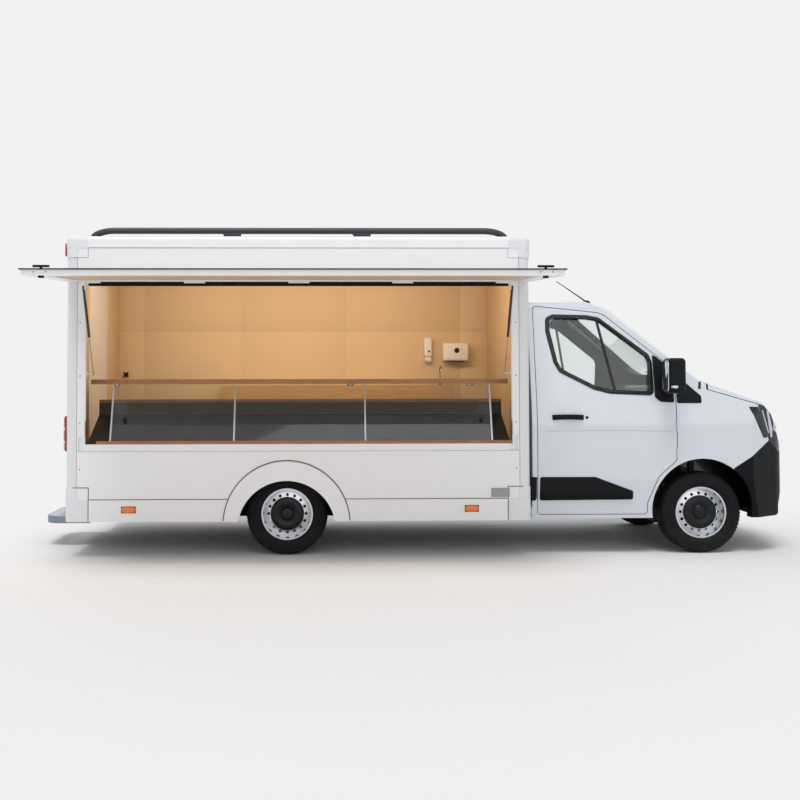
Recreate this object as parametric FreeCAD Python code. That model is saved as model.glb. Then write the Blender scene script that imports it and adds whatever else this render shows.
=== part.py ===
import FreeCAD, Part
import functools
import math
import os

from FreeCAD import Vector

# Mobile shop truck: a hollow cab in front of a sales box with one long serving hatch.
# X runs forward from the rear axle, Y to the left, Z up from the ground, all in millimetres.
# The finished pieces are shifted so that the origin lies under the middle of their box.

# Wheels and axles
WHEELBASE = 3585.0
TRACK = 1745.0
TYRE_RADIUS = 350.0
TYRE_WIDTH = 225.0
TYRE_SHOULDER = 45.0
TYRE_WALL = 14.0
RIM_RADIUS = 214.0
RIM_WIDTH = 190.0
RIM_WALL = 7.0
RIM_WELL_RADIUS = 188.0
DISC_OFFSET = 48.0
DISC_WALL = 9.0
VENT_COUNT = 16
VENT_PITCH_RADIUS = 162.0
VENT_RADIUS = 13.0
HUB_COVER_RADIUS = 138.0
HUB_COVER_DEPTH = 24.0
HUB_DOME_RADIUS = 58.0
HUB_RADIUS = 66.0
SPIGOT_RADIUS = 30.0
SPIGOT_LENGTH = 20.0
RUNNING_CLEARANCE = 0.05
FACE_CLEARANCE = 0.3
STEER_AXIS_Y = 700.0
KNUCKLE_RADIUS = 38.0
KNUCKLE_BOTTOM = 225.0
KNUCKLE_TOP = 500.0
STRUT_TUBE_RADIUS = 30.0

# Chassis frame
FRAME_TOP = 460.0
FRAME_HEIGHT = 120.0
RAIL_WIDTH = 70.0
RAIL_WALL = 8.0
RAIL_Y = 415.0
FRAME_FRONT = 4080.0
FRAME_REAR_GAP = 60.0
CROSS_WIDTH = 80.0
OUTRIGGER_WIDTH = 50.0
AXLE_BEAM = 60.0
AXLE_BEAM_Z = 250.0
SPRING_Y = 560.0
SPRING_WIDTH = 60.0
SPRING_LEAF = 14.0
SPRING_HALF = 620.0
SPRING_RISE = 62.0
HANGER_LENGTH = 70.0
TOW_BOLT_SPACING_Y = 300.0
TOW_BOLT_SPACING_Z = 56.0
TOW_BOLT_RADIUS = 7.0
SUBFRAME_HALF_WIDTH = 450.0
SUBFRAME_HALF_LENGTH = 250.0
SUBFRAME_BOTTOM = 196.0
SUBFRAME_WALL = 50.0
ARM_WIDTH = 90.0
ARM_HEIGHT = 30.0
ENGINE_LENGTH = 520.0
ENGINE_WIDTH = 720.0
ENGINE_HEIGHT = 700.0
ENGINE_AHEAD = 40.0

# Sales box
CAB_GAP = 30.0
BOX_LENGTH = 3950.0
BOX_WIDTH = 2200.0
BOX_TOP = 2735.0
WALL = 45.0
ROOF_THICKNESS = 40.0
FLOOR_THICKNESS = 50.0
SKIRT_BOTTOM = 308.0
SKIRT_TOP = 490.0
SKIRT_WALL = 28.0
SKIRT_PROUD = 6.0
POST_WIDTH = 95.0
POST_ROUND = 55.0
CAP_PROUD = 6.0
UPPER_CAP_BOTTOM = 2550.0
UPPER_CAP_LENGTH = 180.0
LOWER_CAP_TOP = 592.0
LOWER_CAP_LENGTH = 190.0
MOULDING_HEIGHT = 100.0
MOULDING_ROUND = 40.0
WHEEL_BOX_HALF = 450.0
WHEEL_BOX_INNER_Y = 715.0
WHEEL_BOX_TOP = 760.0
WHEEL_BOX_WALL = 12.0
ARCH_OUTER_RADIUS = 534.0
ARCH_OUTER_Z = 282.0
ARCH_INNER_RADIUS = 417.0
ARCH_INNER_Z = 233.0
FLARE_PROUD = 26.0
FLARE_ROUND = 14.0

# Serving opening and hatch
OPENING_REAR_EDGE = 159.0
OPENING_FRONT_EDGE = 150.0
OPENING_BOTTOM = 960.0
OPENING_TOP = 2318.0
HINGE_Z = 2340.0
HINGE_OUT = 7.0
HATCH_END_GAP = 10.0
HATCH_REACH = 1440.0
HATCH_THICKNESS = 42.0
HATCH_DROOP = 3.0
HATCH_SEAL = 9.0
HATCH_SEAL_LIP = 14.0
HATCH_FRAME = 150.0
HATCH_RECESS = 14.0
HATCH_EDGE_GAP = 5.0
KNUCKLE_LENGTH = 60.0
HATCH_PIN_RADIUS = 5.0
HATCH_KNUCKLE_RADIUS = 11.0
HATCH_HINGES = 5
HANDLE_INSET_X = 128.0
HANDLE_INSET_Y = 70.0
HANDLE_BAR = 120.0
HANDLE_BAR_RADIUS = 9.0
HANDLE_STEM_RADIUS = 10.0
HANDLE_HEIGHT = 28.0
CAM_LENGTH = 64.0
CAM_WIDTH = 30.0
CAM_THICKNESS = 16.0
LATCH_POCKET = 60.0

# Gas struts
STRUT_PIN_REACH = 290.0
STRUT_PIN_DROP = 52.0
JAMB_PIN_DEPTH = 120.0
JAMB_PIN_BELOW = 780.0
STRUT_INSET = 48.0
CYLINDER_RADIUS = 11.0
CYLINDER_LENGTH = 465.0
CYLINDER_BORE = 5.5
ROD_RADIUS = 5.0
ROD_HIDDEN = 40.0
EYE_RADIUS = 13.0
EYE_THICKNESS = 14.0
STRUT_PIN_RADIUS = 5.0
BRACKET_WIDTH = 40.0
BRACKET_WALL = 6.0
STUD_GAP = 0.6

# Counter and display inside the opening
SHELF_TOP = 1510.0
SHELF_THICKNESS = 42.0
SHELF_FRONT_Y = -860.0
SHELF_BACK_Y = -430.0
CASE_BOTTOM = 775.0
CASE_FRONT_Y = -1040.0
CASE_BACK_Y = -400.0
BED_FRONT_Z = 960.0
BED_BACK_Z = 1190.0
BED_BACK_Y = -500.0
CASE_LIP = 14.0
STEP_TOP = 1300.0
LEDGE_THICKNESS = 26.0
LEDGE_WIDTH = 62.0
CASE_GAP = 2.0
CASE_LEG = 60.0
BAY_COUNT = 4
BAY_WALL = 40.0
BAY_DEPTH = 300.0
GLASS = 6.0
DISPLAY_POST = 14.0
POST_SHARES = (0.055, 0.345, 0.655, 0.955)
BACK_COUNTER_DEPTH = 480.0
BACK_COUNTER_TOP = 1440.0
BACK_COUNTER_LENGTH = 2300.0
BACK_COUNTER_AHEAD = 450.0
CUPBOARD_COUNT = 4
CUPBOARD_WALL = 25.0
CUPBOARD_PLINTH = 90.0
SINK_LENGTH = 330.0
SINK_WIDTH = 270.0
SINK_DEPTH = 140.0
SINK_ROUND = 40.0

# Rear wall, door, step and lamps
REAR_DOOR_WIDTH = 760.0
REAR_DOOR_Y = 20.0
REAR_DOOR_TOP = 2440.0
HINGE_SHARES = (0.12, 0.5, 0.88)
DOOR_GAP = 5.0
DOOR_PIN_RADIUS = 4.0
DOOR_KNUCKLE_RADIUS = 8.0
KNUCKLE_GAP = 0.3
STEP_LENGTH = 350.0
STEP_WIDTH = 800.0
STEP_Z = 205.0
STEP_THICKNESS = 65.0
STEP_WALL = 5.0
STEP_ROUND = 150.0
STEP_SLOT = 16.0
STEP_SLOT_LENGTH = 190.0
STEP_SLOT_COUNT = 14
STEP_HANGER = 12.0
STEP_HANGER_Y = 300.0
LAMP_WIDTH = 80.0
LAMP_HEIGHT = 300.0
LAMP_DEPTH = 22.0
LAMP_Z = 900.0
LAMP_ROUND = 12.0
TOP_LAMP_HEIGHT = 110.0
TOP_LAMP_WIDTH = 40.0
TOP_LAMP_BELOW = 60.0

# Roof rails
RAIL_TUBE_RADIUS = 28.0
RAIL_ABOVE = 58.0
RAIL_TUBE_Y = 985.0
RAIL_REAR_EDGE = 420.0
RAIL_FRONT_EDGE = 400.0
RAIL_FOOT_RUN = 170.0
RAIL_BEND_RADIUS = 150.0
RAIL_PAD_SHARES = (0.32, 0.655)
RAIL_PAD_LENGTH = 150.0
RAIL_PAD_WIDTH = 40.0

# Cab: outline of its middle section, swept round a far vertical line so that the front is bowed
CAB_REAR = 2110.0
CAB_WALL = 55.0
CAB_SWEEP_X = 1500.0
CAB_SWEEP_ANGLE = 65.0
CAB_SWEEP_BACK = 300.0
CAB_BOTTOM = 308.0
NOSE_X = 4500.0
NOSE_Z = 640.0
CHIN_X = 4440.0
CHIN_Z = 400.0
BUMPER_TOP_X = 4478.0
BUMPER_TOP_Z = 868.0
LAMP_TOP_X = 4385.0
LAMP_TOP_Z = 1190.0
BONNET_FRONT_X = 4300.0
BONNET_FRONT_Z = 1300.0
SCREEN_BASE_X = 3785.0
SCREEN_BASE_Z = 1492.0
SCREEN_TOP_X = 2990.0
SCREEN_TOP_Z = 2150.0
ROOF_FRONT_X = 2700.0
ROOF_FRONT_Z = 2245.0
ROOF_REAR_Z = 2250.0
NOSE_ROUND = 120.0
SCREEN_BASE_ROUND = 60.0
SCREEN_TOP_ROUND = 260.0
CHIN_ROUND = 60.0

# Cab: half of its front outline and of its outline from above
SILL_HALF = 985.0
DOOR_HALF = 1035.0
DOOR_LOW_Z = 640.0
DOOR_HIGH_Z = 1120.0
BELT_HALF = 1000.0
BELT_Z = 1340.0
ROOF_EDGE_HALF = 820.0
ROOF_EDGE_Z = 2190.0
CROWN_Z = 2275.0
ROOF_EDGE_ROUND = 110.0
BODY_ROUND = 200.0
WING_FRONT_X = 3980.0
CORNER_X = 4350.0
CORNER_HALF = 800.0
CORNER_FRONT_X = 4460.0
CORNER_FRONT_HALF = 520.0
CORNER_ROUND = 260.0

# Cab: doors and glass, in side view
SHUT_GAP = 6.5
DOOR_REAR = 2158.0
DOOR_BOTTOM = 345.0
DOOR_TOE_X = 3105.0
DOOR_TOE_Z = 440.0
DOOR_KNEE_X = 3200.0
DOOR_KNEE_Z = 672.0
DOOR_FRONT = 3361.0
DOOR_ARCH_Z = 810.0
DOOR_PILLAR_Z = 1590.0
DOOR_TOP_X = 2760.0
DOOR_TOP_Z = 2085.0
DOOR_REAR_TOP_Z = 2150.0
DOOR_CORNER = 30.0
DOOR_TOP_ROUND = 180.0
DOOR_INNER_Y = 700.0
DOOR_HINGE_SHARES = (0.29, 0.42)
WINDOW_REAR = 2290.0
WINDOW_TOP = 2040.0
WINDOW_TOP_X = 2722.0
WINDOW_FRONT = 3180.0
WINDOW_PILLAR_Z = 1668.0
WINDOW_BOTTOM = 1378.0
WINDOW_KINK_X = 2760.0
WINDOW_REAR_BOTTOM = 1610.0
WINDOW_REAR_X = 2350.0
WINDOW_ROUND = 60.0
WINDOW_TOP_ROUND = 220.0
GLASS_DEPTH = 16.0
SKIN = 22.0
SEAL_STEP = 24.0
SCREEN_OPEN_BASE_Z = 1545.0
SCREEN_OPEN_TOP_Z = 2120.0
SCREEN_OPEN_BASE_HALF = 800.0
SCREEN_OPEN_TOP_HALF = 650.0
SCREEN_OPEN_ROUND = 70.0

# Cab: front end
BONNET_LINE_REAR_Z = 1420.0
BONNET_LINE_MID_X = 4080.0
BONNET_LINE_MID_Z = 1285.0
BONNET_LINE_FRONT_Z = 1222.0
BONNET_CORNER_X = 3620.0
BONNET_WALL = 30.0
BONNET_REAR_RADIUS = 2310.0
BONNET_REAR_GAP = 22.0
BONNET_HINGE_X = 3655.0
BONNET_HINGE_Z = 1468.0
BONNET_HINGE_Y = 800.0
BONNET_ARM_LENGTH = 60.0
BONNET_CORNER_Y = 836.0
BONNET_CORNER_SWING = 16.0
BONNET_ARM_THICKNESS = 10.0
LAMP_INNER_Y = 520.0
LAMP_REAR_X = 4085.0
LAMP_LOW_X = 4215.0
LAMP_LOW_Z = 968.0
LAMP_FOOT_X = 4335.0
FRONT_ARCH_RADIUS = 435.0
FRONT_ARCH_Z = 385.0
BUMPER_ARCH_X = 3855.0
BUMPER_ARCH_Z = 736.0
GRILLE_DEPTH = 24.0
GRILLE_BARS = 4
GRILLE_BAR = 18.0
INTAKE_HALF = 420.0
INTAKE_BOTTOM = 430.0
INTAKE_TOP = 640.0
TOW_HOLE_RADIUS = 9.0
TOW_HOLE_Y = 560.0
TOW_HOLE_Z = 560.0
TOW_BOSS_RADIUS = 24.0
TOW_BOSS_LENGTH = 46.0

# Cab: inside
CAB_FLOOR = 40.0
SILL_INNER_Y = 890.0
SILL_PLATE = 30.0
FRONT_BELLY_TOP = 500.0
FRONT_BELLY_END = 4110.0
FIREWALL_X = 3300.0
FIREWALL_WALL = 24.0
COWL_WALL = 24.0
INNER_WING_Y = 500.0
INNER_WING_WALL = 15.0
INNER_WING_TOP = 960.0
TOWER_PLATE = 24.0
TOWER_HALF = 110.0
LINER_WALL = 12.0
DASH_REAR_X = 3010.0
DASH_BOTTOM = 980.0
DASH_TOP = 1405.0
DASH_HALF = 880.0
DASH_ROUND = 60.0
STEERING_WHEEL_RADIUS = 190.0
STEERING_RIM_RADIUS = 14.0
STEERING_X = 2850.0
STEERING_Y = 430.0
STEERING_Z = 1290.0
STEERING_TILT = 32.0
COLUMN_RADIUS = 26.0
COLUMN_LENGTH = 265.0
SEAT_FRONT_X = 2880.0
SEAT_REAR_X = 2360.0
SEAT_BASE = 860.0
SEAT_CUSHION = 150.0
SEAT_BACK_TOP = 1640.0
SEAT_BACK_THICKNESS = 140.0
SEAT_BACK_LEAN = 110.0
HEADREST_TOP = 1830.0
SEAT_ROUND = 35.0
DRIVER_SEAT_WIDTH = 500.0
BENCH_WIDTH = 860.0
SEAT_GAP = 60.0
PEDESTAL_SIDE = 60.0

# Mirrors
MIRROR_X = 3298.0
MIRROR_DEPTH = 150.0
MIRROR_WIDTH = 200.0
MIRROR_Z = 1385.0
MIRROR_HEIGHT = 300.0
MIRROR_OUT = 1080.0
MIRROR_ROUND = 36.0
MIRROR_ARM_LENGTH = 80.0
MIRROR_ARM_HEIGHT = 70.0
MIRROR_ARM_INNER_Y = 900.0

# Cutting tools run this far past what they cut
OVERRUN = 60.0
SMALLEST_ROUND_SHARE = 0.12

HALF_BOX = BOX_WIDTH / 2
BOX_FRONT = CAB_REAR - CAB_GAP
BOX_REAR = BOX_FRONT - BOX_LENGTH
OPENING_REAR = BOX_REAR + OPENING_REAR_EDGE
OPENING_FRONT = BOX_FRONT - OPENING_FRONT_EDGE
HATCH_LENGTH = BOX_LENGTH - 2 * HATCH_END_GAP
RAIL_STRAIGHT_REAR = BOX_REAR + RAIL_REAR_EDGE
RAIL_STRAIGHT_FRONT = BOX_FRONT - RAIL_FRONT_EDGE
FLOOR_TOP = FRAME_TOP + FLOOR_THICKNESS
HALF_TRACK = TRACK / 2
DISC_INNER_Y = HALF_TRACK + DISC_OFFSET - DISC_WALL
HINGE_Y = -HALF_BOX - HINGE_OUT
MOULDING_BOTTOM = BOX_TOP - MOULDING_HEIGHT
LEFT, RIGHT = 1, -1


def box(x0, x1, y0, y1, z0, z1):
    """Upright block between two corners."""
    return Part.makeBox(x1 - x0, y1 - y0, z1 - z0, Vector(x0, y0, z0))


def sided(x0, x1, y0, y1, z0, z1, side):
    """Block whose distances y0 to y1 are measured outwards on one side."""
    low, high = sorted((side * y0, side * y1))
    return box(x0, x1, low, high, z0, z1)


def rod(start, end, radius):
    """Round bar between two points."""
    run = end - start
    return Part.makeCylinder(radius, run.Length, start, run)


def fused(*shapes):
    """One shape out of several that touch or overlap."""
    first, *rest = shapes
    return first.fuse(rest).removeSplitter() if rest else first


def group(*shapes):
    """Like pieces that do not touch, kept as separate solids."""
    return Part.makeCompound([solid for shape in shapes for solid in shape.Solids])


def mirrored(shape):
    """The same shape on the other side of the middle plane."""
    return shape.mirror(Vector(0, 0, 0), Vector(0, 1, 0))


def both_sides(shape):
    """A pair: the shape and its mirror image."""
    return group(shape, mirrored(shape))


def corner_points(before, corner, after, radius):
    """Start, middle and end of the arc that rounds one corner of an outline."""
    to_before = (before - corner).normalize()
    to_after = (after - corner).normalize()
    half = to_before.getAngle(to_after) / 2
    reach = radius / math.tan(half)
    bisector = (to_before + to_after).normalize()
    middle = corner + bisector * (radius / math.sin(half) - radius)
    return corner + to_before * reach, middle, corner + to_after * reach


def outline(corners, place):
    """Flat face from (u, v, radius) corners, put in space by place(u, v)."""
    spots = [Vector(place(u, v)) for u, v, _ in corners]
    edges = []
    ends = []
    for index, (_, _, radius) in enumerate(corners):
        corner = spots[index]
        if radius > 0:
            start, middle, end = corner_points(spots[index - 1], corner,
                                               spots[(index + 1) % len(spots)], radius)
            arc = Part.Arc(start, middle, end).toShape()
        else:
            start, end, arc = corner, corner, None
        ends.append((start, end, arc))
    for index, (start, end, arc) in enumerate(ends):
        following = ends[(index + 1) % len(ends)][0]
        if arc:
            edges.append(arc)
        edges.append(Part.LineSegment(end, following).toShape())
    return Part.Face(Part.Wire(edges))


def side_plate(corners, y0, y1):
    """Side-view outline (x, z, radius) made solid between two widths."""
    face = outline(corners, lambda u, v: Vector(u, y0, v))
    return face.extrude(Vector(0, y1 - y0, 0))


def plan_plate(corners, z0, z1):
    """Plan-view outline (x, y, radius) made solid between two heights."""
    face = outline(corners, lambda u, v: Vector(u, v, z0))
    return face.extrude(Vector(0, 0, z1 - z0))


def front_plate(corners, x0, x1):
    """Front-view outline (y, z, radius) made solid between two lengths."""
    face = outline(corners, lambda u, v: Vector(x0, u, v))
    return face.extrude(Vector(x1 - x0, 0, 0))


def inset(corners, distance):
    """The same outline with every edge moved inwards and its roundings adapted."""
    count = len(corners)
    area = sum(corners[i - 1][0] * corners[i][1] - corners[i][0] * corners[i - 1][1]
               for i in range(count))
    turn = 1 if area > 0 else -1
    moved = []
    for index, (u, v, radius) in enumerate(corners):
        before = corners[index - 1]
        after = corners[(index + 1) % count]
        moved.append(inset_corner(before, (u, v, radius), after, distance * turn))
    return moved


def inset_corner(before, corner, after, distance):
    """One corner of an inset outline: where the two moved edges cross."""
    first = (corner[0] - before[0], corner[1] - before[1])
    second = (after[0] - corner[0], after[1] - corner[1])
    first_length = math.hypot(*first)
    second_length = math.hypot(*second)
    first = (first[0] / first_length, first[1] / first_length)
    second = (second[0] / second_length, second[1] / second_length)
    cross = first[0] * second[1] - first[1] * second[0]
    along = 1 + first[0] * second[0] + first[1] * second[1]
    u = corner[0] + distance * (-first[1] - second[1]) / along
    v = corner[1] + distance * (first[0] + second[0]) / along
    change = abs(distance) if cross * distance > 0 else -abs(distance)
    radius = max(corner[2] - change, corner[2] * SMALLEST_ROUND_SHARE)
    return (u, v, radius)


def hinge_parts(centre, direction, length, pin_radius, knuckle_radius):
    """Knuckles in line: the fixed pair with its pin, the moving one, and the relief for each."""
    axis = Vector(direction).normalize()
    half = axis * (length / 2)
    end = axis * (length + length / 2)
    slack = axis * KNUCKLE_GAP
    pin = rod(centre - end, centre + end, pin_radius)
    bore = rod(centre - end, centre + end, pin_radius + RUNNING_CLEARANCE)
    outer = fused(rod(centre - end, centre - half, knuckle_radius),
                  rod(centre + half, centre + end, knuckle_radius), pin)
    middle = rod(centre - half + slack, centre + half - slack, knuckle_radius).cut(bore)
    clear = knuckle_radius + KNUCKLE_GAP
    for_moving = rod(centre - half, centre + half, clear)
    for_fixed = fused(rod(centre - end - slack, centre - half + slack, clear),
                      rod(centre + half - slack, centre + end + slack, clear), bore)
    return outer, middle, for_moving, for_fixed


def hang(fixed, moving, hinges):
    """Join the knuckles of each hinge to the fixed and the moving panel."""
    for outer, middle, for_moving, for_fixed in hinges:
        fixed = fixed.cut(for_moving).fuse(outer)
        moving = moving.cut(for_fixed).fuse(middle)
    return fixed, moving


def chassis_frame():
    """Two channel rails with cross members, outriggers and spring hangers."""
    rear = BOX_REAR + FRAME_REAR_GAP
    bottom = FRAME_TOP - FRAME_HEIGHT
    outer_y = RAIL_Y + RAIL_WIDTH / 2
    inner_y = RAIL_Y - RAIL_WIDTH / 2
    rail = box(rear, FRAME_FRONT, inner_y, outer_y, bottom, FRAME_TOP)
    rail = rail.cut(box(rear - OVERRUN, FRAME_FRONT + OVERRUN, inner_y - OVERRUN, outer_y - RAIL_WALL,
                        bottom + RAIL_WALL, FRAME_TOP - RAIL_WALL))
    pieces = [rail, mirrored(rail)]
    for x in cross_places(rear):
        pieces.append(box(x, x + CROSS_WIDTH, -inner_y - RAIL_WIDTH / 2, inner_y + RAIL_WIDTH / 2,
                          bottom + RAIL_WALL, FRAME_TOP))
    for x in outrigger_places(rear):
        arm = box(x, x + OUTRIGGER_WIDTH, outer_y, HALF_BOX - WALL, FRAME_TOP - RAIL_WIDTH, FRAME_TOP)
        pieces += [arm, mirrored(arm)]
    for x in (-SPRING_HALF, SPRING_HALF - HANGER_LENGTH / 2):
        hanger = box(x - HANGER_LENGTH / 4, x + HANGER_LENGTH * 3 / 4, outer_y,
                     SPRING_Y + SPRING_WIDTH / 2, spring_end_z() + SPRING_LEAF, FRAME_TOP)
        pieces += [hanger, mirrored(hanger)]
    frame = fused(*pieces)
    for y in (-TOW_BOLT_SPACING_Y / 2, TOW_BOLT_SPACING_Y / 2):
        for z in (-TOW_BOLT_SPACING_Z / 2, TOW_BOLT_SPACING_Z / 2):
            start = Vector(rear - OVERRUN, y, FRAME_TOP - FRAME_HEIGHT / 2 + z)
            frame = frame.cut(rod(start, start + Vector(CROSS_WIDTH + OVERRUN * 2, 0, 0), TOW_BOLT_RADIUS))
    return frame


def spring_end_z():
    """Height of the underside of the main leaf at its ends."""
    return AXLE_BEAM_Z + AXLE_BEAM / 2 + SPRING_RISE + SPRING_LEAF


def cross_places(rear):
    """Where the cross members start, from the rear end to the cab."""
    return (rear, -SPRING_HALF - CROSS_WIDTH, SPRING_HALF + CROSS_WIDTH, CAB_REAR - CROSS_WIDTH,
            FIREWALL_X - CROSS_WIDTH)


def outrigger_places(rear):
    """Where the outriggers start: clear of the wheels and under the box walls."""
    return (rear, -WHEEL_BOX_HALF - OUTRIGGER_WIDTH * 2, WHEEL_BOX_HALF + OUTRIGGER_WIDTH,
            BOX_FRONT - OUTRIGGER_WIDTH * 2)


def leaf(half, low, thickness):
    """One curved spring leaf, lowest in the middle."""
    rise = SPRING_RISE * (half / SPRING_HALF) ** 2
    y0 = SPRING_Y - SPRING_WIDTH / 2
    ends = [Vector(-half, y0, low + rise), Vector(0, y0, low), Vector(half, y0, low + rise)]
    up = Vector(0, 0, thickness)
    lower = Part.Arc(*ends).toShape()
    upper = Part.Arc(*[end + up for end in ends]).toShape()
    sides = [Part.LineSegment(end, end + up).toShape() for end in (ends[0], ends[-1])]
    face = Part.Face(Part.Wire([lower, sides[-1], upper, sides[0]]))
    return face.extrude(Vector(0, SPRING_WIDTH, 0))


def rear_axle():
    """Dropped beam, end plates, wheel spindles and two leaf springs."""
    half = AXLE_BEAM / 2
    low = AXLE_BEAM_Z - half
    top = AXLE_BEAM_Z + half
    end_y = SPRING_Y + SPRING_WIDTH
    plate_y = end_y + AXLE_BEAM * 2 / 3
    beam = box(-half, half, -end_y, end_y, low, top)
    plate = box(-half, half, end_y, plate_y, low, TYRE_RADIUS + half)
    hub = rod(Vector(0, plate_y, TYRE_RADIUS), Vector(0, DISC_INNER_Y - FACE_CLEARANCE, TYRE_RADIUS),
              HUB_RADIUS)
    spigot = rod(Vector(0, plate_y, TYRE_RADIUS), Vector(0, DISC_INNER_Y + SPIGOT_LENGTH, TYRE_RADIUS),
                 SPIGOT_RADIUS)
    end = fused(plate, hub, spigot)
    pad = box(-AXLE_BEAM, AXLE_BEAM, SPRING_Y - SPRING_WIDTH / 2, end_y, top, top + SPRING_LEAF * 2)
    springs = fused(leaf(SPRING_HALF, top + SPRING_LEAF, SPRING_LEAF),
                    leaf(SPRING_HALF / 2, top, SPRING_LEAF), pad)
    return fused(beam, end, mirrored(end), springs, mirrored(springs))


def front_suspension():
    """Subframe with lower arms under the engine, and the upper strut tubes."""
    middle = WHEELBASE
    frame = box(middle - SUBFRAME_HALF_LENGTH, middle + SUBFRAME_HALF_LENGTH, -SUBFRAME_HALF_WIDTH,
                SUBFRAME_HALF_WIDTH, SUBFRAME_BOTTOM, SUBFRAME_BOTTOM + SUBFRAME_WALL)
    frame = frame.cut(box(middle - SUBFRAME_HALF_LENGTH + CROSS_WIDTH,
                          middle + SUBFRAME_HALF_LENGTH - CROSS_WIDTH,
                          -SUBFRAME_HALF_WIDTH + CROSS_WIDTH, SUBFRAME_HALF_WIDTH - CROSS_WIDTH,
                          SUBFRAME_BOTTOM - OVERRUN, SUBFRAME_BOTTOM + SUBFRAME_WALL + OVERRUN))
    for side in (LEFT, RIGHT):
        for x in (middle - SUBFRAME_HALF_LENGTH, middle + SUBFRAME_HALF_LENGTH - CROSS_WIDTH):
            post = sided(x, x + CROSS_WIDTH, RAIL_Y - RAIL_WIDTH / 2, SUBFRAME_HALF_WIDTH,
                         SUBFRAME_BOTTOM, FRAME_TOP - FRAME_HEIGHT, side)
            frame = frame.fuse(post)
        arm = plan_plate([(middle - ARM_WIDTH * 2, side * (SUBFRAME_HALF_WIDTH - ARM_HEIGHT), 0),
                          (middle + ARM_WIDTH * 2, side * (SUBFRAME_HALF_WIDTH - ARM_HEIGHT), 0),
                          (middle + ARM_WIDTH / 2, side * (STEER_AXIS_Y + ARM_HEIGHT), ARM_HEIGHT),
                          (middle - ARM_WIDTH / 2, side * (STEER_AXIS_Y + ARM_HEIGHT), ARM_HEIGHT)],
                         arm_bottom(), arm_bottom() + ARM_HEIGHT)
        frame = frame.fuse(arm)
    tubes = [rod(Vector(middle, side * STEER_AXIS_Y, KNUCKLE_TOP + FACE_CLEARANCE),
                 Vector(middle, side * STEER_AXIS_Y, INNER_WING_TOP - TOWER_PLATE),
                 STRUT_TUBE_RADIUS) for side in (LEFT, RIGHT)]
    return group(frame.removeSplitter(), *tubes)


def arm_bottom():
    """Underside of a lower arm, whose top carries the foot of the knuckle."""
    return KNUCKLE_BOTTOM - FACE_CLEARANCE - ARM_HEIGHT


def knuckle(side):
    """Steered upright with its wheel hub, turning about the upright line at STEER_AXIS_Y."""
    middle = Vector(WHEELBASE, side * STEER_AXIS_Y, 0)
    upright = rod(middle + Vector(0, 0, KNUCKLE_BOTTOM), middle + Vector(0, 0, KNUCKLE_TOP),
                  KNUCKLE_RADIUS)
    start = Vector(WHEELBASE, side * STEER_AXIS_Y, TYRE_RADIUS)
    hub = rod(start, Vector(WHEELBASE, side * (DISC_INNER_Y - FACE_CLEARANCE), TYRE_RADIUS), HUB_RADIUS)
    spigot = rod(start, Vector(WHEELBASE, side * (DISC_INNER_Y + SPIGOT_LENGTH), TYRE_RADIUS),
                 SPIGOT_RADIUS)
    return fused(upright, hub, spigot)


def engine_block():
    """Engine and gearbox as one plain block on the subframe."""
    x0 = WHEELBASE + ENGINE_AHEAD - ENGINE_LENGTH / 2
    half = ENGINE_WIDTH / 2
    z0 = SUBFRAME_BOTTOM + SUBFRAME_WALL
    return box(x0, x0 + ENGINE_LENGTH, -half, half, z0, z0 + ENGINE_HEIGHT)


def turned(profile, centre, side):
    """Ring or disc from (distance outwards, radius, rounding), turned about a wheel's axle."""
    face = outline(profile, lambda u, v: Vector(centre.x, centre.y + side * u, centre.z + v))
    return face.revolve(centre, Vector(0, 1, 0), 360)


def tyre(x, side):
    """Tyre with rounded shoulders and bulged side walls."""
    half = TYRE_WIDTH / 2
    bead = RIM_WIDTH / 2 - RIM_WALL
    centre = Vector(x, side * HALF_TRACK, TYRE_RADIUS)
    bulge_radius = (TYRE_RADIUS + RIM_RADIUS) / 2
    lip = RIM_RADIUS + RIM_WALL
    crown = TYRE_RADIUS - TYRE_WALL
    profile = [(-bead, RIM_RADIUS, 0), (-bead, lip, 0), (-half, bulge_radius, TYRE_SHOULDER),
               (-half + TYRE_SHOULDER / 3, TYRE_RADIUS, TYRE_SHOULDER / 2),
               (half - TYRE_SHOULDER / 3, TYRE_RADIUS, TYRE_SHOULDER / 2),
               (half, bulge_radius, TYRE_SHOULDER), (bead, lip, 0), (bead, RIM_RADIUS, 0),
               (bead - TYRE_WALL, RIM_RADIUS, 0), (half - TYRE_WALL, bulge_radius, 0),
               (half - TYRE_SHOULDER, crown, 0), (-half + TYRE_SHOULDER, crown, 0),
               (-half + TYRE_WALL, bulge_radius, 0), (-bead + TYRE_WALL, RIM_RADIUS, 0)]
    return turned(profile, centre, side)


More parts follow.
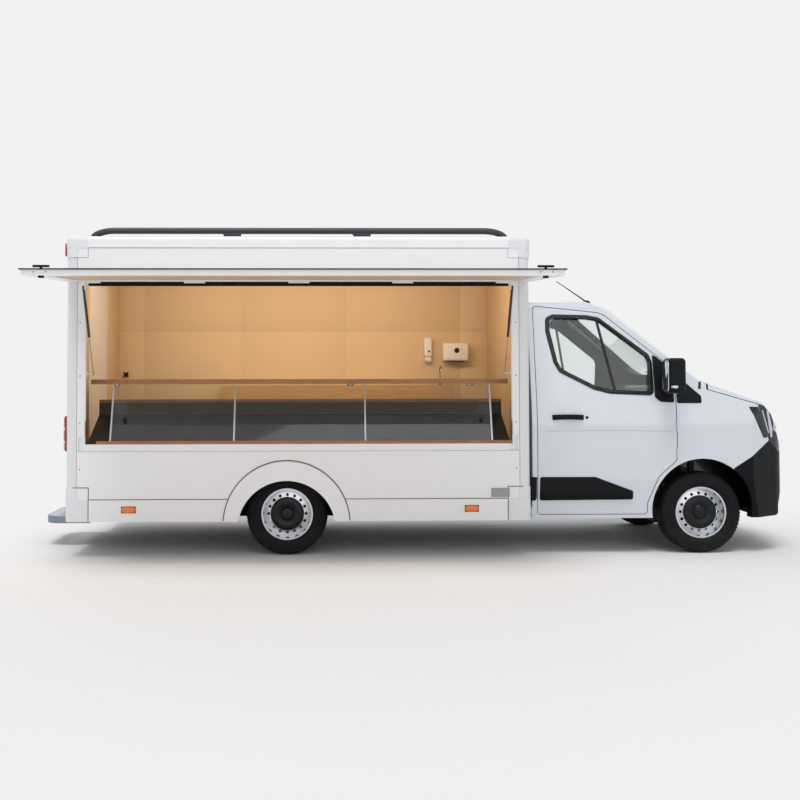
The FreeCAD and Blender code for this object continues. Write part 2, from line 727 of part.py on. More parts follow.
def rim(x, side):
    """Pressed steel rim: barrel with lips, disc with a ring of vents, and a domed hub cover."""
    half = RIM_WIDTH / 2
    centre = Vector(x, side * HALF_TRACK, TYRE_RADIUS)
    barrel = [(-half, RIM_RADIUS + RIM_WALL, 0), (-half, RIM_RADIUS - RIM_WALL, 0),
              (-half / 3, RIM_WELL_RADIUS, 0), (half / 3, RIM_WELL_RADIUS, 0),
              (half, RIM_RADIUS - RIM_WALL, 0), (half, RIM_RADIUS + RIM_WALL, 0),
              (half - RIM_WALL, RIM_RADIUS + RIM_WALL, 0), (half - RIM_WALL, RIM_RADIUS, 0),
              (half / 3, RIM_WELL_RADIUS + RIM_WALL, 0), (-half / 3, RIM_WELL_RADIUS + RIM_WALL, 0),
              (-half + RIM_WALL, RIM_RADIUS, 0), (-half + RIM_WALL, RIM_RADIUS + RIM_WALL, 0)]
    inner = DISC_OFFSET - DISC_WALL
    bore = SPIGOT_RADIUS + RUNNING_CLEARANCE
    disc = [(inner, bore, 0), (inner, HUB_RADIUS * 2, 0), (half / 3 - DISC_WALL, RIM_WELL_RADIUS, 0),
            (half / 3, RIM_WELL_RADIUS + RIM_WALL / 2, 0), (DISC_OFFSET, HUB_RADIUS * 2, 0),
            (DISC_OFFSET, bore, 0)]
    wheel = turned(barrel, centre, side).fuse(turned(disc, centre, side))
    for index in range(VENT_COUNT):
        wheel = wheel.cut(vent(centre, index, side))
    cover = [(DISC_OFFSET, bore, 0), (DISC_OFFSET, HUB_COVER_RADIUS, 0),
             (DISC_OFFSET + HUB_COVER_DEPTH / 2, HUB_COVER_RADIUS, 0),
             (DISC_OFFSET + HUB_COVER_DEPTH, HUB_DOME_RADIUS * 2 - bore, 0),
             (DISC_OFFSET + HUB_COVER_DEPTH / 2, HUB_DOME_RADIUS, 0),
             (DISC_OFFSET + HUB_COVER_DEPTH, HUB_DOME_RADIUS - HUB_COVER_DEPTH / 3, 0),
             (DISC_OFFSET + HUB_COVER_DEPTH, 0, 0), (DISC_OFFSET + SPIGOT_LENGTH, 0, 0),
             (DISC_OFFSET + SPIGOT_LENGTH, bore, 0)]
    return wheel.fuse(turned(cover, centre, side)).removeSplitter()


def vent(centre, index, side):
    """Round hole through the sloping part of the disc."""
    angle = 2 * math.pi * index / VENT_COUNT
    spot = centre + Vector(VENT_PITCH_RADIUS * math.cos(angle), 0, VENT_PITCH_RADIUS * math.sin(angle))
    reach = Vector(0, side * (DISC_OFFSET + OVERRUN), 0)
    return rod(spot, spot + reach, VENT_RADIUS)


def box_floor():
    """Floor plate with a closed box over each rear wheel."""
    inner = HALF_BOX - WALL
    floor = box(BOX_REAR + WALL, BOX_FRONT - WALL, -inner, inner, FRAME_TOP, FLOOR_TOP)
    for side in (LEFT, RIGHT):
        cover = sided(-WHEEL_BOX_HALF, WHEEL_BOX_HALF, WHEEL_BOX_INNER_Y, inner, FRAME_TOP,
                      WHEEL_BOX_TOP, side)
        hollow = sided(-WHEEL_BOX_HALF + WHEEL_BOX_WALL, WHEEL_BOX_HALF - WHEEL_BOX_WALL,
                       WHEEL_BOX_INNER_Y + WHEEL_BOX_WALL, inner + OVERRUN, FRAME_TOP - OVERRUN,
                       WHEEL_BOX_TOP - WHEEL_BOX_WALL, side)
        floor = floor.fuse(cover).cut(hollow)
    return floor.removeSplitter()


def arch_disc(radius, z, y0, y1):
    """Round cutter of a rear wheel arch on the sales side."""
    return rod(Vector(0, y0, z), Vector(0, y1, z), radius)


def side_wall(bottom, top):
    """Flat side panel on the sales side between the corner posts, with its wheel arch."""
    panel = box(BOX_REAR + POST_WIDTH, BOX_FRONT - POST_WIDTH, -HALF_BOX, -HALF_BOX + WALL, bottom, top)
    arch = arch_disc(ARCH_INNER_RADIUS, ARCH_INNER_Z, -HALF_BOX - OVERRUN, -HALF_BOX + WALL + OVERRUN)
    return panel.cut(arch)


def sales_wall():
    """Sales side wall with the serving opening, latch pockets, hinge knuckles and strut brackets."""
    wall = side_wall(SKIRT_TOP, MOULDING_BOTTOM)
    wall = wall.cut(box(OPENING_REAR, OPENING_FRONT, -HALF_BOX - OVERRUN, -HALF_BOX + WALL + OVERRUN,
                        OPENING_BOTTOM, OPENING_TOP))
    for x in handle_places():
        wall = wall.cut(box(x - LATCH_POCKET / 2, x + LATCH_POCKET / 2, -HALF_BOX - OVERRUN,
                            -HALF_BOX + CAM_THICKNESS + HATCH_EDGE_GAP, latch_z() - LATCH_POCKET,
                            latch_z() + LATCH_POCKET))
    for end, x in ((1, OPENING_REAR), (-1, OPENING_FRONT)):
        wall = wall.fuse(jamb_bracket(x, end))
    return wall


def handle_places():
    """Where the two latch handles stand along the hatch."""
    start = hatch_start()
    return start + HANDLE_INSET_X, start + HATCH_LENGTH - HANDLE_INSET_X


def hatch_start():
    """Rear end of the hatch, which is centred on the box."""
    return BOX_REAR + HATCH_END_GAP


def latch_z():
    """Height of the latches when the hatch is closed."""
    return HINGE_Z - HATCH_EDGE_GAP - HATCH_REACH + HANDLE_INSET_Y


def jamb_pin():
    """Place of the strut pins on the door jambs: depth and height."""
    return -HALF_BOX + JAMB_PIN_DEPTH, HINGE_Z - JAMB_PIN_BELOW


def jamb_bracket(x, end):
    """Bracket behind the wall with a ball stud that points at the strut's eye."""
    y, z = jamb_pin()
    half = BRACKET_WIDTH / 2
    plate_x0, plate_x1 = sorted((x, x - end * BRACKET_WALL))
    plate = box(plate_x0, plate_x1, -HALF_BOX + WALL / 2, y + half, z - half, z + half)
    tip = x + end * (STRUT_INSET - EYE_THICKNESS / 2 - STUD_GAP)
    stud = rod(Vector(x - end * BRACKET_WALL, y, z), Vector(tip, y, z), STRUT_PIN_RADIUS)
    return fused(plate, stud)


def far_wall():
    """Plain side wall with its wheel arch, opposite the sales side."""
    return mirrored(side_wall(SKIRT_TOP, MOULDING_BOTTOM))


def end_wall(x0, x1):
    """Wall across the box between the corner posts."""
    return box(x0, x1, -HALF_BOX + POST_WIDTH, HALF_BOX - POST_WIDTH, SKIRT_TOP, MOULDING_BOTTOM)


def front_wall():
    """Wall behind the cab."""
    return end_wall(BOX_FRONT - WALL, BOX_FRONT)


def rear_wall():
    """Rear wall with the opening for its door and a lower edge beam."""
    wall = end_wall(BOX_REAR, BOX_REAR + WALL)
    half = HALF_BOX - LOWER_CAP_LENGTH
    beam = box(BOX_REAR, BOX_REAR + SKIRT_WALL, -half, half, SKIRT_BOTTOM, SKIRT_TOP)
    return fused(wall, beam).cut(rear_door_block(DOOR_GAP, OVERRUN))


def rear_door_block(gap, overrun):
    """Block of the rear door, widened by a gap on every edge."""
    half = REAR_DOOR_WIDTH / 2 + gap
    return box(BOX_REAR - overrun, BOX_REAR + WALL + overrun, REAR_DOOR_Y - half, REAR_DOOR_Y + half,
               FLOOR_TOP + DOOR_GAP - gap, REAR_DOOR_TOP + gap)


def rear_door_axis():
    """Line of the rear door's hinges, just outside its left edge."""
    return BOX_REAR - DOOR_PIN_RADIUS / 2, REAR_DOOR_Y + REAR_DOOR_WIDTH / 2 + DOOR_GAP / 2


def rear_hinges():
    """Three hinges up the rear door's left edge."""
    x, y = rear_door_axis()
    height = REAR_DOOR_TOP - FLOOR_TOP
    return [hinge_parts(Vector(x, y, FLOOR_TOP + height * share), (0, 0, 1), KNUCKLE_LENGTH,
                        DOOR_PIN_RADIUS, DOOR_KNUCKLE_RADIUS) for share in HINGE_SHARES]


def box_roof():
    """Roof panel with a moulding round its edge."""
    band = box(BOX_REAR + UPPER_CAP_LENGTH, BOX_FRONT - UPPER_CAP_LENGTH, -HALF_BOX - CAP_PROUD,
               HALF_BOX + CAP_PROUD, MOULDING_BOTTOM, BOX_TOP)
    band = band.makeFillet(MOULDING_ROUND, edges_along(band, "x", BOX_TOP))
    ends = box(BOX_REAR - CAP_PROUD, BOX_FRONT + CAP_PROUD, -HALF_BOX + UPPER_CAP_LENGTH,
               HALF_BOX - UPPER_CAP_LENGTH, MOULDING_BOTTOM, BOX_TOP)
    ends = ends.makeFillet(MOULDING_ROUND, edges_along(ends, "y", BOX_TOP))
    inner_x = POST_WIDTH - WALL
    hollow = box(BOX_REAR + inner_x + WALL, BOX_FRONT - inner_x - WALL, -HALF_BOX + WALL, HALF_BOX - WALL,
                 MOULDING_BOTTOM - OVERRUN, BOX_TOP - ROOF_THICKNESS)
    return band.fuse(ends).cut(hollow).removeSplitter()


def edges_along(shape, axis, top):
    """Edges of a block that run along x or y at a height."""
    picked = []
    for edge in shape.Edges:
        bound = edge.BoundBox
        length = bound.XLength if axis == "x" else bound.YLength
        if bound.ZLength < FACE_CLEARANCE and abs(bound.ZMin - top) < FACE_CLEARANCE \
                and length > edge.Length - FACE_CLEARANCE:
            picked.append(edge)
    return picked


def upright_edge(shape, x, y):
    """The upright edge of a block at one corner of its plan."""
    for edge in shape.Edges:
        bound = edge.BoundBox
        if bound.ZLength > edge.Length - FACE_CLEARANCE and abs(bound.XMin - x) < FACE_CLEARANCE \
                and abs(bound.YMin - y) < FACE_CLEARANCE:
            return [edge]
    return []


def corner_piece(x, inward, side, length, proud, bottom, top, wall):
    """Angle piece round one corner of the box with a rounded outer edge.

    x is the box's end, inward the way along X into the box.
    """
    x0, x1 = sorted((x - inward * proud, x + inward * length))
    y0, y1 = sorted((side * (HALF_BOX + proud), side * (HALF_BOX - length)))
    piece = box(x0, x1, y0, y1, bottom, top)
    outer_x = x - inward * proud
    outer_y = side * (HALF_BOX + proud)
    piece = piece.makeFillet(POST_ROUND, upright_edge(piece, outer_x, outer_y))
    x0, x1 = sorted((x + inward * wall, x + inward * (length + OVERRUN)))
    y0, y1 = sorted((side * (HALF_BOX - wall), side * (HALF_BOX - length - OVERRUN)))
    return piece.cut(box(x0, x1, y0, y1, bottom - OVERRUN, top + OVERRUN))


def four_corners(length, proud, bottom, top, wall):
    """The same angle piece at each corner of the box."""
    return [corner_piece(x, inward, side, length, proud, bottom, top, wall)
            for x, inward in ((BOX_REAR, 1), (BOX_FRONT, -1)) for side in (LEFT, RIGHT)]


def corner_posts():
    """Upright posts between the corner caps."""
    return group(*four_corners(POST_WIDTH, 0, LOWER_CAP_TOP, UPPER_CAP_BOTTOM, WALL))


def corner_caps():
    """Upper caps that close the roof moulding and lower caps that close the skirts."""
    caps = []
    for x, inward in ((BOX_REAR, 1), (BOX_FRONT, -1)):
        for side in (LEFT, RIGHT):
            caps.append(upper_cap(x, inward, side))
            caps.append(corner_piece(x, inward, side, LOWER_CAP_LENGTH, CAP_PROUD, SKIRT_BOTTOM,
                                     SKIRT_TOP, SKIRT_WALL)
                        .fuse(corner_piece(x, inward, side, POST_WIDTH, CAP_PROUD, SKIRT_TOP,
                                           LOWER_CAP_TOP, WALL)).removeSplitter())
    return group(*caps)


def upper_cap(x, inward, side):
    """Cap at one top corner: a short post below and the corner of the moulding above."""
    x0, x1 = sorted((x - inward * CAP_PROUD, x + inward * UPPER_CAP_LENGTH))
    y0, y1 = sorted((side * (HALF_BOX + CAP_PROUD), side * (HALF_BOX - UPPER_CAP_LENGTH)))
    top = box(x0, x1, y0, y1, MOULDING_BOTTOM, BOX_TOP)
    top = top.makeFillet(MOULDING_ROUND, outer_top_edges(top, x - inward * CAP_PROUD,
                                                         side * (HALF_BOX + CAP_PROUD)))
    x0, x1 = sorted((x + inward * POST_WIDTH, x + inward * (UPPER_CAP_LENGTH + OVERRUN)))
    y0, y1 = sorted((side * (HALF_BOX - WALL), side * (HALF_BOX - UPPER_CAP_LENGTH - OVERRUN)))
    top = top.cut(box(x0, x1, y0, y1, MOULDING_BOTTOM - OVERRUN, BOX_TOP - ROOF_THICKNESS))
    post = corner_piece(x, inward, side, POST_WIDTH, CAP_PROUD, UPPER_CAP_BOTTOM, MOULDING_BOTTOM, WALL)
    return top.fuse(post).removeSplitter()


def outer_top_edges(shape, x, y):
    """Top and upright edges of a corner block on its two outer faces."""
    picked = []
    for edge in shape.Edges:
        bound = edge.BoundBox
        on_x = abs(bound.XMin - x) < FACE_CLEARANCE and bound.XLength < FACE_CLEARANCE
        on_y = abs(bound.YMin - y) < FACE_CLEARANCE and bound.YLength < FACE_CLEARANCE
        on_top = abs(bound.ZMin - BOX_TOP) < FACE_CLEARANCE
        if (on_top and (on_x or on_y)) or (on_x and on_y):
            picked.append(edge)
    return picked


def skirts():
    """Lower side panels between the corner caps, cut round the arch flares."""
    skirt = box(BOX_REAR + LOWER_CAP_LENGTH, BOX_FRONT - LOWER_CAP_LENGTH, -HALF_BOX - SKIRT_PROUD,
                -HALF_BOX - SKIRT_PROUD + SKIRT_WALL, SKIRT_BOTTOM, SKIRT_TOP)
    cut = arch_disc(ARCH_OUTER_RADIUS, ARCH_OUTER_Z, -HALF_BOX - OVERRUN, -HALF_BOX + OVERRUN)
    return both_sides(skirt.cut(cut))


def arch_flares():
    """Rounded flares round the rear wheel arches."""
    y0, y1 = -HALF_BOX - FLARE_PROUD, -HALF_BOX
    ring = arch_disc(ARCH_OUTER_RADIUS, ARCH_OUTER_Z, y0, y1)
    ring = ring.makeFillet(FLARE_ROUND, [edge for edge in ring.Edges
                                         if edge.BoundBox.YMax < y0 + FACE_CLEARANCE])
    ring = ring.cut(arch_disc(ARCH_INNER_RADIUS, ARCH_INNER_Z, y0 - OVERRUN, y1 + OVERRUN))
    reach = ARCH_OUTER_RADIUS + OVERRUN
    ring = ring.cut(box(-reach, reach, y0 - OVERRUN, y1 + OVERRUN, -reach, SKIRT_BOTTOM))
    foot = ring_backing()
    return both_sides(ring.fuse(foot).removeSplitter())


def ring_backing():
    """The flare's own wall where the skirt is cut away behind it."""
    y0, y1 = -HALF_BOX, -HALF_BOX - SKIRT_PROUD + SKIRT_WALL
    ring = arch_disc(ARCH_OUTER_RADIUS, ARCH_OUTER_Z, y0, y1)
    ring = ring.cut(arch_disc(ARCH_INNER_RADIUS, ARCH_INNER_Z, y0 - OVERRUN, y1 + OVERRUN))
    reach = ARCH_OUTER_RADIUS
    return ring.common(box(-reach, reach, y0, y1, SKIRT_BOTTOM, SKIRT_TOP))


def rear_lamps():
    """Tall lamp clusters and small top lamps on the rear corners."""
    x1 = BOX_REAR
    outer = HALF_BOX - POST_ROUND
    low = box(x1 - LAMP_DEPTH, x1, outer - LAMP_WIDTH + POST_ROUND / 2, outer, LAMP_Z, LAMP_Z + LAMP_HEIGHT)
    low = low.makeFillet(LAMP_ROUND, [edge for edge in low.Edges
                                      if edge.BoundBox.XMax < x1 - LAMP_DEPTH + FACE_CLEARANCE])
    top_z = BOX_TOP - TOP_LAMP_BELOW
    x1 = BOX_REAR - CAP_PROUD
    top = box(x1 - LAMP_DEPTH, x1, outer - TOP_LAMP_WIDTH, outer, top_z - TOP_LAMP_HEIGHT, top_z)
    top = top.makeFillet(LAMP_ROUND, [edge for edge in top.Edges
                                      if edge.BoundBox.XMax < x1 - LAMP_DEPTH + FACE_CLEARANCE])
    return group(both_sides(low), both_sides(top))


def rear_step():
    """Fixed step of slotted sheet with a rounded outer edge, hung from the chassis frame."""
    x0 = BOX_REAR - STEP_LENGTH
    x1 = BOX_REAR + FRAME_REAR_GAP
    half = STEP_WIDTH / 2
    corners = [(x0, -half, STEP_ROUND), (x1, -half, 0), (x1, half, 0), (x0, half, STEP_ROUND)]
    tray = plan_plate(corners, STEP_Z, STEP_Z + STEP_THICKNESS)
    tray = tray.cut(plan_plate(inset(corners, STEP_WALL), STEP_Z - OVERRUN,
                               STEP_Z + STEP_THICKNESS - STEP_WALL))
    pitch = (STEP_WIDTH - STEP_ROUND) / STEP_SLOT_COUNT
    for index in range(STEP_SLOT_COUNT):
        y = -half + STEP_ROUND / 2 + pitch * (index + 1 / 2)
        x = BOX_REAR - STEP_SLOT_LENGTH - STEP_ROUND / 3
        tray = tray.cut(box(x, x + STEP_SLOT_LENGTH, y - STEP_SLOT / 2, y + STEP_SLOT / 2,
                            STEP_Z, STEP_Z + STEP_THICKNESS + OVERRUN))
    hangers = [sided(BOX_REAR + SKIRT_WALL + FACE_CLEARANCE, x1, STEP_HANGER_Y,
                     STEP_HANGER_Y + STEP_HANGER, STEP_Z, FRAME_TOP - RAIL_WALL, side)
               for side in (LEFT, RIGHT)]
    return fused(tray, *hangers)


def roof_rails():
    """Tube rails with bent ends and foot pads along both roof edges."""
    z = BOX_TOP + RAIL_ABOVE
    low = BOX_TOP - CAP_PROUD
    rear, front = RAIL_STRAIGHT_REAR, RAIL_STRAIGHT_FRONT
    spots = [Vector(rear - RAIL_FOOT_RUN, -RAIL_TUBE_Y, low), Vector(rear, -RAIL_TUBE_Y, z),
             Vector(front, -RAIL_TUBE_Y, z), Vector(front + RAIL_FOOT_RUN, -RAIL_TUBE_Y, low)]
    first = corner_points(spots[0], spots[1], spots[2], RAIL_BEND_RADIUS)
    second = corner_points(spots[1], spots[2], spots[3], RAIL_BEND_RADIUS)
    path = Part.Wire([Part.LineSegment(spots[0], first[0]).toShape(), Part.Arc(*first).toShape(),
                      Part.LineSegment(first[2], second[0]).toShape(), Part.Arc(*second).toShape(),
                      Part.LineSegment(second[2], spots[3]).toShape()])
    section = Part.Wire(Part.makeCircle(RAIL_TUBE_RADIUS, spots[0], first[0] - spots[0]))
    tube = path.makePipeShell([section], True, True)
    tube = tube.cut(box(BOX_REAR, BOX_FRONT, -HALF_BOX, 0, low - OVERRUN * 2, BOX_TOP))
    for share in RAIL_PAD_SHARES:
        x = rear + (front - rear) * share
        half = RAIL_PAD_WIDTH / 2
        tube = tube.fuse(box(x - RAIL_PAD_LENGTH / 2, x + RAIL_PAD_LENGTH / 2, -RAIL_TUBE_Y - half,
                             -RAIL_TUBE_Y + half, BOX_TOP, z))
    return both_sides(tube.removeSplitter())


def tilted(shape, angle):
    """A piece of the open hatch, tipped down by an angle about the hinge line."""
    copy = shape.copy()
    copy.rotate(Vector(0, HINGE_Y, HINGE_Z), Vector(1, 0, 0), angle)
    return copy


def hatch_panel():
    """Open hatch: framed panel with strut brackets, before its hinges are added."""
    x0 = hatch_start()
    x1 = x0 + HATCH_LENGTH
    y1 = HINGE_Y - HATCH_EDGE_GAP
    y0 = y1 - HATCH_REACH
    panel = box(x0, x1, y0, y1, HINGE_Z, HINGE_Z + HATCH_THICKNESS)
    panel = panel.cut(box(x0 + HATCH_FRAME, x1 - HATCH_FRAME, y0 + HATCH_FRAME, y1 - HATCH_FRAME,
                          HINGE_Z - OVERRUN, HINGE_Z + HATCH_RECESS))
    y = HINGE_Y - STRUT_PIN_REACH
    z = HINGE_Z - STRUT_PIN_DROP
    half = BRACKET_WIDTH / 2
    for end, x in ((1, OPENING_REAR), (-1, OPENING_FRONT)):
        inner = x + end * (STRUT_INSET + CYLINDER_RADIUS + STUD_GAP)
        x_low, x_high = sorted((inner, inner + end * BRACKET_WALL))
        plate = box(x_low, x_high, y - half, y + half, z - half, HINGE_Z + HATCH_RECESS)
        pin = rod(Vector(inner + end * BRACKET_WALL / 2, y, z),
                  Vector(x + end * (STRUT_INSET - EYE_THICKNESS / 2), y, z), STRUT_PIN_RADIUS)
        panel = panel.fuse(plate).fuse(pin)
    return tilted(panel, HATCH_DROOP)


def hatch_seal():
    """Dark edge trim round the outer face of the hatch."""
    x0 = hatch_start()
    x1 = x0 + HATCH_LENGTH
    y1 = HINGE_Y - HATCH_EDGE_GAP
    y0 = y1 - HATCH_REACH
    z = HINGE_Z + HATCH_THICKNESS
    lip = HATCH_SEAL_LIP
    trim = box(x0 - lip, x1 + lip, y0 - lip, y1, z, z + HATCH_SEAL)
    rim_width = HATCH_SEAL_LIP * 2
    trim = trim.cut(box(x0 + rim_width, x1 - rim_width, y0 + rim_width, y1 - rim_width, z - OVERRUN,
                        z + HATCH_SEAL + OVERRUN))
    return tilted(trim, HATCH_DROOP)


def hatch_latches():
    """Two T-shaped handles on the outer face with their cams on the inner one."""
    y = HINGE_Y - HATCH_EDGE_GAP - HATCH_REACH + HANDLE_INSET_Y
    top = HINGE_Z + HATCH_THICKNESS
    pieces = []
    for x in handle_places():
        bar_z = top + HANDLE_HEIGHT
        bar = rod(Vector(x - HANDLE_BAR / 2, y, bar_z), Vector(x + HANDLE_BAR / 2, y, bar_z),
                  HANDLE_BAR_RADIUS)
        stem = rod(Vector(x, y, top), Vector(x, y, bar_z), HANDLE_STEM_RADIUS)
        pieces.append(fused(bar, stem))
        pieces.append(box(x - CAM_WIDTH / 2, x + CAM_WIDTH / 2, y - CAM_LENGTH / 2, y + CAM_LENGTH / 2,
                          HINGE_Z - CAM_THICKNESS, HINGE_Z))
    return tilted(group(*pieces), HATCH_DROOP)


def hatch_hinges():
    """Hinges along the top edge of the serving opening."""
    pitch = (HATCH_LENGTH - POST_WIDTH * 4) / (HATCH_HINGES - 1)
    start = hatch_start() + POST_WIDTH * 2
    return [hinge_parts(Vector(start + pitch * index, HINGE_Y, HINGE_Z), (1, 0, 0), KNUCKLE_LENGTH,
                        HATCH_PIN_RADIUS, HATCH_KNUCKLE_RADIUS) for index in range(HATCH_HINGES)]


def strut_ends(x, end):
    """Centre of the strut's pin on the hatch and of its eye at the jamb, at rest."""
    angle = math.radians(HATCH_DROOP)
    out, drop = -STRUT_PIN_REACH, -STRUT_PIN_DROP
    y = HINGE_Y + out * math.cos(angle) - drop * math.sin(angle)
    z = HINGE_Z + out * math.sin(angle) + drop * math.cos(angle)
    foot_y, foot_z = jamb_pin()
    strut_x = x + end * STRUT_INSET
    return Vector(strut_x, y, z), Vector(strut_x, foot_y, foot_z)


def strut_cylinder(x, end):
    """Cylinder of a gas strut, carried by the hatch."""
    top, foot = strut_ends(x, end)
    along = (foot - top).normalize()
    body = rod(top + along * (EYE_RADIUS / 2), top + along * CYLINDER_LENGTH, CYLINDER_RADIUS)
    bore = rod(top + along * EYE_RADIUS * 2, top + along * (CYLINDER_LENGTH + OVERRUN), CYLINDER_BORE)
    shape = body.cut(bore).fuse(rod(top - Vector(EYE_THICKNESS / 2, 0, 0),
                                    top + Vector(EYE_THICKNESS / 2, 0, 0), EYE_RADIUS))
    half = Vector(EYE_THICKNESS, 0, 0)
    return shape.cut(rod(top - half, top + half, STRUT_PIN_RADIUS + RUNNING_CLEARANCE)).removeSplitter()


def strut_rod(x, end):
    """Polished rod of a gas strut with the eye that faces the jamb stud."""
    top, foot = strut_ends(x, end)
    along = (foot - top).normalize()
    bar = rod(top + along * (CYLINDER_LENGTH - ROD_HIDDEN), foot - along * (EYE_RADIUS / 2), ROD_RADIUS)
    half = Vector(EYE_THICKNESS / 2, 0, 0)
    return fused(bar, rod(foot - half, foot + half, EYE_RADIUS))


def case_outline():
    """Section of the display case across the vehicle, as (y, z) corners."""
    return [(CASE_FRONT_Y, CASE_BOTTOM, 0), (CASE_BACK_Y, CASE_BOTTOM, 0), (CASE_BACK_Y, STEP_TOP, 0),
            (BED_BACK_Y, STEP_TOP, 0), (BED_BACK_Y, BED_BACK_Z, 0),
            (CASE_FRONT_Y + CASE_LIP, BED_FRONT_Z - CASE_LIP, 0),
            (CASE_FRONT_Y + CASE_LIP, BED_FRONT_Z, 0), (CASE_FRONT_Y, BED_FRONT_Z, 0)]


def display_case():
    """Case with a sloping display bed, open bays on the seller's side, and end legs."""
    x0, x1 = OPENING_REAR + CASE_GAP, OPENING_FRONT - CASE_GAP
    case = front_plate(case_outline(), x0, x1)
    length = (x1 - x0 - BAY_WALL) / BAY_COUNT
    for index in range(BAY_COUNT):
        x = x0 + BAY_WALL + length * index
        case = case.cut(box(x, x + length - BAY_WALL, CASE_BACK_Y - BAY_DEPTH, CASE_BACK_Y + OVERRUN,
                            CASE_BOTTOM + BAY_WALL, BED_BACK_Z - BAY_WALL * 3))
    legs = [box(x, x + CASE_LEG, CASE_FRONT_Y, CASE_BACK_Y, FLOOR_TOP, CASE_BOTTOM)
            for x in (x0, x1 - CASE_LEG)]
    return fused(case, *legs)


def counter_wood():
    """Serving shelf above the glass and the front ledge under it, both of wood."""
    x0, x1 = OPENING_REAR + CASE_GAP, OPENING_FRONT - CASE_GAP
    shelf = box(x0, x1, SHELF_FRONT_Y, SHELF_BACK_Y, SHELF_TOP - SHELF_THICKNESS, SHELF_TOP)
    ledge = box(x0 + STRUT_INSET * 2, x1 - CASE_GAP, -HALF_BOX, -HALF_BOX + LEDGE_WIDTH, OPENING_BOTTOM,
                OPENING_BOTTOM + LEDGE_THICKNESS)
    step = box(x0, x1, BED_BACK_Y, CASE_BACK_Y, STEP_TOP, STEP_TOP + LEDGE_THICKNESS)
    return group(shelf, ledge, step)


def glass_line(inner, x0, x1):
    """Slanted sheet from the ledge up to the shelf's front edge, as thick as inner says."""
    foot_y = -HALF_BOX + LEDGE_WIDTH
    foot_z = BED_FRONT_Z
    return front_plate([(foot_y, foot_z, 0), (foot_y + inner, foot_z, 0),
                        (SHELF_FRONT_Y + inner, SHELF_TOP - SHELF_THICKNESS, 0),
                        (SHELF_FRONT_Y, SHELF_TOP - SHELF_THICKNESS, 0)], x0, x1)


def display_glass():
    """Slanted front sheets between the posts, and a sheet at each end."""
    x0, x1 = OPENING_REAR + CASE_GAP, OPENING_FRONT - CASE_GAP
    places = [x0 + (x1 - x0) * share for share in POST_SHARES]
    sheets = []
    for start, stop in zip(places[:-1], places[1:]):
        sheets.append(glass_line(GLASS, start + DISPLAY_POST / 2, stop - DISPLAY_POST / 2))
    return group(*sheets)


def display_posts():
    """Thin metal posts that hold the glass and the shelf."""
    x0, x1 = OPENING_REAR + CASE_GAP, OPENING_FRONT - CASE_GAP
    return group(*[glass_line(DISPLAY_POST, x0 + (x1 - x0) * share - DISPLAY_POST / 2,
                              x0 + (x1 - x0) * share + DISPLAY_POST / 2) for share in POST_SHARES])


def counter_start():
    """Rear end of the work counter."""
    return BOX_FRONT - WALL - BACK_COUNTER_AHEAD - BACK_COUNTER_LENGTH


def cupboard_width():
    """Clear width of one cupboard."""
    return (BACK_COUNTER_LENGTH - CUPBOARD_WALL) / CUPBOARD_COUNT - CUPBOARD_WALL


def cupboard_top():
    """Height of the cupboards' ceiling, under the sink."""
    return BACK_COUNTER_TOP - SINK_DEPTH - CUPBOARD_WALL


def cupboards():
    """Start and floor height of each cupboard; those over the wheel box stand on it."""
    places = []
    for index in range(CUPBOARD_COUNT):
        x = counter_start() + CUPBOARD_WALL + (cupboard_width() + CUPBOARD_WALL) * index
        over_wheel = x < WHEEL_BOX_HALF + CUPBOARD_WALL * 2
        base = WHEEL_BOX_TOP if over_wheel else FLOOR_TOP
        places.append((x, base + CUPBOARD_PLINTH))
    return places


def sink_x():
    """Rear end of the sink bowl."""
    return BOX_FRONT - WALL - BACK_COUNTER_AHEAD - SINK_LENGTH - SINK_ROUND * 2


def back_counter():
    """Work counter with open cupboards and a sink along the far wall."""
    y1 = HALF_BOX - WALL
    y0 = y1 - BACK_COUNTER_DEPTH
    x0 = counter_start()
    counter = box(x0, x0 + BACK_COUNTER_LENGTH, y0, y1, FLOOR_TOP, BACK_COUNTER_TOP)
    counter = counter.cut(box(-WHEEL_BOX_HALF - FACE_CLEARANCE, WHEEL_BOX_HALF + FACE_CLEARANCE,
                              WHEEL_BOX_INNER_Y - FACE_CLEARANCE, y1 + OVERRUN, FLOOR_TOP - OVERRUN,
                              WHEEL_BOX_TOP + FACE_CLEARANCE))
    for x, floor in cupboards():
        counter = counter.cut(box(x, x + cupboard_width(), y0 - OVERRUN, y1 - CUPBOARD_WALL, floor,
                                  cupboard_top()))
    middle = (y0 + y1) / 2
    start = sink_x()
    bowl = plan_plate([(start, middle - SINK_WIDTH / 2, SINK_ROUND),
                       (start + SINK_LENGTH, middle - SINK_WIDTH / 2, SINK_ROUND),
                       (start + SINK_LENGTH, middle + SINK_WIDTH / 2, SINK_ROUND),
                       (start, middle + SINK_WIDTH / 2, SINK_ROUND)],
                      BACK_COUNTER_TOP - SINK_DEPTH, BACK_COUNTER_TOP + OVERRUN)
    return counter.cut(bowl)


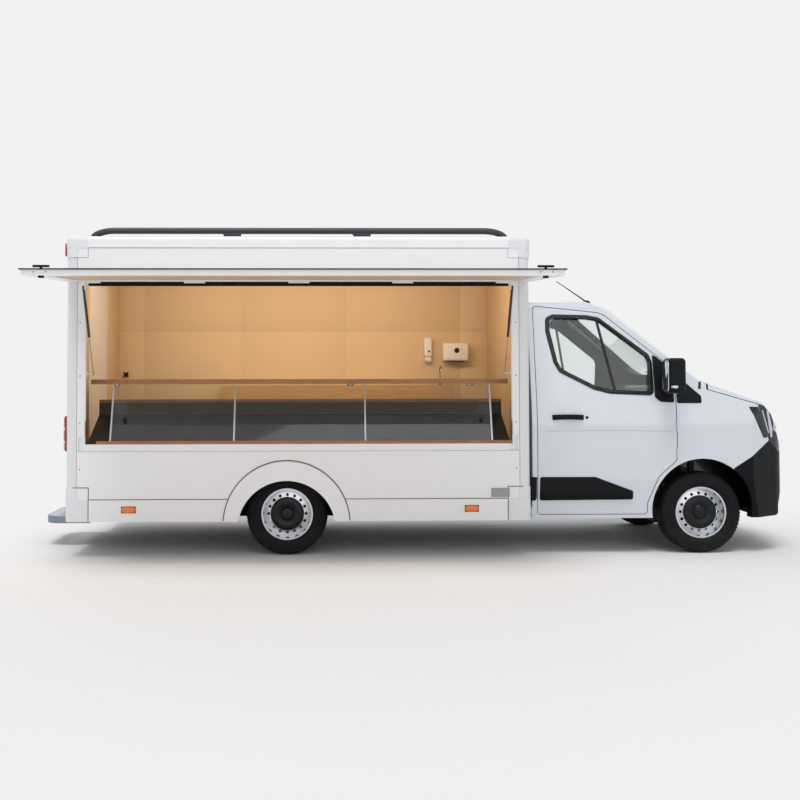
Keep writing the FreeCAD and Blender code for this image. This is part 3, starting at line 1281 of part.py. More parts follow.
def cab_profile():
    """Side outline of the cab's middle section as (x, z, rounding) corners."""
    start = CAB_SWEEP_X + CAB_SWEEP_BACK
    return [(start, CAB_BOTTOM, 0), (CHIN_X, CAB_BOTTOM, CHIN_ROUND / 2), (CHIN_X, CHIN_Z, CHIN_ROUND),
            (NOSE_X, NOSE_Z, NOSE_ROUND), (BUMPER_TOP_X, BUMPER_TOP_Z, NOSE_ROUND),
            (LAMP_TOP_X, LAMP_TOP_Z, NOSE_ROUND / 2), (BONNET_FRONT_X, BONNET_FRONT_Z, NOSE_ROUND / 2),
            (SCREEN_BASE_X, SCREEN_BASE_Z, SCREEN_BASE_ROUND), (SCREEN_TOP_X, SCREEN_TOP_Z,
                                                               SCREEN_TOP_ROUND),
            (ROOF_FRONT_X, ROOF_FRONT_Z, 0), (start, ROOF_REAR_Z, 0)]


def cab_plan():
    """Outline of the cab from above as (x, y, rounding) corners."""
    side = DOOR_HALF + DOOR_CORNER
    right = [(CAB_REAR, -side, 0), (WING_FRONT_X, -side, CORNER_ROUND),
             (CORNER_X, -CORNER_HALF, CORNER_ROUND), (CORNER_FRONT_X, -CORNER_FRONT_HALF, CORNER_ROUND)]
    left = [(x, -y, radius) for x, y, radius in reversed(right)]
    return right + [(NOSE_X + OVERRUN * 2, 0, 0)] + left


def cab_front():
    """Outline of the cab from the front as (y, z, rounding) corners."""
    left = [(SILL_HALF, CAB_BOTTOM - OVERRUN, 0), (DOOR_HALF, DOOR_LOW_Z, BODY_ROUND),
            (DOOR_HALF, DOOR_HIGH_Z, BODY_ROUND), (BELT_HALF, BELT_Z, BODY_ROUND),
            (ROOF_EDGE_HALF, ROOF_EDGE_Z, ROOF_EDGE_ROUND)]
    right = [(-y, z, radius) for y, z, radius in reversed(left)]
    return left + [(0, CROWN_Z, 0)] + right


@functools.lru_cache(maxsize=None)
def envelope(depth):
    """Solid form of the cab with its whole surface moved inwards by a depth."""
    face = outline(inset(cab_profile(), depth), lambda u, v: Vector(u, 0, v))
    pivot = Vector(CAB_SWEEP_X, 0, 0)
    face.rotate(pivot, Vector(0, 0, 1), -CAB_SWEEP_ANGLE)
    swept = face.revolve(pivot, Vector(0, 0, 1), CAB_SWEEP_ANGLE * 2)
    plan = plan_plate(inset(cab_plan(), depth), CAB_BOTTOM - OVERRUN, CROWN_Z + OVERRUN)
    front = front_plate(inset(cab_front(), depth), CAB_REAR - OVERRUN, NOSE_X + OVERRUN)
    return swept.common(plan).common(front)


def wall_between(outer, inner):
    """Layer of the cab's wall between two depths."""
    return envelope(outer).cut(envelope(inner))


def door_outline():
    """Edge of a cab door in side view."""
    return [(DOOR_REAR, DOOR_BOTTOM, DOOR_CORNER), (DOOR_TOE_X, DOOR_BOTTOM, DOOR_CORNER),
            (DOOR_TOE_X, DOOR_TOE_Z, DOOR_CORNER), (DOOR_KNEE_X, DOOR_KNEE_Z, DOOR_TOP_ROUND),
            (DOOR_FRONT, DOOR_ARCH_Z, DOOR_CORNER * 2), (DOOR_FRONT, DOOR_PILLAR_Z, DOOR_CORNER),
            (DOOR_TOP_X, DOOR_TOP_Z, DOOR_TOP_ROUND), (DOOR_REAR, DOOR_REAR_TOP_Z, DOOR_CORNER)]


def window_outline():
    """Edge of a side window in side view."""
    return [(WINDOW_KINK_X, WINDOW_BOTTOM, WINDOW_TOP_ROUND), (WINDOW_FRONT, WINDOW_BOTTOM, WINDOW_ROUND),
            (WINDOW_FRONT, WINDOW_PILLAR_Z, WINDOW_ROUND), (WINDOW_TOP_X, WINDOW_TOP, WINDOW_TOP_ROUND),
            (WINDOW_REAR, WINDOW_TOP, WINDOW_ROUND), (WINDOW_REAR_X, WINDOW_REAR_BOTTOM, WINDOW_ROUND)]


def left_prism(corners):
    """Side-view outline made solid through the left side of the cab."""
    return side_plate(corners, DOOR_INNER_Y, HALF_BOX + OVERRUN)


def cut_doors(shape):
    """Cut both door openings: wide through the skin, with a step for the seal behind it."""
    skin = left_prism(inset(door_outline(), -SHUT_GAP)).cut(envelope(SKIN))
    deep = left_prism(inset(door_outline(), SEAL_STEP / 3))
    for cutter in (skin, deep):
        shape = shape.cut(cutter).cut(mirrored(cutter))
    return shape


def left_door():
    """Door panel with its outer skin, narrower inner frame and window hole."""
    skin = wall_between(0, SKIN).common(left_prism(door_outline()))
    inner = wall_between(SKIN, CAB_WALL).common(left_prism(inset(door_outline(), SEAL_STEP)))
    return skin.fuse(inner).cut(left_prism(window_outline())).removeSplitter()


def left_door_glass():
    """Side window sheet."""
    return wall_between(GLASS_DEPTH, GLASS_DEPTH + GLASS).common(left_prism(window_outline()))


def door_axis():
    """Place of the left door's upright hinge line."""
    return DOOR_FRONT + SHUT_GAP / 2, DOOR_HALF + DOOR_PIN_RADIUS / 2


def door_hinges(side):
    """Hinges of a cab door."""
    x, y = door_axis()
    height = DOOR_REAR_TOP_Z - DOOR_BOTTOM
    return [hinge_parts(Vector(x, side * y, DOOR_BOTTOM + height * share), (0, 0, 1), KNUCKLE_LENGTH / 2,
                        DOOR_PIN_RADIUS, DOOR_KNUCKLE_RADIUS) for share in DOOR_HINGE_SHARES]


def bonnet_line(shift):
    """Corners of the joint between bonnet and wings, from the rear to beyond the nose."""
    slope = (BONNET_LINE_FRONT_Z - BONNET_LINE_MID_Z) / (NOSE_X - BONNET_LINE_MID_X)
    front = NOSE_X + OVERRUN * 2
    return [(FIREWALL_X, BONNET_LINE_REAR_Z + shift, 0), (BONNET_CORNER_X, BONNET_LINE_REAR_Z + shift, 0),
            (BONNET_LINE_MID_X, BONNET_LINE_MID_Z + shift, 0),
            (front, BONNET_LINE_MID_Z + slope * (front - BONNET_LINE_MID_X) + shift, 0)]


def bonnet_zone(shift, radius):
    """Space above the bonnet joint and ahead of a bowed line."""
    line = bonnet_line(shift)
    top = CROWN_Z + OVERRUN
    space = side_plate(line + [(line[-1][0], top, 0), (line[0][0], top, 0)], -HALF_BOX, HALF_BOX)
    drum = Part.makeCylinder(radius, CROWN_Z, Vector(CAB_SWEEP_X, 0, CAB_BOTTOM))
    drum = drum.fuse(box(FIREWALL_X - OVERRUN, CAB_SWEEP_X + radius, -HALF_BOX, HALF_BOX, top, CROWN_Z * 2))
    return space.cut(drum)


def bonnet_corner(side, behind, gap):
    """Block at the bonnet's rear corner, behind its hinges' axis, that stays with the wing."""
    return sided(FIREWALL_X, BONNET_HINGE_X - behind, BONNET_CORNER_Y + gap, HALF_BOX,
                 BONNET_LINE_REAR_Z - OVERRUN, CROWN_Z, side)


def below_bonnet():
    """Space of wings, lamps, grille and bumper, behind which the cab's own shell begins."""
    line = bonnet_line(0)
    toe = DOOR_TOE_X + SHUT_GAP
    low = CAB_BOTTOM - OVERRUN
    corners = line[::-1] + [(FIREWALL_X, DOOR_ARCH_Z + OVERRUN, 0), (toe, DOOR_KNEE_Z + OVERRUN, 0),
                            (toe, low, 0), (line[-1][0], low, 0)]
    return side_plate(corners, -HALF_BOX, HALF_BOX)


def lamp_zone():
    """Space of the headlamps and the grille between them."""
    front = NOSE_X + OVERRUN * 2
    corners = [(LAMP_REAR_X, BONNET_LINE_MID_Z + OVERRUN, 0), (front, BONNET_LINE_MID_Z + OVERRUN, 0),
               (front, BUMPER_TOP_Z, 0), (LAMP_FOOT_X, BUMPER_TOP_Z, 0), (LAMP_LOW_X, LAMP_LOW_Z, 0),
               (LAMP_REAR_X, BONNET_LINE_MID_Z, 0)]
    return side_plate(corners, -HALF_BOX, HALF_BOX).common(below_bonnet())


def bumper_zone():
    """Space of the front bumper."""
    front = NOSE_X + OVERRUN * 2
    low = CAB_BOTTOM - OVERRUN
    corners = [(BUMPER_ARCH_X, BUMPER_ARCH_Z, 0), (LAMP_LOW_X, LAMP_LOW_Z, 0),
               (LAMP_FOOT_X, BUMPER_TOP_Z, 0), (front, BUMPER_TOP_Z, 0), (front, low, 0),
               (BUMPER_ARCH_X, low, 0)]
    return side_plate(corners, -HALF_BOX, HALF_BOX)


def cut_wheelhouses(shape):
    """Cut the front wheel arches and the open underside between the sills."""
    arch = arch_drum(0)
    shape = shape.cut(arch).cut(mirrored(arch))
    low = CAB_BOTTOM - OVERRUN
    front = WHEELBASE - FRONT_ARCH_RADIUS
    shape = shape.cut(box(CAB_REAR - OVERRUN, front, -SILL_INNER_Y, SILL_INNER_Y, low, FRAME_TOP))
    return shape.cut(box(front, FRONT_BELLY_END, -SILL_INNER_Y, SILL_INNER_Y, low, FRONT_BELLY_TOP))


def screen_prism():
    """Front-view outline of the windscreen made solid from the cab's middle forward."""
    corners = [(-SCREEN_OPEN_BASE_HALF, SCREEN_OPEN_BASE_Z, SCREEN_OPEN_ROUND),
               (SCREEN_OPEN_BASE_HALF, SCREEN_OPEN_BASE_Z, SCREEN_OPEN_ROUND),
               (SCREEN_OPEN_TOP_HALF, SCREEN_OPEN_TOP_Z, SCREEN_OPEN_ROUND),
               (-SCREEN_OPEN_TOP_HALF, SCREEN_OPEN_TOP_Z, SCREEN_OPEN_ROUND)]
    return front_plate(corners, (CAB_REAR + ROOF_FRONT_X) / 2, NOSE_X)


def windscreen():
    """Bowed windscreen sheet."""
    return wall_between(GLASS_DEPTH, GLASS_DEPTH + GLASS).common(screen_prism())


def cab_shell():
    """Roof, pillars, sills and back wall with floor, firewall, cowl, inner wings and seat stands."""
    shell = wall_between(0, CAB_WALL)
    cowl_radius = BONNET_REAR_RADIUS - BONNET_REAR_GAP
    shell = shell.cut(below_bonnet()).cut(bonnet_zone(-SHUT_GAP, cowl_radius)).cut(screen_prism())
    shell = cut_doors(cut_wheelhouses(shell))
    cowl_top = BONNET_LINE_REAR_Z + COWL_WALL
    clear = envelope(CAB_WALL + SHUT_GAP)
    wide = HALF_BOX
    rear = CAB_REAR + CAB_WALL / 2
    floor = box(rear, FIREWALL_X + FIREWALL_WALL, -SILL_INNER_Y, SILL_INNER_Y, FRAME_TOP,
                FRAME_TOP + CAB_FLOOR)
    firewall = box(FIREWALL_X, FIREWALL_X + FIREWALL_WALL, -wide, wide, FRAME_TOP, cowl_top).common(clear)
    deck = box(FIREWALL_X, DOOR_FRONT + SHUT_GAP, -wide, wide, BONNET_LINE_REAR_Z, cowl_top).common(clear)
    drum = Part.makeCylinder(cowl_radius, COWL_WALL, Vector(CAB_SWEEP_X, 0, BONNET_LINE_REAR_Z))
    ahead = box(DOOR_FRONT + SHUT_GAP, NOSE_X, -wide, wide, BONNET_LINE_REAR_Z, cowl_top)
    ahead = ahead.common(envelope(SKIN)).common(drum)
    pieces = [shell, floor, firewall, deck, ahead]
    for side in (LEFT, RIGHT):
        pieces.append(sided(CAB_REAR + CAB_WALL, DOOR_TOE_X, SILL_INNER_Y, SILL_INNER_Y + SILL_PLATE,
                            CAB_BOTTOM + CAB_WALL / 2, FRAME_TOP + CAB_FLOOR, side))
        pieces.append(sided(FIREWALL_X, FRAME_FRONT, INNER_WING_Y, INNER_WING_Y + INNER_WING_WALL,
                            FRAME_TOP, INNER_WING_TOP, side))
        pieces.append(sided(WHEELBASE - TOWER_HALF, WHEELBASE + TOWER_HALF, INNER_WING_Y,
                            STEER_AXIS_Y + TOWER_HALF, INNER_WING_TOP - TOWER_PLATE, INNER_WING_TOP,
                            side))
    pieces += [seat_stand(y0, y1) for y0, y1 in seat_places()]
    arch = arch_drum(0)
    inside = fused(*pieces).cut(arch).cut(mirrored(arch))
    liner = arch_drum(LINER_WALL).cut(arch)
    liner = liner.common(box(WHEELBASE - FRONT_ARCH_RADIUS * 2, FIREWALL_X + FIREWALL_WALL, 0, HALF_BOX,
                             FRAME_TOP, WHEELBASE)).common(clear)
    return fused(inside, liner, mirrored(liner))


def arch_drum(extra):
    """Round space of the left front wheelhouse, widened by an extra."""
    return rod(Vector(WHEELBASE, INNER_WING_Y + INNER_WING_WALL - extra, FRONT_ARCH_Z),
               Vector(WHEELBASE, HALF_BOX, FRONT_ARCH_Z), FRONT_ARCH_RADIUS + extra)


def seat_places():
    """Widths of the driver's seat and the bench beside it."""
    driver = STEERING_Y - DRIVER_SEAT_WIDTH / 2
    return ((driver, driver + DRIVER_SEAT_WIDTH), (driver - SEAT_GAP - BENCH_WIDTH, driver - SEAT_GAP))


def seat_stand(y0, y1):
    """Closed stand under a seat."""
    return box(SEAT_REAR_X + PEDESTAL_SIDE, SEAT_FRONT_X - PEDESTAL_SIDE, y0 + PEDESTAL_SIDE,
               y1 - PEDESTAL_SIDE, FRAME_TOP + CAB_FLOOR / 2, SEAT_BASE)


def seat(y0, y1):
    """Cushion and leaning back in one piece."""
    cushion_top = SEAT_BASE + SEAT_CUSHION
    corners = [(SEAT_REAR_X, SEAT_BASE, 0), (SEAT_FRONT_X, SEAT_BASE, SEAT_ROUND),
               (SEAT_FRONT_X, cushion_top, SEAT_ROUND),
               (SEAT_REAR_X + SEAT_BACK_THICKNESS, cushion_top, SEAT_ROUND / 2),
               (SEAT_REAR_X + SEAT_BACK_THICKNESS - SEAT_BACK_LEAN, SEAT_BACK_TOP, SEAT_ROUND),
               (SEAT_REAR_X - SEAT_BACK_LEAN, SEAT_BACK_TOP, SEAT_ROUND)]
    return side_plate(corners, y0, y1)


def headrest(y):
    """Headrest on top of a seat back, centred at a width."""
    x0 = SEAT_REAR_X - SEAT_BACK_LEAN + SEAT_ROUND / 2
    half = SEAT_BACK_THICKNESS - SEAT_ROUND / 2
    rest = box(x0, x0 + SEAT_BACK_THICKNESS - SEAT_ROUND, y - half, y + half,
               SEAT_BACK_TOP + SEAT_ROUND, HEADREST_TOP)
    posts = [rod(Vector(x0 + SEAT_ROUND, y + shift, SEAT_BACK_TOP - SEAT_ROUND),
                 Vector(x0 + SEAT_ROUND, y + shift, SEAT_BACK_TOP + SEAT_ROUND * 2), SEAT_ROUND / 4)
             for shift in (-half / 2, half / 2)]
    return fused(rest, *posts)


def cab_seats():
    """Driver's seat and a bench for two, with headrests."""
    driver, bench = seat_places()
    third = BENCH_WIDTH / 4
    first = fused(seat(*driver), headrest(STEERING_Y))
    second = fused(seat(*bench), headrest(bench[0] + third), headrest(bench[1] - third))
    return group(first, second)


def dashboard():
    """Dashboard across the cab with the steering column and wheel."""
    back = FIREWALL_X - FACE_CLEARANCE
    body = side_plate([(DASH_REAR_X, DASH_BOTTOM, DASH_ROUND), (back, DASH_BOTTOM, 0), (back, DASH_TOP, 0),
                       (DASH_REAR_X + DASH_ROUND * 2, DASH_TOP, DASH_ROUND),
                       (DASH_REAR_X, DASH_TOP - DASH_ROUND * 2, DASH_ROUND)], -DASH_HALF, DASH_HALF)
    tilt = math.radians(STEERING_TILT)
    centre = Vector(STEERING_X, STEERING_Y, STEERING_Z)
    along = Vector(math.cos(tilt), 0, -math.sin(tilt))
    upward = Vector(math.sin(tilt), 0, math.cos(tilt)) * STEERING_WHEEL_RADIUS
    across = Vector(0, STEERING_WHEEL_RADIUS, 0)
    wheel = Part.makeTorus(STEERING_WHEEL_RADIUS, STEERING_RIM_RADIUS, centre, along)
    column = rod(centre, centre + along * COLUMN_LENGTH, COLUMN_RADIUS)
    hub = rod(centre - along * STEERING_RIM_RADIUS, centre + along * COLUMN_RADIUS, COLUMN_RADIUS * 2)
    spokes = [rod(centre, centre + reach, STEERING_RIM_RADIUS * 2 / 3)
              for reach in (across, across * -1, upward * -1)]
    return fused(body, column, hub, wheel, *spokes)


def front_wings():
    """Both front wings, from the door to the lamp and the bumper."""
    space = below_bonnet()
    for side in (LEFT, RIGHT):
        corner = bonnet_corner(side, BONNET_CORNER_SWING, SHUT_GAP)
        space = space.fuse(bonnet_zone(0, BONNET_REAR_RADIUS).common(corner))
    wings = wall_between(0, CAB_WALL).common(space)
    wings = wings.cut(lamp_zone()).cut(bumper_zone())
    wings = cut_doors(cut_wheelhouses(wings))
    return group(*[solid for solid in wings.Solids])


def bonnet():
    """Bonnet panel with its two hinge arms."""
    panel = wall_between(0, BONNET_WALL).common(bonnet_zone(SHUT_GAP, BONNET_REAR_RADIUS))
    for side in (LEFT, RIGHT):
        panel = panel.cut(bonnet_corner(side, 0, 0))
        half = KNUCKLE_LENGTH / 2 - KNUCKLE_GAP
        panel = panel.fuse(sided(BONNET_HINGE_X, BONNET_HINGE_X + BONNET_ARM_LENGTH, BONNET_HINGE_Y - half,
                                 BONNET_HINGE_Y + half, BONNET_HINGE_Z - BONNET_ARM_THICKNESS,
                                 BONNET_HINGE_Z, side))
    return panel


def bonnet_hinges():
    """Two hinges behind the bonnet's rear edge."""
    return [hinge_parts(Vector(BONNET_HINGE_X, side * BONNET_HINGE_Y, BONNET_HINGE_Z), (0, 1, 0),
                        KNUCKLE_LENGTH, DOOR_PIN_RADIUS, DOOR_KNUCKLE_RADIUS) for side in (LEFT, RIGHT)]


def grille_opening(low, high, half, bars, bar):
    """Slots between horizontal bars, as a group of cutters through the nose."""
    pitch = (high - low) / bars
    return [box(LAMP_FOOT_X - OVERRUN, NOSE_X + OVERRUN, -half, half, low + pitch * index,
                low + pitch * (index + 1) - bar) for index in range(bars)]


def grille():
    """Upper grille with horizontal bars between the headlamps."""
    panel = wall_between(0, GRILLE_DEPTH).common(lamp_zone())
    panel = panel.common(box(LAMP_REAR_X, NOSE_X + OVERRUN, -LAMP_INNER_Y, LAMP_INNER_Y, CAB_BOTTOM,
                             CROWN_Z))
    for slot in grille_opening(BUMPER_TOP_Z + GRILLE_BAR * 2, LAMP_TOP_Z, LAMP_INNER_Y - GRILLE_BAR * 2,
                               GRILLE_BARS, GRILLE_BAR):
        panel = panel.cut(slot)
    return panel


def headlamps():
    """Both headlamps, wrapped round the corners."""
    lamps = wall_between(0, CAB_WALL).common(lamp_zone())
    return group(*lamps.cut(box(LAMP_REAR_X, NOSE_X + OVERRUN, -LAMP_INNER_Y, LAMP_INNER_Y, CAB_BOTTOM,
                                CROWN_Z)).Solids)


def front_bumper():
    """Front bumper with its air intake and the socket of the towing eye."""
    bumper = cut_wheelhouses(wall_between(0, CAB_WALL).common(bumper_zone()))
    for slot in grille_opening(INTAKE_BOTTOM, INTAKE_TOP, INTAKE_HALF, GRILLE_BARS, GRILLE_BAR):
        bumper = bumper.cut(slot)
    face_x = tow_face_x()
    boss = rod(Vector(face_x - TOW_BOSS_LENGTH - CAB_WALL, TOW_HOLE_Y, TOW_HOLE_Z),
               Vector(face_x, TOW_HOLE_Y, TOW_HOLE_Z), TOW_BOSS_RADIUS)
    hole = rod(Vector(face_x - TOW_BOSS_LENGTH, TOW_HOLE_Y, TOW_HOLE_Z),
               Vector(face_x + OVERRUN, TOW_HOLE_Y, TOW_HOLE_Z), TOW_HOLE_RADIUS)
    recess = rod(Vector(face_x, TOW_HOLE_Y, TOW_HOLE_Z), Vector(NOSE_X + OVERRUN, TOW_HOLE_Y, TOW_HOLE_Z),
                 TOW_BOSS_RADIUS)
    return bumper.fuse(boss).cut(recess).cut(hole).removeSplitter()


def tow_face_x():
    """Flat face of the towing eye's socket, set back from the bowed bumper."""
    reach = NOSE_X - CAB_SWEEP_X
    return CAB_SWEEP_X + math.sqrt(reach ** 2 - TOW_HOLE_Y ** 2) - TOW_BOSS_LENGTH


def left_mirror():
    """Mirror housing on an arm that seats on the door."""
    x0 = MIRROR_X - MIRROR_DEPTH / 2
    housing = box(x0, x0 + MIRROR_DEPTH, MIRROR_OUT, MIRROR_OUT + MIRROR_WIDTH, MIRROR_Z,
                  MIRROR_Z + MIRROR_HEIGHT)
    housing = housing.makeFillet(MIRROR_ROUND, housing.Edges)
    arm_z = MIRROR_Z + MIRROR_ROUND
    arm = box(MIRROR_X - MIRROR_ARM_LENGTH / 2, MIRROR_X + MIRROR_ARM_LENGTH / 2, MIRROR_ARM_INNER_Y,
              MIRROR_OUT + MIRROR_ROUND, arm_z, arm_z + MIRROR_ARM_HEIGHT)
    return fused(housing, arm.cut(envelope(0)))


def wheels():
    """The four wheels with their places."""
    return {f"{end}_{name}": (x, side) for end, x in (("rear", 0), ("front", WHEELBASE))
            for name, side in (("left", LEFT), ("right", RIGHT))}


def cab_nodes():
    """Pieces of the cab by name."""
    wings, shell, panel = front_wings(), cab_shell(), bonnet()
    left, right = left_door(), mirrored(left_door())
    wings, left = hang(wings, left, door_hinges(LEFT))
    wings, right = hang(wings, right, door_hinges(RIGHT))
    shell, panel = hang(shell, panel, bonnet_hinges())
    glass, mirror = left_door_glass(), left_mirror()
    return {"cab_shell": shell, "front_wings": wings, "bonnet": panel, "door_left": left,
            "door_right": right, "door_glass_left": glass, "door_glass_right": mirrored(glass),
            "mirror_left": mirror, "mirror_right": mirrored(mirror), "windscreen": windscreen(),
            "front_bumper": front_bumper(), "grille": grille(), "headlamps": headlamps(),
            "cab_seats": cab_seats(), "dashboard": dashboard()}


def box_nodes():
    """Pieces of the sales box by name."""
    rear, door = hang(rear_wall(), rear_door_block(0, 0), rear_hinges())
    wall, hatch = hang(sales_wall(), hatch_panel(), hatch_hinges())
    return {"box_floor": box_floor(), "box_front_wall": front_wall(), "box_far_wall": far_wall(),
            "box_rear_wall": rear, "rear_door": door, "sales_wall": wall, "hatch_panel": hatch,
            "box_roof": box_roof(), "corner_posts": corner_posts(), "corner_caps": corner_caps(),
            "side_skirts": skirts(), "arch_flares": arch_flares(), "rear_lamps": rear_lamps(),
            "rear_step": rear_step(), "roof_rails": roof_rails(), "hatch_seal": hatch_seal(),
            "hatch_latches": hatch_latches(), "counter_wood": counter_wood(),
            "display_case": display_case(), "display_glass": display_glass(),
            "display_posts": display_posts(), "back_counter": back_counter(),
            "strut_rear_cylinder": strut_cylinder(OPENING_REAR, 1),
            "strut_rear_rod": strut_rod(OPENING_REAR, 1),
            "strut_front_cylinder": strut_cylinder(OPENING_FRONT, -1),
            "strut_front_rod": strut_rod(OPENING_FRONT, -1)}


def chassis_nodes():
    """Pieces under the body by name."""
    nodes = {"chassis_frame": chassis_frame(), "rear_axle": rear_axle(),
             "front_suspension": front_suspension(), "engine_block": engine_block(),
             "knuckle_left": knuckle(LEFT), "knuckle_right": knuckle(RIGHT)}
    for name, (x, side) in wheels().items():
        nodes[f"tyre_{name}"] = tyre(x, side)
        nodes[f"rim_{name}"] = rim(x, side)
    return nodes


def middle_shift():
    """Move that puts the origin on the ground under the middle of the whole vehicle."""
    rear = BOX_REAR - STEP_LENGTH
    droop = math.radians(HATCH_DROOP)
    reach = HATCH_EDGE_GAP + HATCH_REACH + HATCH_SEAL_LIP
    right = HINGE_Y - reach * math.cos(droop)
    left = MIRROR_OUT + MIRROR_WIDTH
    return Vector(-(rear + NOSE_X) / 2, -(right + left) / 2, 0)


def main():
    """Build every piece and write one file for each."""
    os.makedirs("parts", exist_ok=True)
    shift = middle_shift()
    for nodes in (chassis_nodes(), box_nodes(), cab_nodes()):
        for name, shape in nodes.items():
            shape.translate(shift)
            shape.exportStep(f"parts/{name}.step")
            bound = shape.BoundBox
            print(f"{name}: {len(shape.Solids)} solids, valid {shape.isValid()}, "
                  f"x {bound.XMin:.1f} {bound.XMax:.1f} y {bound.YMin:.1f} {bound.YMax:.1f} "
                  f"z {bound.ZMin:.1f} {bound.ZMax:.1f}")


if __name__ == "__main__":
    main()
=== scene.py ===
"""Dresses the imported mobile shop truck: finishes, small fittings, camera and light.

Every length is in metres in the truck's own frame: X forward from the rear axle, Y to the left,
Z up from the ground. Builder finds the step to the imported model's frame.
"""

import logging
import math
from dataclasses import dataclass
from enum import Enum
from typing import Callable, Iterable, Sequence

import bmesh
import bpy
from mathutils import Matrix, Vector
from mathutils.bvhtree import BVHTree
from mathutils.geometry import delaunay_2d_cdt

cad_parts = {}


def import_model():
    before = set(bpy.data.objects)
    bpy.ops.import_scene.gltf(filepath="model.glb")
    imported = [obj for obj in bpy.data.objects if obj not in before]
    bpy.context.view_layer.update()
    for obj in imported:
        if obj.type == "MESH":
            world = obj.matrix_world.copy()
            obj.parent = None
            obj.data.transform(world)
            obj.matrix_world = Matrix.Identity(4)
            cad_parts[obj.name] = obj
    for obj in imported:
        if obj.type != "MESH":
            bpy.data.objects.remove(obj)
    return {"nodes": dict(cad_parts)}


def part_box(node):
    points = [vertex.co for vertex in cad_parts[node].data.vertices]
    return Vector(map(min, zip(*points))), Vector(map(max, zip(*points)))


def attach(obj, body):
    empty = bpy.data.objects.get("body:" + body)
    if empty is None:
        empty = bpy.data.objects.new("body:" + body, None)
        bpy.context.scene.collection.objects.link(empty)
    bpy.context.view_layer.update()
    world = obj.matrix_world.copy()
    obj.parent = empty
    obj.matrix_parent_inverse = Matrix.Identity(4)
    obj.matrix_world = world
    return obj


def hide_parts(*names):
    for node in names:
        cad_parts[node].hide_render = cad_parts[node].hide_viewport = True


LOG = logging.getLogger("truck")
Point = tuple[float, float, float]
Spot = tuple[float, float]
Outline = Sequence[Spot]
Lay = Callable[[float, float], tuple[Vector, Vector]]
Mesh = bmesh.types.BMesh
Vert = bmesh.types.BMVert
Tree = bpy.types.NodeTree
Socket = bpy.types.NodeSocket
MM = 0.001
AHEAD, ASTERN = Vector((1, 0, 0)), Vector((-1, 0, 0))
LEFTWARD, RIGHTWARD = Vector((0, 1, 0)), Vector((0, -1, 0))
UP, DOWN = Vector((0, 0, 1)), Vector((0, 0, -1))
# Step from the truck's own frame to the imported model's; Builder sets it.
SHIFT = Vector((0.0, 0.0, 0.0))


class Side(Enum):
    """Side of the truck, with its sign along Y."""
    LEFT = 1
    RIGHT = -1

    @property
    def word(self) -> str:
        """Word for this side in names."""
        return self.name.lower()

    @property
    def out(self) -> Vector:
        """Direction out of this flank."""
        return Vector((0, self.value, 0))


def linear(hex_code: str) -> tuple[float, float, float, float]:
    """Turn an sRGB hex colour into the linear values that shaders take.

    Args:
        hex_code: Colour such as "#aabbcc".
    Returns:
        Linear red, green, blue and an alpha of one.
    """
    parts = [int(hex_code[i:i + 2], 16) / 255 for i in (1, 3, 5)]
    levels = [c / 12.92 if c <= 0.04045 else ((c + 0.055) / 1.055) ** 2.4 for c in parts]
    return (levels[0], levels[1], levels[2], 1.0)


def per_metre(millimetres: float) -> float:
    """Noise scale whose features are about this many millimetres wide."""
    return 1.0 / (millimetres * MM)


def add_node(tree: Tree, kind: str, settings: dict | None = None,
             links: dict | None = None) -> bpy.types.Node:
    """Add a shader node, set its fields and sockets, and link its inputs.

    Args:
        tree: Node tree of the material.
        kind: Blender's type name of the node.
        settings: Socket name or attribute to value.
        links: Input name or index to the output socket that feeds it.
    Returns:
        The new node.
    """
    node = tree.nodes.new(kind)
    for name, value in (settings or {}).items():
        if isinstance(name, int) or name in node.inputs:
            node.inputs[name].default_value = value
        else:
            setattr(node, name, value)
    for name, source in (links or {}).items():
        tree.links.new(source, node.inputs[name])
    return node


def maths(tree: Tree, operation: str, *terms: Socket | float | Point,
          kind: str = "ShaderNodeMath") -> Socket:
    """Add a math node over sockets and constants.

    Args:
        tree: Node tree of the material.
        operation: Blender's name of the operation.
        terms: Operands in order: sockets to link, or values.
        kind: Node type, plain or vector.
    Returns:
        The output that the operation fills.
    """
    node = add_node(tree, kind, {"operation": operation})
    for index, term in enumerate(terms):
        if isinstance(term, Socket):
            tree.links.new(term, node.inputs[index])
        else:
            node.inputs[index].default_value = term
    single = kind == "ShaderNodeMath" or operation in ("DOT_PRODUCT", "LENGTH")
    return node.outputs["Value" if single else "Vector"]


def vectors(tree: Tree, operation: str, *terms: Socket | Point) -> Socket:
    """Add a vector math node over sockets and points."""
    return maths(tree, operation, *terms, kind="ShaderNodeVectorMath")


def noise(tree: Tree, place: Socket, size_mm: float, detail: float, distortion: float = 0.0) -> Socket:
    """Add a noise whose features are about so many millimetres wide."""
    settings = {"Scale": per_metre(size_mm), "Detail": detail, "Distortion": distortion}
    return add_node(tree, "ShaderNodeTexNoise", settings, {"Vector": place}).outputs["Fac"]


def ramp(tree: Tree, value: Socket, low: tuple[float, str], high: tuple[float, str]) -> Socket:
    """Turn a value into a colour between two ends.

    Args:
        tree: Node tree of the material.
        value: Value that picks the colour.
        low: Position and hex colour of the lower end.
        high: Position and hex colour of the upper end.
    Returns:
        Colour output.
    """
    node = add_node(tree, "ShaderNodeValToRGB", links={"Fac": value})
    for element, (position, color) in zip(node.color_ramp.elements, (low, high)):
        element.position = position
        element.color = linear(color)
    return node.outputs["Color"]


def mixed(tree: Tree, share: Socket, base: Socket, color: str) -> Socket:
    """Lay a hex colour over a base; the node's colour sockets are found by index."""
    return add_node(tree, "ShaderNodeMix", {"data_type": "RGBA", 7: linear(color)},
                    {0: share, 6: base}).outputs[2]


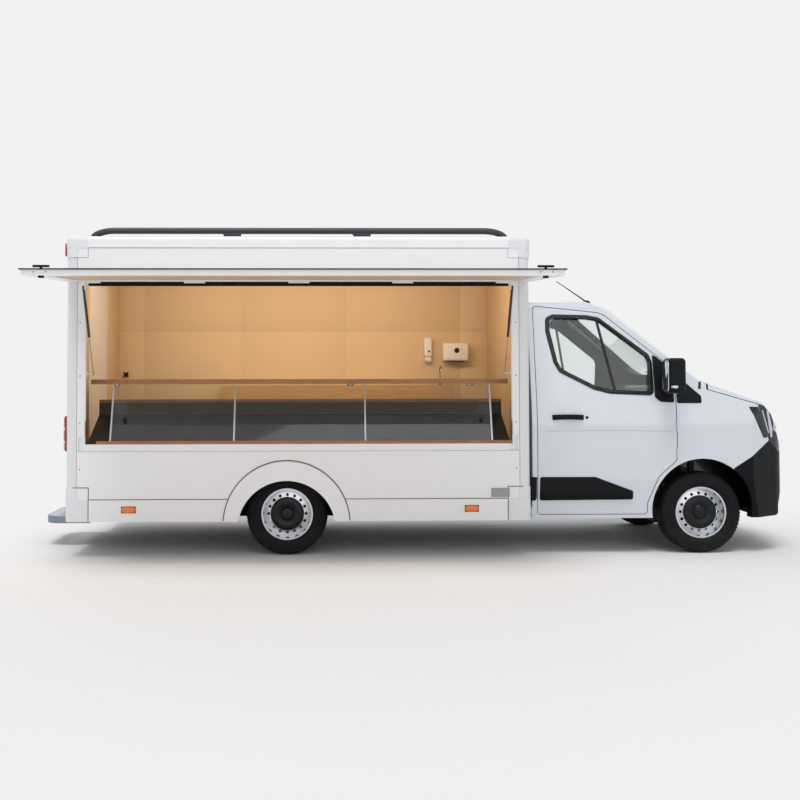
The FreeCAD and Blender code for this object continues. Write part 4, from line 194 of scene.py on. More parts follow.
@dataclass(frozen=True)
class Finish:
    """Base of all finishes: one principled surface with colour variation and fine bump.

    Patterns follow object coordinates, which are metres in the truck's frame.
    """
    name: str
    color: str
    shade: str
    roughness: float
    metallic: float = 0.0
    ior: float = 1.5
    coat: float = 0.0
    coat_roughness: float = 0.05
    patch_mm: float = 400.0
    grain_mm: float = 3.0
    grain_depth_mm: float = 0.02
    grain_strength: float = 0.15
    roughness_spread: float = 0.08
    transmission: float = 0.0
    sheen: float = 0.0
    specular: float = 0.5
    dirt: str = ""
    dirt_top: float = 0.0
    dirt_full: float = 0.15
    dirt_most: float = 0.5
    dirt_mm: float = 60.0

    def build(self) -> bpy.types.Material:
        """Make the material.

        Returns:
            The finished material.
        """
        material = bpy.data.materials.new(self.name)
        material.use_nodes = True
        tree = material.node_tree
        surface = tree.nodes["Principled BSDF"]
        for socket, value in (("Metallic", self.metallic), ("IOR", self.ior), ("Coat Weight", self.coat),
                              ("Coat Roughness", self.coat_roughness),
                              ("Transmission Weight", self.transmission), ("Sheen Weight", self.sheen),
                              ("Specular IOR Level", self.specular)):
            surface.inputs[socket].default_value = value
        place = add_node(tree, "ShaderNodeTexCoord").outputs["Object"]
        tree.links.new(self.color_source(tree, place), surface.inputs["Base Color"])
        tree.links.new(self.roughness_source(tree, place), surface.inputs["Roughness"])
        tree.links.new(self.bump_source(tree, place), surface.inputs["Normal"])
        return material

    def color_source(self, tree: Tree, place: Socket) -> Socket:
        """Colour that drifts softly between two close shades, with road dust low down.

        Args:
            tree: Node tree of the material.
            place: Object coordinates.
        Returns:
            Colour output.
        """
        clean = ramp(tree, noise(tree, place, self.patch_mm, 4.0), (0.2, self.shade), (0.8, self.color))
        if not self.dirt:
            return clean
        height = add_node(tree, "ShaderNodeSeparateXYZ", links={"Vector": place}).outputs["Z"]
        reach = {"From Min": self.dirt_top, "From Max": self.dirt_full,
                 "To Min": 0.0, "To Max": self.dirt_most}
        fall = add_node(tree, "ShaderNodeMapRange", reach, {"Value": height})
        speckle = noise(tree, place, self.dirt_mm, 6.0)
        return mixed(tree, maths(tree, "MULTIPLY", fall.outputs["Result"], speckle), clean, self.dirt)

    def roughness_source(self, tree: Tree, place: Socket) -> Socket:
        """Roughness with a little spread, as from handling and washing.

        Args:
            tree: Node tree of the material.
            place: Object coordinates.
        Returns:
            Value output.
        """
        wear = noise(tree, place, self.patch_mm / 3, 5.0)
        spread = add_node(tree, "ShaderNodeMapRange",
                          {"To Min": max(self.roughness - self.roughness_spread, 0.02),
                           "To Max": min(self.roughness + self.roughness_spread, 1.0)},
                          {"Value": wear})
        return spread.outputs["Result"]

    def bump_source(self, tree: Tree, place: Socket) -> Socket:
        """Fine relief of the surface.

        Args:
            tree: Node tree of the material.
            place: Object coordinates.
        Returns:
            Normal output.
        """
        return self.bump(tree, noise(tree, place, self.grain_mm, 3.0))

    def bump(self, tree: Tree, height: Socket) -> Socket:
        """Bump of this finish's depth and strength over a height."""
        settings = {"Strength": self.grain_strength, "Distance": self.grain_depth_mm * MM}
        return add_node(tree, "ShaderNodeBump", settings, {"Height": height}).outputs["Normal"]


@dataclass(frozen=True)
class Brushed(Finish):
    """Metal with fine lines along one axis, as left by a brush or a rolling mill."""
    stretch: Point = (1.0, 40.0, 40.0)

    def bump_source(self, tree: Tree, place: Socket) -> Socket:
        """Long thin scratches in place of round grain.

        Args:
            tree: Node tree of the material.
            place: Object coordinates.
        Returns:
            Normal output.
        """
        scaled = add_node(tree, "ShaderNodeMapping", {"Scale": self.stretch}, {"Vector": place})
        return self.bump(tree, noise(tree, scaled.outputs["Vector"], self.grain_mm, 2.0))


@dataclass(frozen=True)
class Timber(Finish):
    """Oiled solid wood: rings stretched along X into long grain."""
    ring_mm: float = 9.0

    def color_source(self, tree: Tree, place: Socket) -> Socket:
        """Bands of two browns that run along the board.

        Args:
            tree: Node tree of the material.
            place: Object coordinates.
        Returns:
            Colour output.
        """
        along = add_node(tree, "ShaderNodeMapping", {"Scale": (0.06, 1.0, 1.0)}, {"Vector": place})
        rings = noise(tree, along.outputs["Vector"], self.ring_mm, 8.0, 1.2)
        return ramp(tree, rings, (0.35, self.shade), (0.62, self.color))


@dataclass(frozen=True)
class Woven(Finish):
    """Seat cloth: two crossed sets of threads, drawn coarser than real so that they show."""
    thread_mm: float = 4.0
    wave_turn: float = 6.28

    def bump_source(self, tree: Tree, place: Socket) -> Socket:
        """Relief of crossed threads.

        Args:
            tree: Node tree of the material.
            place: Object coordinates.
        Returns:
            Normal output.
        """
        warp, weft = (add_node(tree, "ShaderNodeTexWave",
                               {"Scale": per_metre(self.thread_mm) / self.wave_turn, "bands_direction": axis},
                               {"Vector": place}).outputs["Fac"] for axis in "YZ")
        return self.bump(tree, maths(tree, "MAXIMUM", warp, weft))


@dataclass(frozen=True)
class VanPaint(Finish):
    """Van paint outside; grey moulded trim on faces that look into the cab; black wheelhouses; black as
    painted shade on faces behind the grille.

    A face belongs to the inside when its normal points to the middle of the cab.
    """
    trim: str = "#1f2427"
    # Black of the wheelhouse liners, also used as painted shade behind the grille.
    liner: str = "#0e0e10"
    middle: Point = (2.80, 0.0, 1.45)
    axle: Point = (3.585, 0.0, 0.35)
    house_radius: float = 0.60
    house_half_width: float = 0.925
    inward: float = 0.02
    # Box behind the grille whose faces are coloured black as painted shade of the engine bay.
    nose: Point = (4.30, 0.0, 0.80)
    nose_half: Point = (0.36, 0.86, 0.44)

    def color_source(self, tree: Tree, place: Socket) -> Socket:
        """Paint, trim and liner colours by the side that a face looks to, with black painted shade on faces
        behind the grille.

        Args:
            tree: Node tree of the material.
            place: Object coordinates.
        Returns:
            Colour output.
        """
        paint = super().color_source(tree, place)
        normal = add_node(tree, "ShaderNodeNewGeometry").outputs["Normal"]
        outward = vectors(tree, "DOT_PRODUCT", normal, self.apart(tree, place, self.middle))
        inner = maths(tree, "LESS_THAN", outward, self.inward)
        from_axle = self.apart(tree, place, self.axle)
        reach = vectors(tree, "LENGTH", vectors(tree, "MULTIPLY", from_axle, (1.0, 0.0, 1.0)))
        across = add_node(tree, "ShaderNodeSeparateXYZ", links={"Vector": from_axle}).outputs["Y"]
        house = maths(tree, "MULTIPLY", maths(tree, "LESS_THAN", reach, self.house_radius),
                      maths(tree, "LESS_THAN", maths(tree, "ABSOLUTE", across), self.house_half_width))
        # Painted shade: faces inside the box behind the grille turn black.
        from_nose = vectors(tree, "ABSOLUTE", self.apart(tree, place, self.nose))
        shares = add_node(tree, "ShaderNodeSeparateXYZ",
                          links={"Vector": vectors(tree, "DIVIDE", from_nose, self.nose_half)}).outputs
        widest = maths(tree, "MAXIMUM", maths(tree, "MAXIMUM", shares["X"], shares["Y"]), shares["Z"])
        black = maths(tree, "MAXIMUM", house, maths(tree, "LESS_THAN", widest, 1.0))
        return mixed(tree, black, mixed(tree, inner, paint, self.trim), self.liner)

    @staticmethod
    def apart(tree: Tree, place: Socket, point: Point) -> Socket:
        """Vector from a point of the truck's frame to the place that is shaded."""
        return vectors(tree, "SUBTRACT", place, tuple(p + s for p, s in zip(point, SHIFT)))


# Baked two-coat van paint: cool white that mirrors the sky softly. Its colour is greyed to a blue-grey as
# painted shade over the white paint.
CAB_PAINT_WITH_PAINTED_SHADE = VanPaint("baked_white_van_paint", "#d0d5de", "#cdd2db", 0.26, coat=0.6, patch_mm=1400,
                     roughness_spread=0.015, grain_mm=1.5, grain_depth_mm=0.01, grain_strength=0.04,
                     dirt="#a5a29c", dirt_top=0.6, dirt_most=0.25)
# The same paint, darker, as painted shade in the fold of a pressed crease: a soft grey line.
PAINTED_CREASE_SHADE = Finish("painted_crease_shade", "#b3b8c1", "#afb4bd", 0.3, coat=0.4, patch_mm=400,
                      grain_mm=1.5, grain_depth_mm=0.01, grain_strength=0.04)
# Gel-coated sandwich panel: flat warm white with a faint orange peel.
BOX_PANEL = Finish("gelcoat_sandwich_panel", "#eeeeef", "#ebebec", 0.36, coat=0.25, patch_mm=1600,
                   grain_mm=6, grain_depth_mm=0.03, grain_strength=0.05, dirt="#a8a49d",
                   dirt_top=0.6, dirt_most=0.22)
# Powder-coated aluminium profile: a shade greyer than the panels, fine powder grain.
PROFILE = Finish("powder_coated_profile", "#e4e5e8", "#e0e1e4", 0.4, patch_mm=900, grain_mm=1.2,
                 grain_depth_mm=0.02, grain_strength=0.06, dirt="#a8a49d", dirt_top=0.6, dirt_most=0.22)
# Lacquered chipboard lining lit by warm lamps: beige with a soft gloss. The beige is partly painted warm
# lamplight over a paler lining.
LINING_WITH_PAINTED_LAMPLIGHT = Finish("beige_laminate_lining", "#dcc3a0", "#d9bf9b", 0.6, patch_mm=1500, specular=0.25,
                grain_mm=4, grain_depth_mm=0.02, grain_strength=0.05)
# Moulded polypropylene, grained: dull near-black that lightens at grazing angles.
BLACK_PLASTIC = Finish("grained_black_polypropylene", "#121318", "#0f1013", 0.5, patch_mm=400, specular=0.14,
                       grain_mm=1.4, grain_depth_mm=0.05, grain_strength=0.2)
# Bumper plastic: the same, darker and duller with road dust.
BUMPER_PLASTIC = Finish("moulded_bumper_plastic", "#0b0c11", "#090a0e", 0.46, patch_mm=400, specular=0.12,
                        grain_mm=1.6, grain_depth_mm=0.05, grain_strength=0.2, dirt="#4a4844",
                        dirt_top=0.45, dirt_most=0.08)
# Gloss-black moulding round the windows.
WINDOW_BLACK = Finish("gloss_black_window_frame", "#0d0e10", "#0a0b0d", 0.2, patch_mm=200, specular=0.35,
                      grain_mm=2, grain_depth_mm=0.01, grain_strength=0.05)
# Extruded EPDM seal: matt black.
SEAL = Finish("extruded_rubber_seal", "#141416", "#0f0f11", 0.7, patch_mm=90, grain_mm=1, specular=0.15,
              grain_depth_mm=0.05, grain_strength=0.2)
# Tyre compound: very dark grey, dusty low down.
TYRE = Finish("vulcanised_tyre_rubber", "#18181a", "#131315", 0.72, patch_mm=120, grain_mm=2, specular=0.15,
              grain_depth_mm=0.06, grain_strength=0.25, dirt="#37342f", dirt_top=0.25, dirt_most=0.3)
# Pressed steel wheel with baked silver lacquer.
WHEEL_SILVER = Finish("silver_lacquered_wheel_steel", "#c6c8cc", "#bcbfc4", 0.24, metallic=0.85,
                      coat=0.4, patch_mm=120, grain_mm=0.8, grain_depth_mm=0.01, grain_strength=0.08)
# Hub cover: satin black plastic.
HUB_BLACK = Finish("moulded_black_hub_cover", "#131417", "#0f1013", 0.36, patch_mm=90, grain_mm=1.2,
                   specular=0.25, grain_depth_mm=0.03, grain_strength=0.12)
# Chassis steel under wax: black, uneven.
CHASSIS = Finish("waxed_chassis_steel", "#151516", "#101011", 0.6, patch_mm=120, grain_mm=5,
                 grain_depth_mm=0.2, grain_strength=0.3, dirt="#3a3631", dirt_top=0.4, dirt_most=0.3)
# Cast iron parts with a brown bloom.
IRON = Finish("cast_iron_running_gear", "#262321", "#1c1917", 0.75, metallic=0.3, patch_mm=50,
              grain_mm=2.5, grain_depth_mm=0.3, grain_strength=0.5)
# Sand-cast aluminium engine housing.
ENGINE = Finish("sand_cast_engine_aluminium", "#6d6f72", "#595b5e", 0.6, metallic=0.6, patch_mm=60,
                grain_mm=2, grain_depth_mm=0.3, grain_strength=0.5)
# Window glass: almost colourless, with a breath of green in its body.
WINDOW_GLASS = Finish("toughened_window_glass", "#f1f6f5", "#eff4f3", 0.02, ior=1.45, transmission=1.0,
                      patch_mm=400, grain_mm=300, grain_depth_mm=0.01, grain_strength=0.02,
                      roughness_spread=0.01)
# Display glass: colourless float glass.
DISPLAY_GLASS = Finish("float_glass_display_sheet", "#eef4f2", "#eaf0ee", 0.01, ior=1.45,
                       transmission=1.0, patch_mm=400, grain_mm=300, grain_depth_mm=0.01,
                       grain_strength=0.02, roughness_spread=0.005)
# Stainless sheet, brushed lengthwise: bright grey with thin lines.
STAINLESS = Brushed("brushed_stainless_sheet", "#b9bbbd", "#adafb1", 0.3, metallic=1.0, patch_mm=200,
                    grain_mm=0.8, grain_depth_mm=0.03, grain_strength=0.3)
# Mill-finish aluminium tread sheet.
STEP_ALUMINIUM = Brushed("mill_finish_aluminium_step", "#8d969e", "#7c868f", 0.42, metallic=0.9,
                         patch_mm=90, grain_mm=1.0, grain_depth_mm=0.05, grain_strength=0.35)
# Anthracite powder coat on the roof rails.
RAIL_COAT = Finish("anthracite_powder_coat", "#2a2e36", "#262a31", 0.36, patch_mm=300, grain_mm=1.2,
                   grain_depth_mm=0.02, grain_strength=0.1)
# Gas strut cylinder: satin black lacquer on steel tube.
STRUT_BLACK = Finish("black_lacquered_strut_tube", "#1c1c1f", "#161618", 0.35, coat=0.3, patch_mm=60,
                     grain_mm=1, grain_depth_mm=0.01, grain_strength=0.1)
# Gas strut rod: hard chrome.
CHROME = Finish("hard_chromed_steel", "#b4b3b1", "#aaa9a7", 0.16, metallic=1.0, patch_mm=100,
                grain_mm=1, grain_depth_mm=0.005, grain_strength=0.05, roughness_spread=0.04)
# Oiled acacia board: warm brown with long grain.
BOARD = Timber("oiled_acacia_board", "#a87245", "#8b5a34", 0.42, coat=0.1, patch_mm=200, grain_mm=1.5,
               grain_depth_mm=0.06, grain_strength=0.3)
# Display bed: dark textured powder coat, like slate.
SLATE = Finish("slate_textured_powder_coat", "#3a393b", "#333234", 0.55, patch_mm=260, grain_mm=5,
               grain_depth_mm=0.05, grain_strength=0.1)
# Floor sheet with a fine non-slip grain.
FLOOR_SHEET = Finish("non_slip_vinyl_floor", "#8d8f91", "#7e8082", 0.6, patch_mm=120, grain_mm=3,
                     grain_depth_mm=0.2, grain_strength=0.4)
# Seat cloth, dark grey with a fine weave.
CLOTH = Woven("woven_polyester_seat_cloth", "#34363c", "#2b2d32", 0.85, sheen=0.3, patch_mm=90,
              grain_depth_mm=0.5, grain_strength=0.5)
# Dashboard plastic with leather-like grain.
DASH = Finish("grained_dashboard_plastic", "#3a3c42", "#303238", 0.6, patch_mm=160, grain_mm=2,
              grain_depth_mm=0.15, grain_strength=0.4)
# Headlamp lens and housing, dark smoked.
LAMP_DARK = Finish("smoked_lamp_housing", "#161d25", "#10151c", 0.14, coat=0.2, patch_mm=60, specular=0.25,
                   grain_mm=6, grain_depth_mm=0.2, grain_strength=0.1)
# Reflector and clear vertical light elements.
LAMP_CLEAR = Finish("vacuum_metallised_reflector", "#cdd3da", "#b9c0c8", 0.14, metallic=0.85,
                    patch_mm=30, grain_mm=5, grain_depth_mm=0.2, grain_strength=0.3)
# Amber and red transparent lamp plastics.
AMBER = Finish("amber_marker_lens", "#ee7a14", "#e8700c", 0.2, coat=0.6, patch_mm=20, grain_mm=3,
               grain_depth_mm=0.15, grain_strength=0.3)
RED = Finish("red_lamp_lens", "#a41318", "#8c0d12", 0.18, coat=0.6, patch_mm=30, grain_mm=4,
             grain_depth_mm=0.2, grain_strength=0.3)
# Cupboard fronts of beech laminate: light brown with fine grain.
BEECH = Timber("beech_laminate_cupboard", "#cfa06c", "#bf8f5c", 0.45, coat=0.1, patch_mm=200, ring_mm=14,
               grain_mm=2, grain_depth_mm=0.02, grain_strength=0.1)
# Joint sealant drawn thin between panels: mid grey.
SEALANT = Finish("polyurethane_joint_sealant", "#85878c", "#7c7e83", 0.6, patch_mm=60, grain_mm=1,
                 grain_depth_mm=0.02, grain_strength=0.1)
# Wheelhouse liner: felted black plastic, very dull.
LINER = Finish("felted_wheelhouse_liner", "#0e0e10", "#0a0a0b", 0.9, patch_mm=90, grain_mm=3, specular=0.05,
               grain_depth_mm=0.2, grain_strength=0.4)
# Bare blank plate: grey pressed aluminium.
PLATE = Finish("blank_pressed_plate", "#98979d", "#8d8c92", 0.4, metallic=0.4, patch_mm=60, grain_mm=2,
               grain_depth_mm=0.05, grain_strength=0.2)
# Zinc-plated screw heads.
ZINC = Finish("zinc_plated_screw", "#9b9da0", "#86888b", 0.35, metallic=0.9, patch_mm=10, grain_mm=0.5,
              grain_depth_mm=0.02, grain_strength=0.2)
# White glossy plastic of dispensers.
WHITE_PLASTIC = Finish("white_abs_dispenser", "#f2efe9", "#eae6df", 0.3, coat=0.2, patch_mm=80,
                       grain_mm=2, grain_depth_mm=0.02, grain_strength=0.1)
# Mirror glass.
MIRROR_GLASS = Finish("silvered_mirror_glass", "#d9dcdf", "#d4d7da", 0.03, metallic=1.0, patch_mm=100,
                      grain_mm=50, grain_depth_mm=0.005, grain_strength=0.02, roughness_spread=0.01)


@dataclass(frozen=True)
class Glowing(Finish):
    """Opal lamp diffuser that gives a warm light of its own."""
    glow: str = "#ffd9a6"
    power: float = 5.0

    def build(self) -> bpy.types.Material:
        """Make the material with its light.

        Returns:
            The finished material.
        """
        material = super().build()
        surface = material.node_tree.nodes["Principled BSDF"]
        surface.inputs["Emission Color"].default_value = linear(self.glow)
        surface.inputs["Emission Strength"].default_value = self.power
        return material


# Opal acrylic over warm lamps.
DIFFUSER = Glowing("opal_acrylic_diffuser", "#fff3e0", "#fdebd2", 0.4, patch_mm=120, grain_mm=3,
                   grain_depth_mm=0.02, grain_strength=0.1)


class Builder:
    """Makes meshes in the truck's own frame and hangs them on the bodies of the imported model.

    Attributes:
        shift: Step from the truck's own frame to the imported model's frame, in metres.
        finishes: Materials made so far, by name.
        made: Names of the pieces made so far.
    """

    def __init__(self) -> None:
        """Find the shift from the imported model's own boxes."""
        low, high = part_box("tyre_rear_right")
        floor_low, floor_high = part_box("box_floor")
        self.shift = Vector(((low[0] + high[0]) / 2, (floor_low[1] + floor_high[1]) / 2, 0.0))
        SHIFT[:] = self.shift
        self.finishes: dict[str, bpy.types.Material] = {}
        self.made: list[str] = []

    def material(self, finish: Finish) -> bpy.types.Material:
        """Material of a finish, made once.

        Args:
            finish: Finish to build.
        Returns:
            Its material.
        """
        if finish.name not in self.finishes:
            self.finishes[finish.name] = finish.build()
        return self.finishes[finish.name]

    def add(self, name: str, mesh: Mesh, finish: Finish, body: str, slot: str,
            smooth_deg: float = 35.0) -> bpy.types.Object:
        """Turn a bmesh in the truck's own frame into a piece that rides on a body.

        Args:
            name: Name of the piece.
            mesh: Geometry, freed here.
            finish: Finish of the whole piece.
            body: Body that it rides on.
            slot: Material slot of the record that it belongs to; not used.
            smooth_deg: Edges flatter than this are shaded smooth.
        Returns:
            The new object.
        """
        bmesh.ops.translate(mesh, verts=mesh.verts, vec=self.shift)
        data = bpy.data.meshes.new(name)
        for face in mesh.faces:
            face.smooth = True
        for edge in mesh.edges:
            edge.smooth = len(edge.link_faces) == 2 and edge.calc_face_angle(0) < math.radians(smooth_deg)
        mesh.to_mesh(data)
        mesh.free()
        obj = bpy.data.objects.new(name, data)
        bpy.context.scene.collection.objects.link(obj)
        data.materials.append(self.material(finish))
        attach(obj, body)
        self.made.append(name)
        return obj

    def dress(self, node: str, finish: Finish) -> None:
        """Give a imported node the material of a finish.

        Args:
            node: Name of the node.
            finish: Finish for all of its faces.
        """
        obj = FRAME["nodes"][node]
        if not obj.material_slots:
            obj.data.materials.append(None)
        for place in obj.material_slots:
            place.material = self.material(finish)

    def dress_all(self, table: dict[Finish, str]) -> None:
        """Dress many nodes.

        Args:
            table: Finish to the names of its nodes, with spaces between them.
        """
        for finish, nodes in table.items():
            for node in nodes.split():
                self.dress(node, finish)


class Skin:
    """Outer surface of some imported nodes, to lay trim on.

    Attributes:
        shift: Step from the truck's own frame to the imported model's frame.
        trees: One search tree for each node.
    """

    def __init__(self, builder: Builder, nodes: Sequence[str]) -> None:
        """Build the search trees.

        Args:
            builder: Gives the shift of the frame.
            nodes: Names of the nodes that carry the trim.
        """
        self.shift = builder.shift
        self.trees = []
        for name in nodes:
            data = FRAME["nodes"][name].data
            self.trees.append(BVHTree.FromPolygons([v.co for v in data.vertices],
                                                   [tuple(p.vertices) for p in data.polygons]))

    def hit(self, start: Vector, way: Vector) -> tuple[Vector, Vector] | None:
        """First point of the surface along a ray, in the truck's own frame.

        Args:
            start: Start of the ray.
            way: Its direction.
        Returns:
            Point and outward normal, or None.
        """
        best = None
        for tree in self.trees:
            point, normal, _, distance = tree.ray_cast(start + self.shift, way)
            if point is not None and (best is None or distance < best[2]):
                best = (point - self.shift, normal if normal.dot(way) < 0 else -normal, distance)
        return (best[0], best[1]) if best else None

    def side_point(self, x: float, z: float, side: Side) -> tuple[Vector, Vector]:
        """Point on a flank of the truck.

        Args:
            x: Place along the truck.
            z: Height.
            side: Flank.
        Returns:
            Point and normal.
        """
        way = Vector((0, -side.value, 0))
        for nudge in (0.0, 0.006, -0.006, 0.015, -0.015):
            found = self.hit(Vector((x + nudge, side.value * 3.0, z)), way)
            if found and abs(found[0].y) > 0.4:
                return Vector((x, found[0].y, z)), found[1]
        raise ValueError(f"no surface at x {x:.3f} z {z:.3f}")


def rounded_outline(corners: Outline, radius: float, steps: int = 5) -> list[Spot]:
    """Outline with its corners rounded.

    Args:
        corners: Corner points in order.
        radius: Largest radius; a short side gets a smaller one.
        steps: Pieces of each arc.
    Returns:
        Points of the rounded outline.
    """
    points = []
    count = len(corners)
    for i, corner in enumerate(corners):
        here = Vector(corner)
        before, after = Vector(corners[i - 1]) - here, Vector(corners[(i + 1) % count]) - here
        bend = math.pi - before.angle(after, 0.0)
        if bend < 0.03:
            points.append(tuple(here))
            continue
        reach = min(radius * math.tan(bend / 2), before.length * 0.48, after.length * 0.48)
        start, stop = here + before.normalized() * reach, here + after.normalized() * reach
        for k in range(steps + 1):
            t = k / steps
            points.append(tuple(start * (1 - t) ** 2 + here * 2 * t * (1 - t) + stop * t * t))
    return points


def distance_to_outline(point: Vector, outline: Sequence[Vector]) -> float:
    """Shortest distance from a point to a closed outline.

    Args:
        point: Point in the plane.
        outline: Corners of the outline.
    Returns:
        Distance.
    """
    best = 1e9
    for i, a in enumerate(outline):
        b = outline[(i + 1) % len(outline)]
        along = b - a
        t = max(0.0, min(1.0, (point - a).dot(along) / max(along.length_squared, 1e-12)))
        best = min(best, (point - a - along * t).length)
    return best


def inside(point: Vector, outline: Sequence[Vector]) -> bool:
    """Whether a point lies inside a closed outline.

    Args:
        point: Point in the plane.
        outline: Corners of the outline.
    Returns:
        True inside.
    """
    found = False
    for i, a in enumerate(outline):
        b = outline[i - 1]
        if (a.y > point.y) != (b.y > point.y):
            if point.x < (b.x - a.x) * (point.y - a.y) / (b.y - a.y) + a.x:
                found = not found
    return found


# Rows of points beside a rim, as shares of its rounded width, and how near a rim points may lie.
RIM_ROWS, RIM_CLEAR, MIDDLE_CLEAR = (0.35, 0.8, 1.3), 0.93, 1.6


def laid_patch(outline: Outline, lay: Lay, proud: float, edge: float, step: float, sink: float = 0.002,
               holes: Sequence[Outline] = ()) -> Mesh:
    """Moulding laid on a curved surface, with a rounded rim that dips into it.

    Args:
        outline: Outline in the plane that lay() reads.
        lay: Gives the surface point and normal of a plane point.
        proud: Height of the middle over the surface.
        edge: Width of the rounded rim.
        step: Spacing of the inner points.
        sink: How far the rim dips under the surface.
        holes: Outlines left open.
    Returns:
        The mesh.
    """
    rings = [[Vector(p) for p in outline]] + [[Vector(p) for p in hole] for hole in holes]
    dense: list[Vector] = []
    edges: list[tuple[int, int]] = []
    for ring in rings:
        first = len(dense)
        for i, a in enumerate(ring):
            b = ring[(i + 1) % len(ring)]
            pieces = max(1, int((b - a).length / step + 0.5))
            dense.extend(a.lerp(b, k / pieces) for k in range(pieces))
        edges.extend((k, k + 1) for k in range(first, len(dense) - 1))
        edges.append((len(dense) - 1, first))
    rim_count = len(dense)

    def gap(point: Vector) -> float:
        """Distance from a point to the nearest rim."""
        return min(distance_to_outline(point, ring) for ring in rings)

    def within(point: Vector) -> bool:
        """Whether the moulding covers a point."""
        return inside(point, rings[0]) and not any(inside(point, ring) for ring in rings[1:])

    xs, ys = [p.x for p in rings[0]], [p.y for p in rings[0]]
    for share in RIM_ROWS:
        inner = []
        for i, j in edges:
            way = (dense[j] - dense[i]).normalized()
            for sign in (1, -1):
                point = dense[i] + Vector((-way.y, way.x)) * sign * edge * share
                if within(point) and gap(point) > edge * share * RIM_CLEAR:
                    inner.append(point)
        dense.extend(inner)
    wide, high = max(xs) - min(xs), max(ys) - min(ys)
    columns, rows = int(wide / step) + 1, int(high / step) + 1
    for i in range(columns + 1):
        for j in range(rows + 1):
            point = Vector((min(xs) + wide * i / columns, min(ys) + high * j / rows))
            if within(point) and gap(point) > edge * MIDDLE_CLEAR:
                dense.append(point)
    points, _, faces, origin, _, _ = delaunay_2d_cdt(dense, edges, [], 0, 1e-7)
    mesh = bmesh.new()
    verts = []
    for point, source in zip(points, origin):
        base, normal = lay(point.x, point.y)
        height = -sink
        if all(index >= rim_count for index in source):
            t = min(gap(point) / edge, 1.0)
            height = proud * math.sqrt(max(0.0, 1 - (1 - t) ** 2))
        verts.append(mesh.verts.new(base + normal * height))
    for face in faces:
        middle = sum((points[i] for i in face), Vector((0, 0))) / len(face)
        if within(middle):
            try:
                mesh.faces.new([verts[i] for i in face])
            except ValueError:
                continue
    bmesh.ops.delete(mesh, geom=[v for v in mesh.verts if not v.link_faces], context="VERTS")
    bmesh.ops.recalc_face_normals(mesh, faces=mesh.faces)
    return mesh


def face_outwards(mesh: Mesh, way: Vector) -> Mesh:
    """Turn an open sheet so that it faces a way.

    Args:
        mesh: Sheet.
        way: Direction that most of its faces shall look.
    Returns:
        The same mesh.
    """
    total = sum((face.normal * face.calc_area() for face in mesh.faces), Vector())
    if total.dot(way) < 0:
        bmesh.ops.reverse_faces(mesh, faces=mesh.faces)
    return mesh


def stitch(mesh: Mesh, one: Sequence[Vert], two: Sequence[Vert], closed: bool = True) -> None:
    """Join two rows of vertices by faces.

    Args:
        mesh: Mesh that holds them.
        one: First row.
        two: Second row, with as many vertices.
        closed: Whether the rows' last vertices join their first ones.
    """
    count = len(one)
    for k in range(count if closed else count - 1):
        m = (k + 1) % count
        mesh.faces.new((one[k], one[m], two[m], two[k]))


def lofted(points: Sequence[Sequence[Point]]) -> Mesh:
    """Solid through rows of points, with both ends closed.

    Args:
        points: Rows from one end to the other, each with as many points.
    Returns:
        The mesh.
    """
    mesh = bmesh.new()
    rows = [[mesh.verts.new(point) for point in row] for row in points]
    for one, two in zip(rows[:-1], rows[1:]):
        stitch(mesh, one, two)
    mesh.faces.new(rows[0])
    mesh.faces.new(rows[-1][::-1])
    bmesh.ops.recalc_face_normals(mesh, faces=mesh.faces)
    return mesh


def swept(path: Sequence[Vector], section: Outline, up: Vector,
          closed: bool = False, ends: bool = True) -> Mesh:
    """Solid swept along a line.

    Args:
        path: Points of the line.
        section: Closed section, sideways and upwards of the line.
        up: Rough upwards direction of the section.
        closed: Whether the line closes on itself.
        ends: Whether the two ends get faces.
    Returns:
        The mesh.
    """
    mesh = bmesh.new()
    rings = []
    count = len(path)
    for i, point in enumerate(path):
        before = path[i - 1] if closed or i else point
        after = path[(i + 1) % count] if closed or i < count - 1 else point
        along = (after - before).normalized()
        side = along.cross(up).normalized()
        above = side.cross(along).normalized()
        rings.append([mesh.verts.new(point + side * a + above * b) for a, b in section])
    last = count if closed else count - 1
    for i in range(last):
        stitch(mesh, rings[i], rings[(i + 1) % count])
    if ends and not closed:
        mesh.faces.new(rings[0][::-1])
        mesh.faces.new(rings[-1])
    bmesh.ops.recalc_face_normals(mesh, faces=mesh.faces)
    return mesh


def round_section(radius: float, sides: int = 12, squash: float = 1.0) -> list[Spot]:
    """Circle or ellipse as a section.

    Args:
        radius: Half of its width.
        sides: Number of corners.
        squash: Height over width.
    Returns:
        Section points.
    """
    turns = [2 * math.pi * k / sides for k in range(sides)]
    return [(radius * math.cos(t), radius * squash * math.sin(t)) for t in turns]


def turned(centre: Vector, axis: Vector, profile: Outline, sides: int = 32, joined: bool = False) -> Mesh:
    """Solid turned round an axis.

    Args:
        centre: Point that the profile's distances start from.
        axis: Axis of turning.
        profile: Distance along the axis and radius, in order.
        sides: Pieces of the circle.
        joined: Whether the profile closes on itself.
    Returns:
        The mesh.
    """
    mesh = bmesh.new()
    axis = axis.normalized()
    first = axis.orthogonal().normalized()
    second = axis.cross(first)
    rings = []
    for along, radius in profile:
        if radius < 1e-6:
            rings.append([mesh.verts.new(centre + axis * along)])
            continue
        turns = [2 * math.pi * k / sides for k in range(sides)]
        rings.append([mesh.verts.new(centre + axis * along
                                     + (first * math.cos(t) + second * math.sin(t)) * radius) for t in turns])
    pairs = list(zip(rings[:-1], rings[1:])) + ([(rings[-1], rings[0])] if joined else [])
    for one, two in pairs:
        for k in range(sides):
            m = (k + 1) % sides
            corners = [one[k % len(one)], one[m % len(one)], two[m % len(two)], two[k % len(two)]]
            unique = list(dict.fromkeys(corners))
            if len(unique) > 2:
                mesh.faces.new(unique)
    bmesh.ops.recalc_face_normals(mesh, faces=mesh.faces)
    return mesh


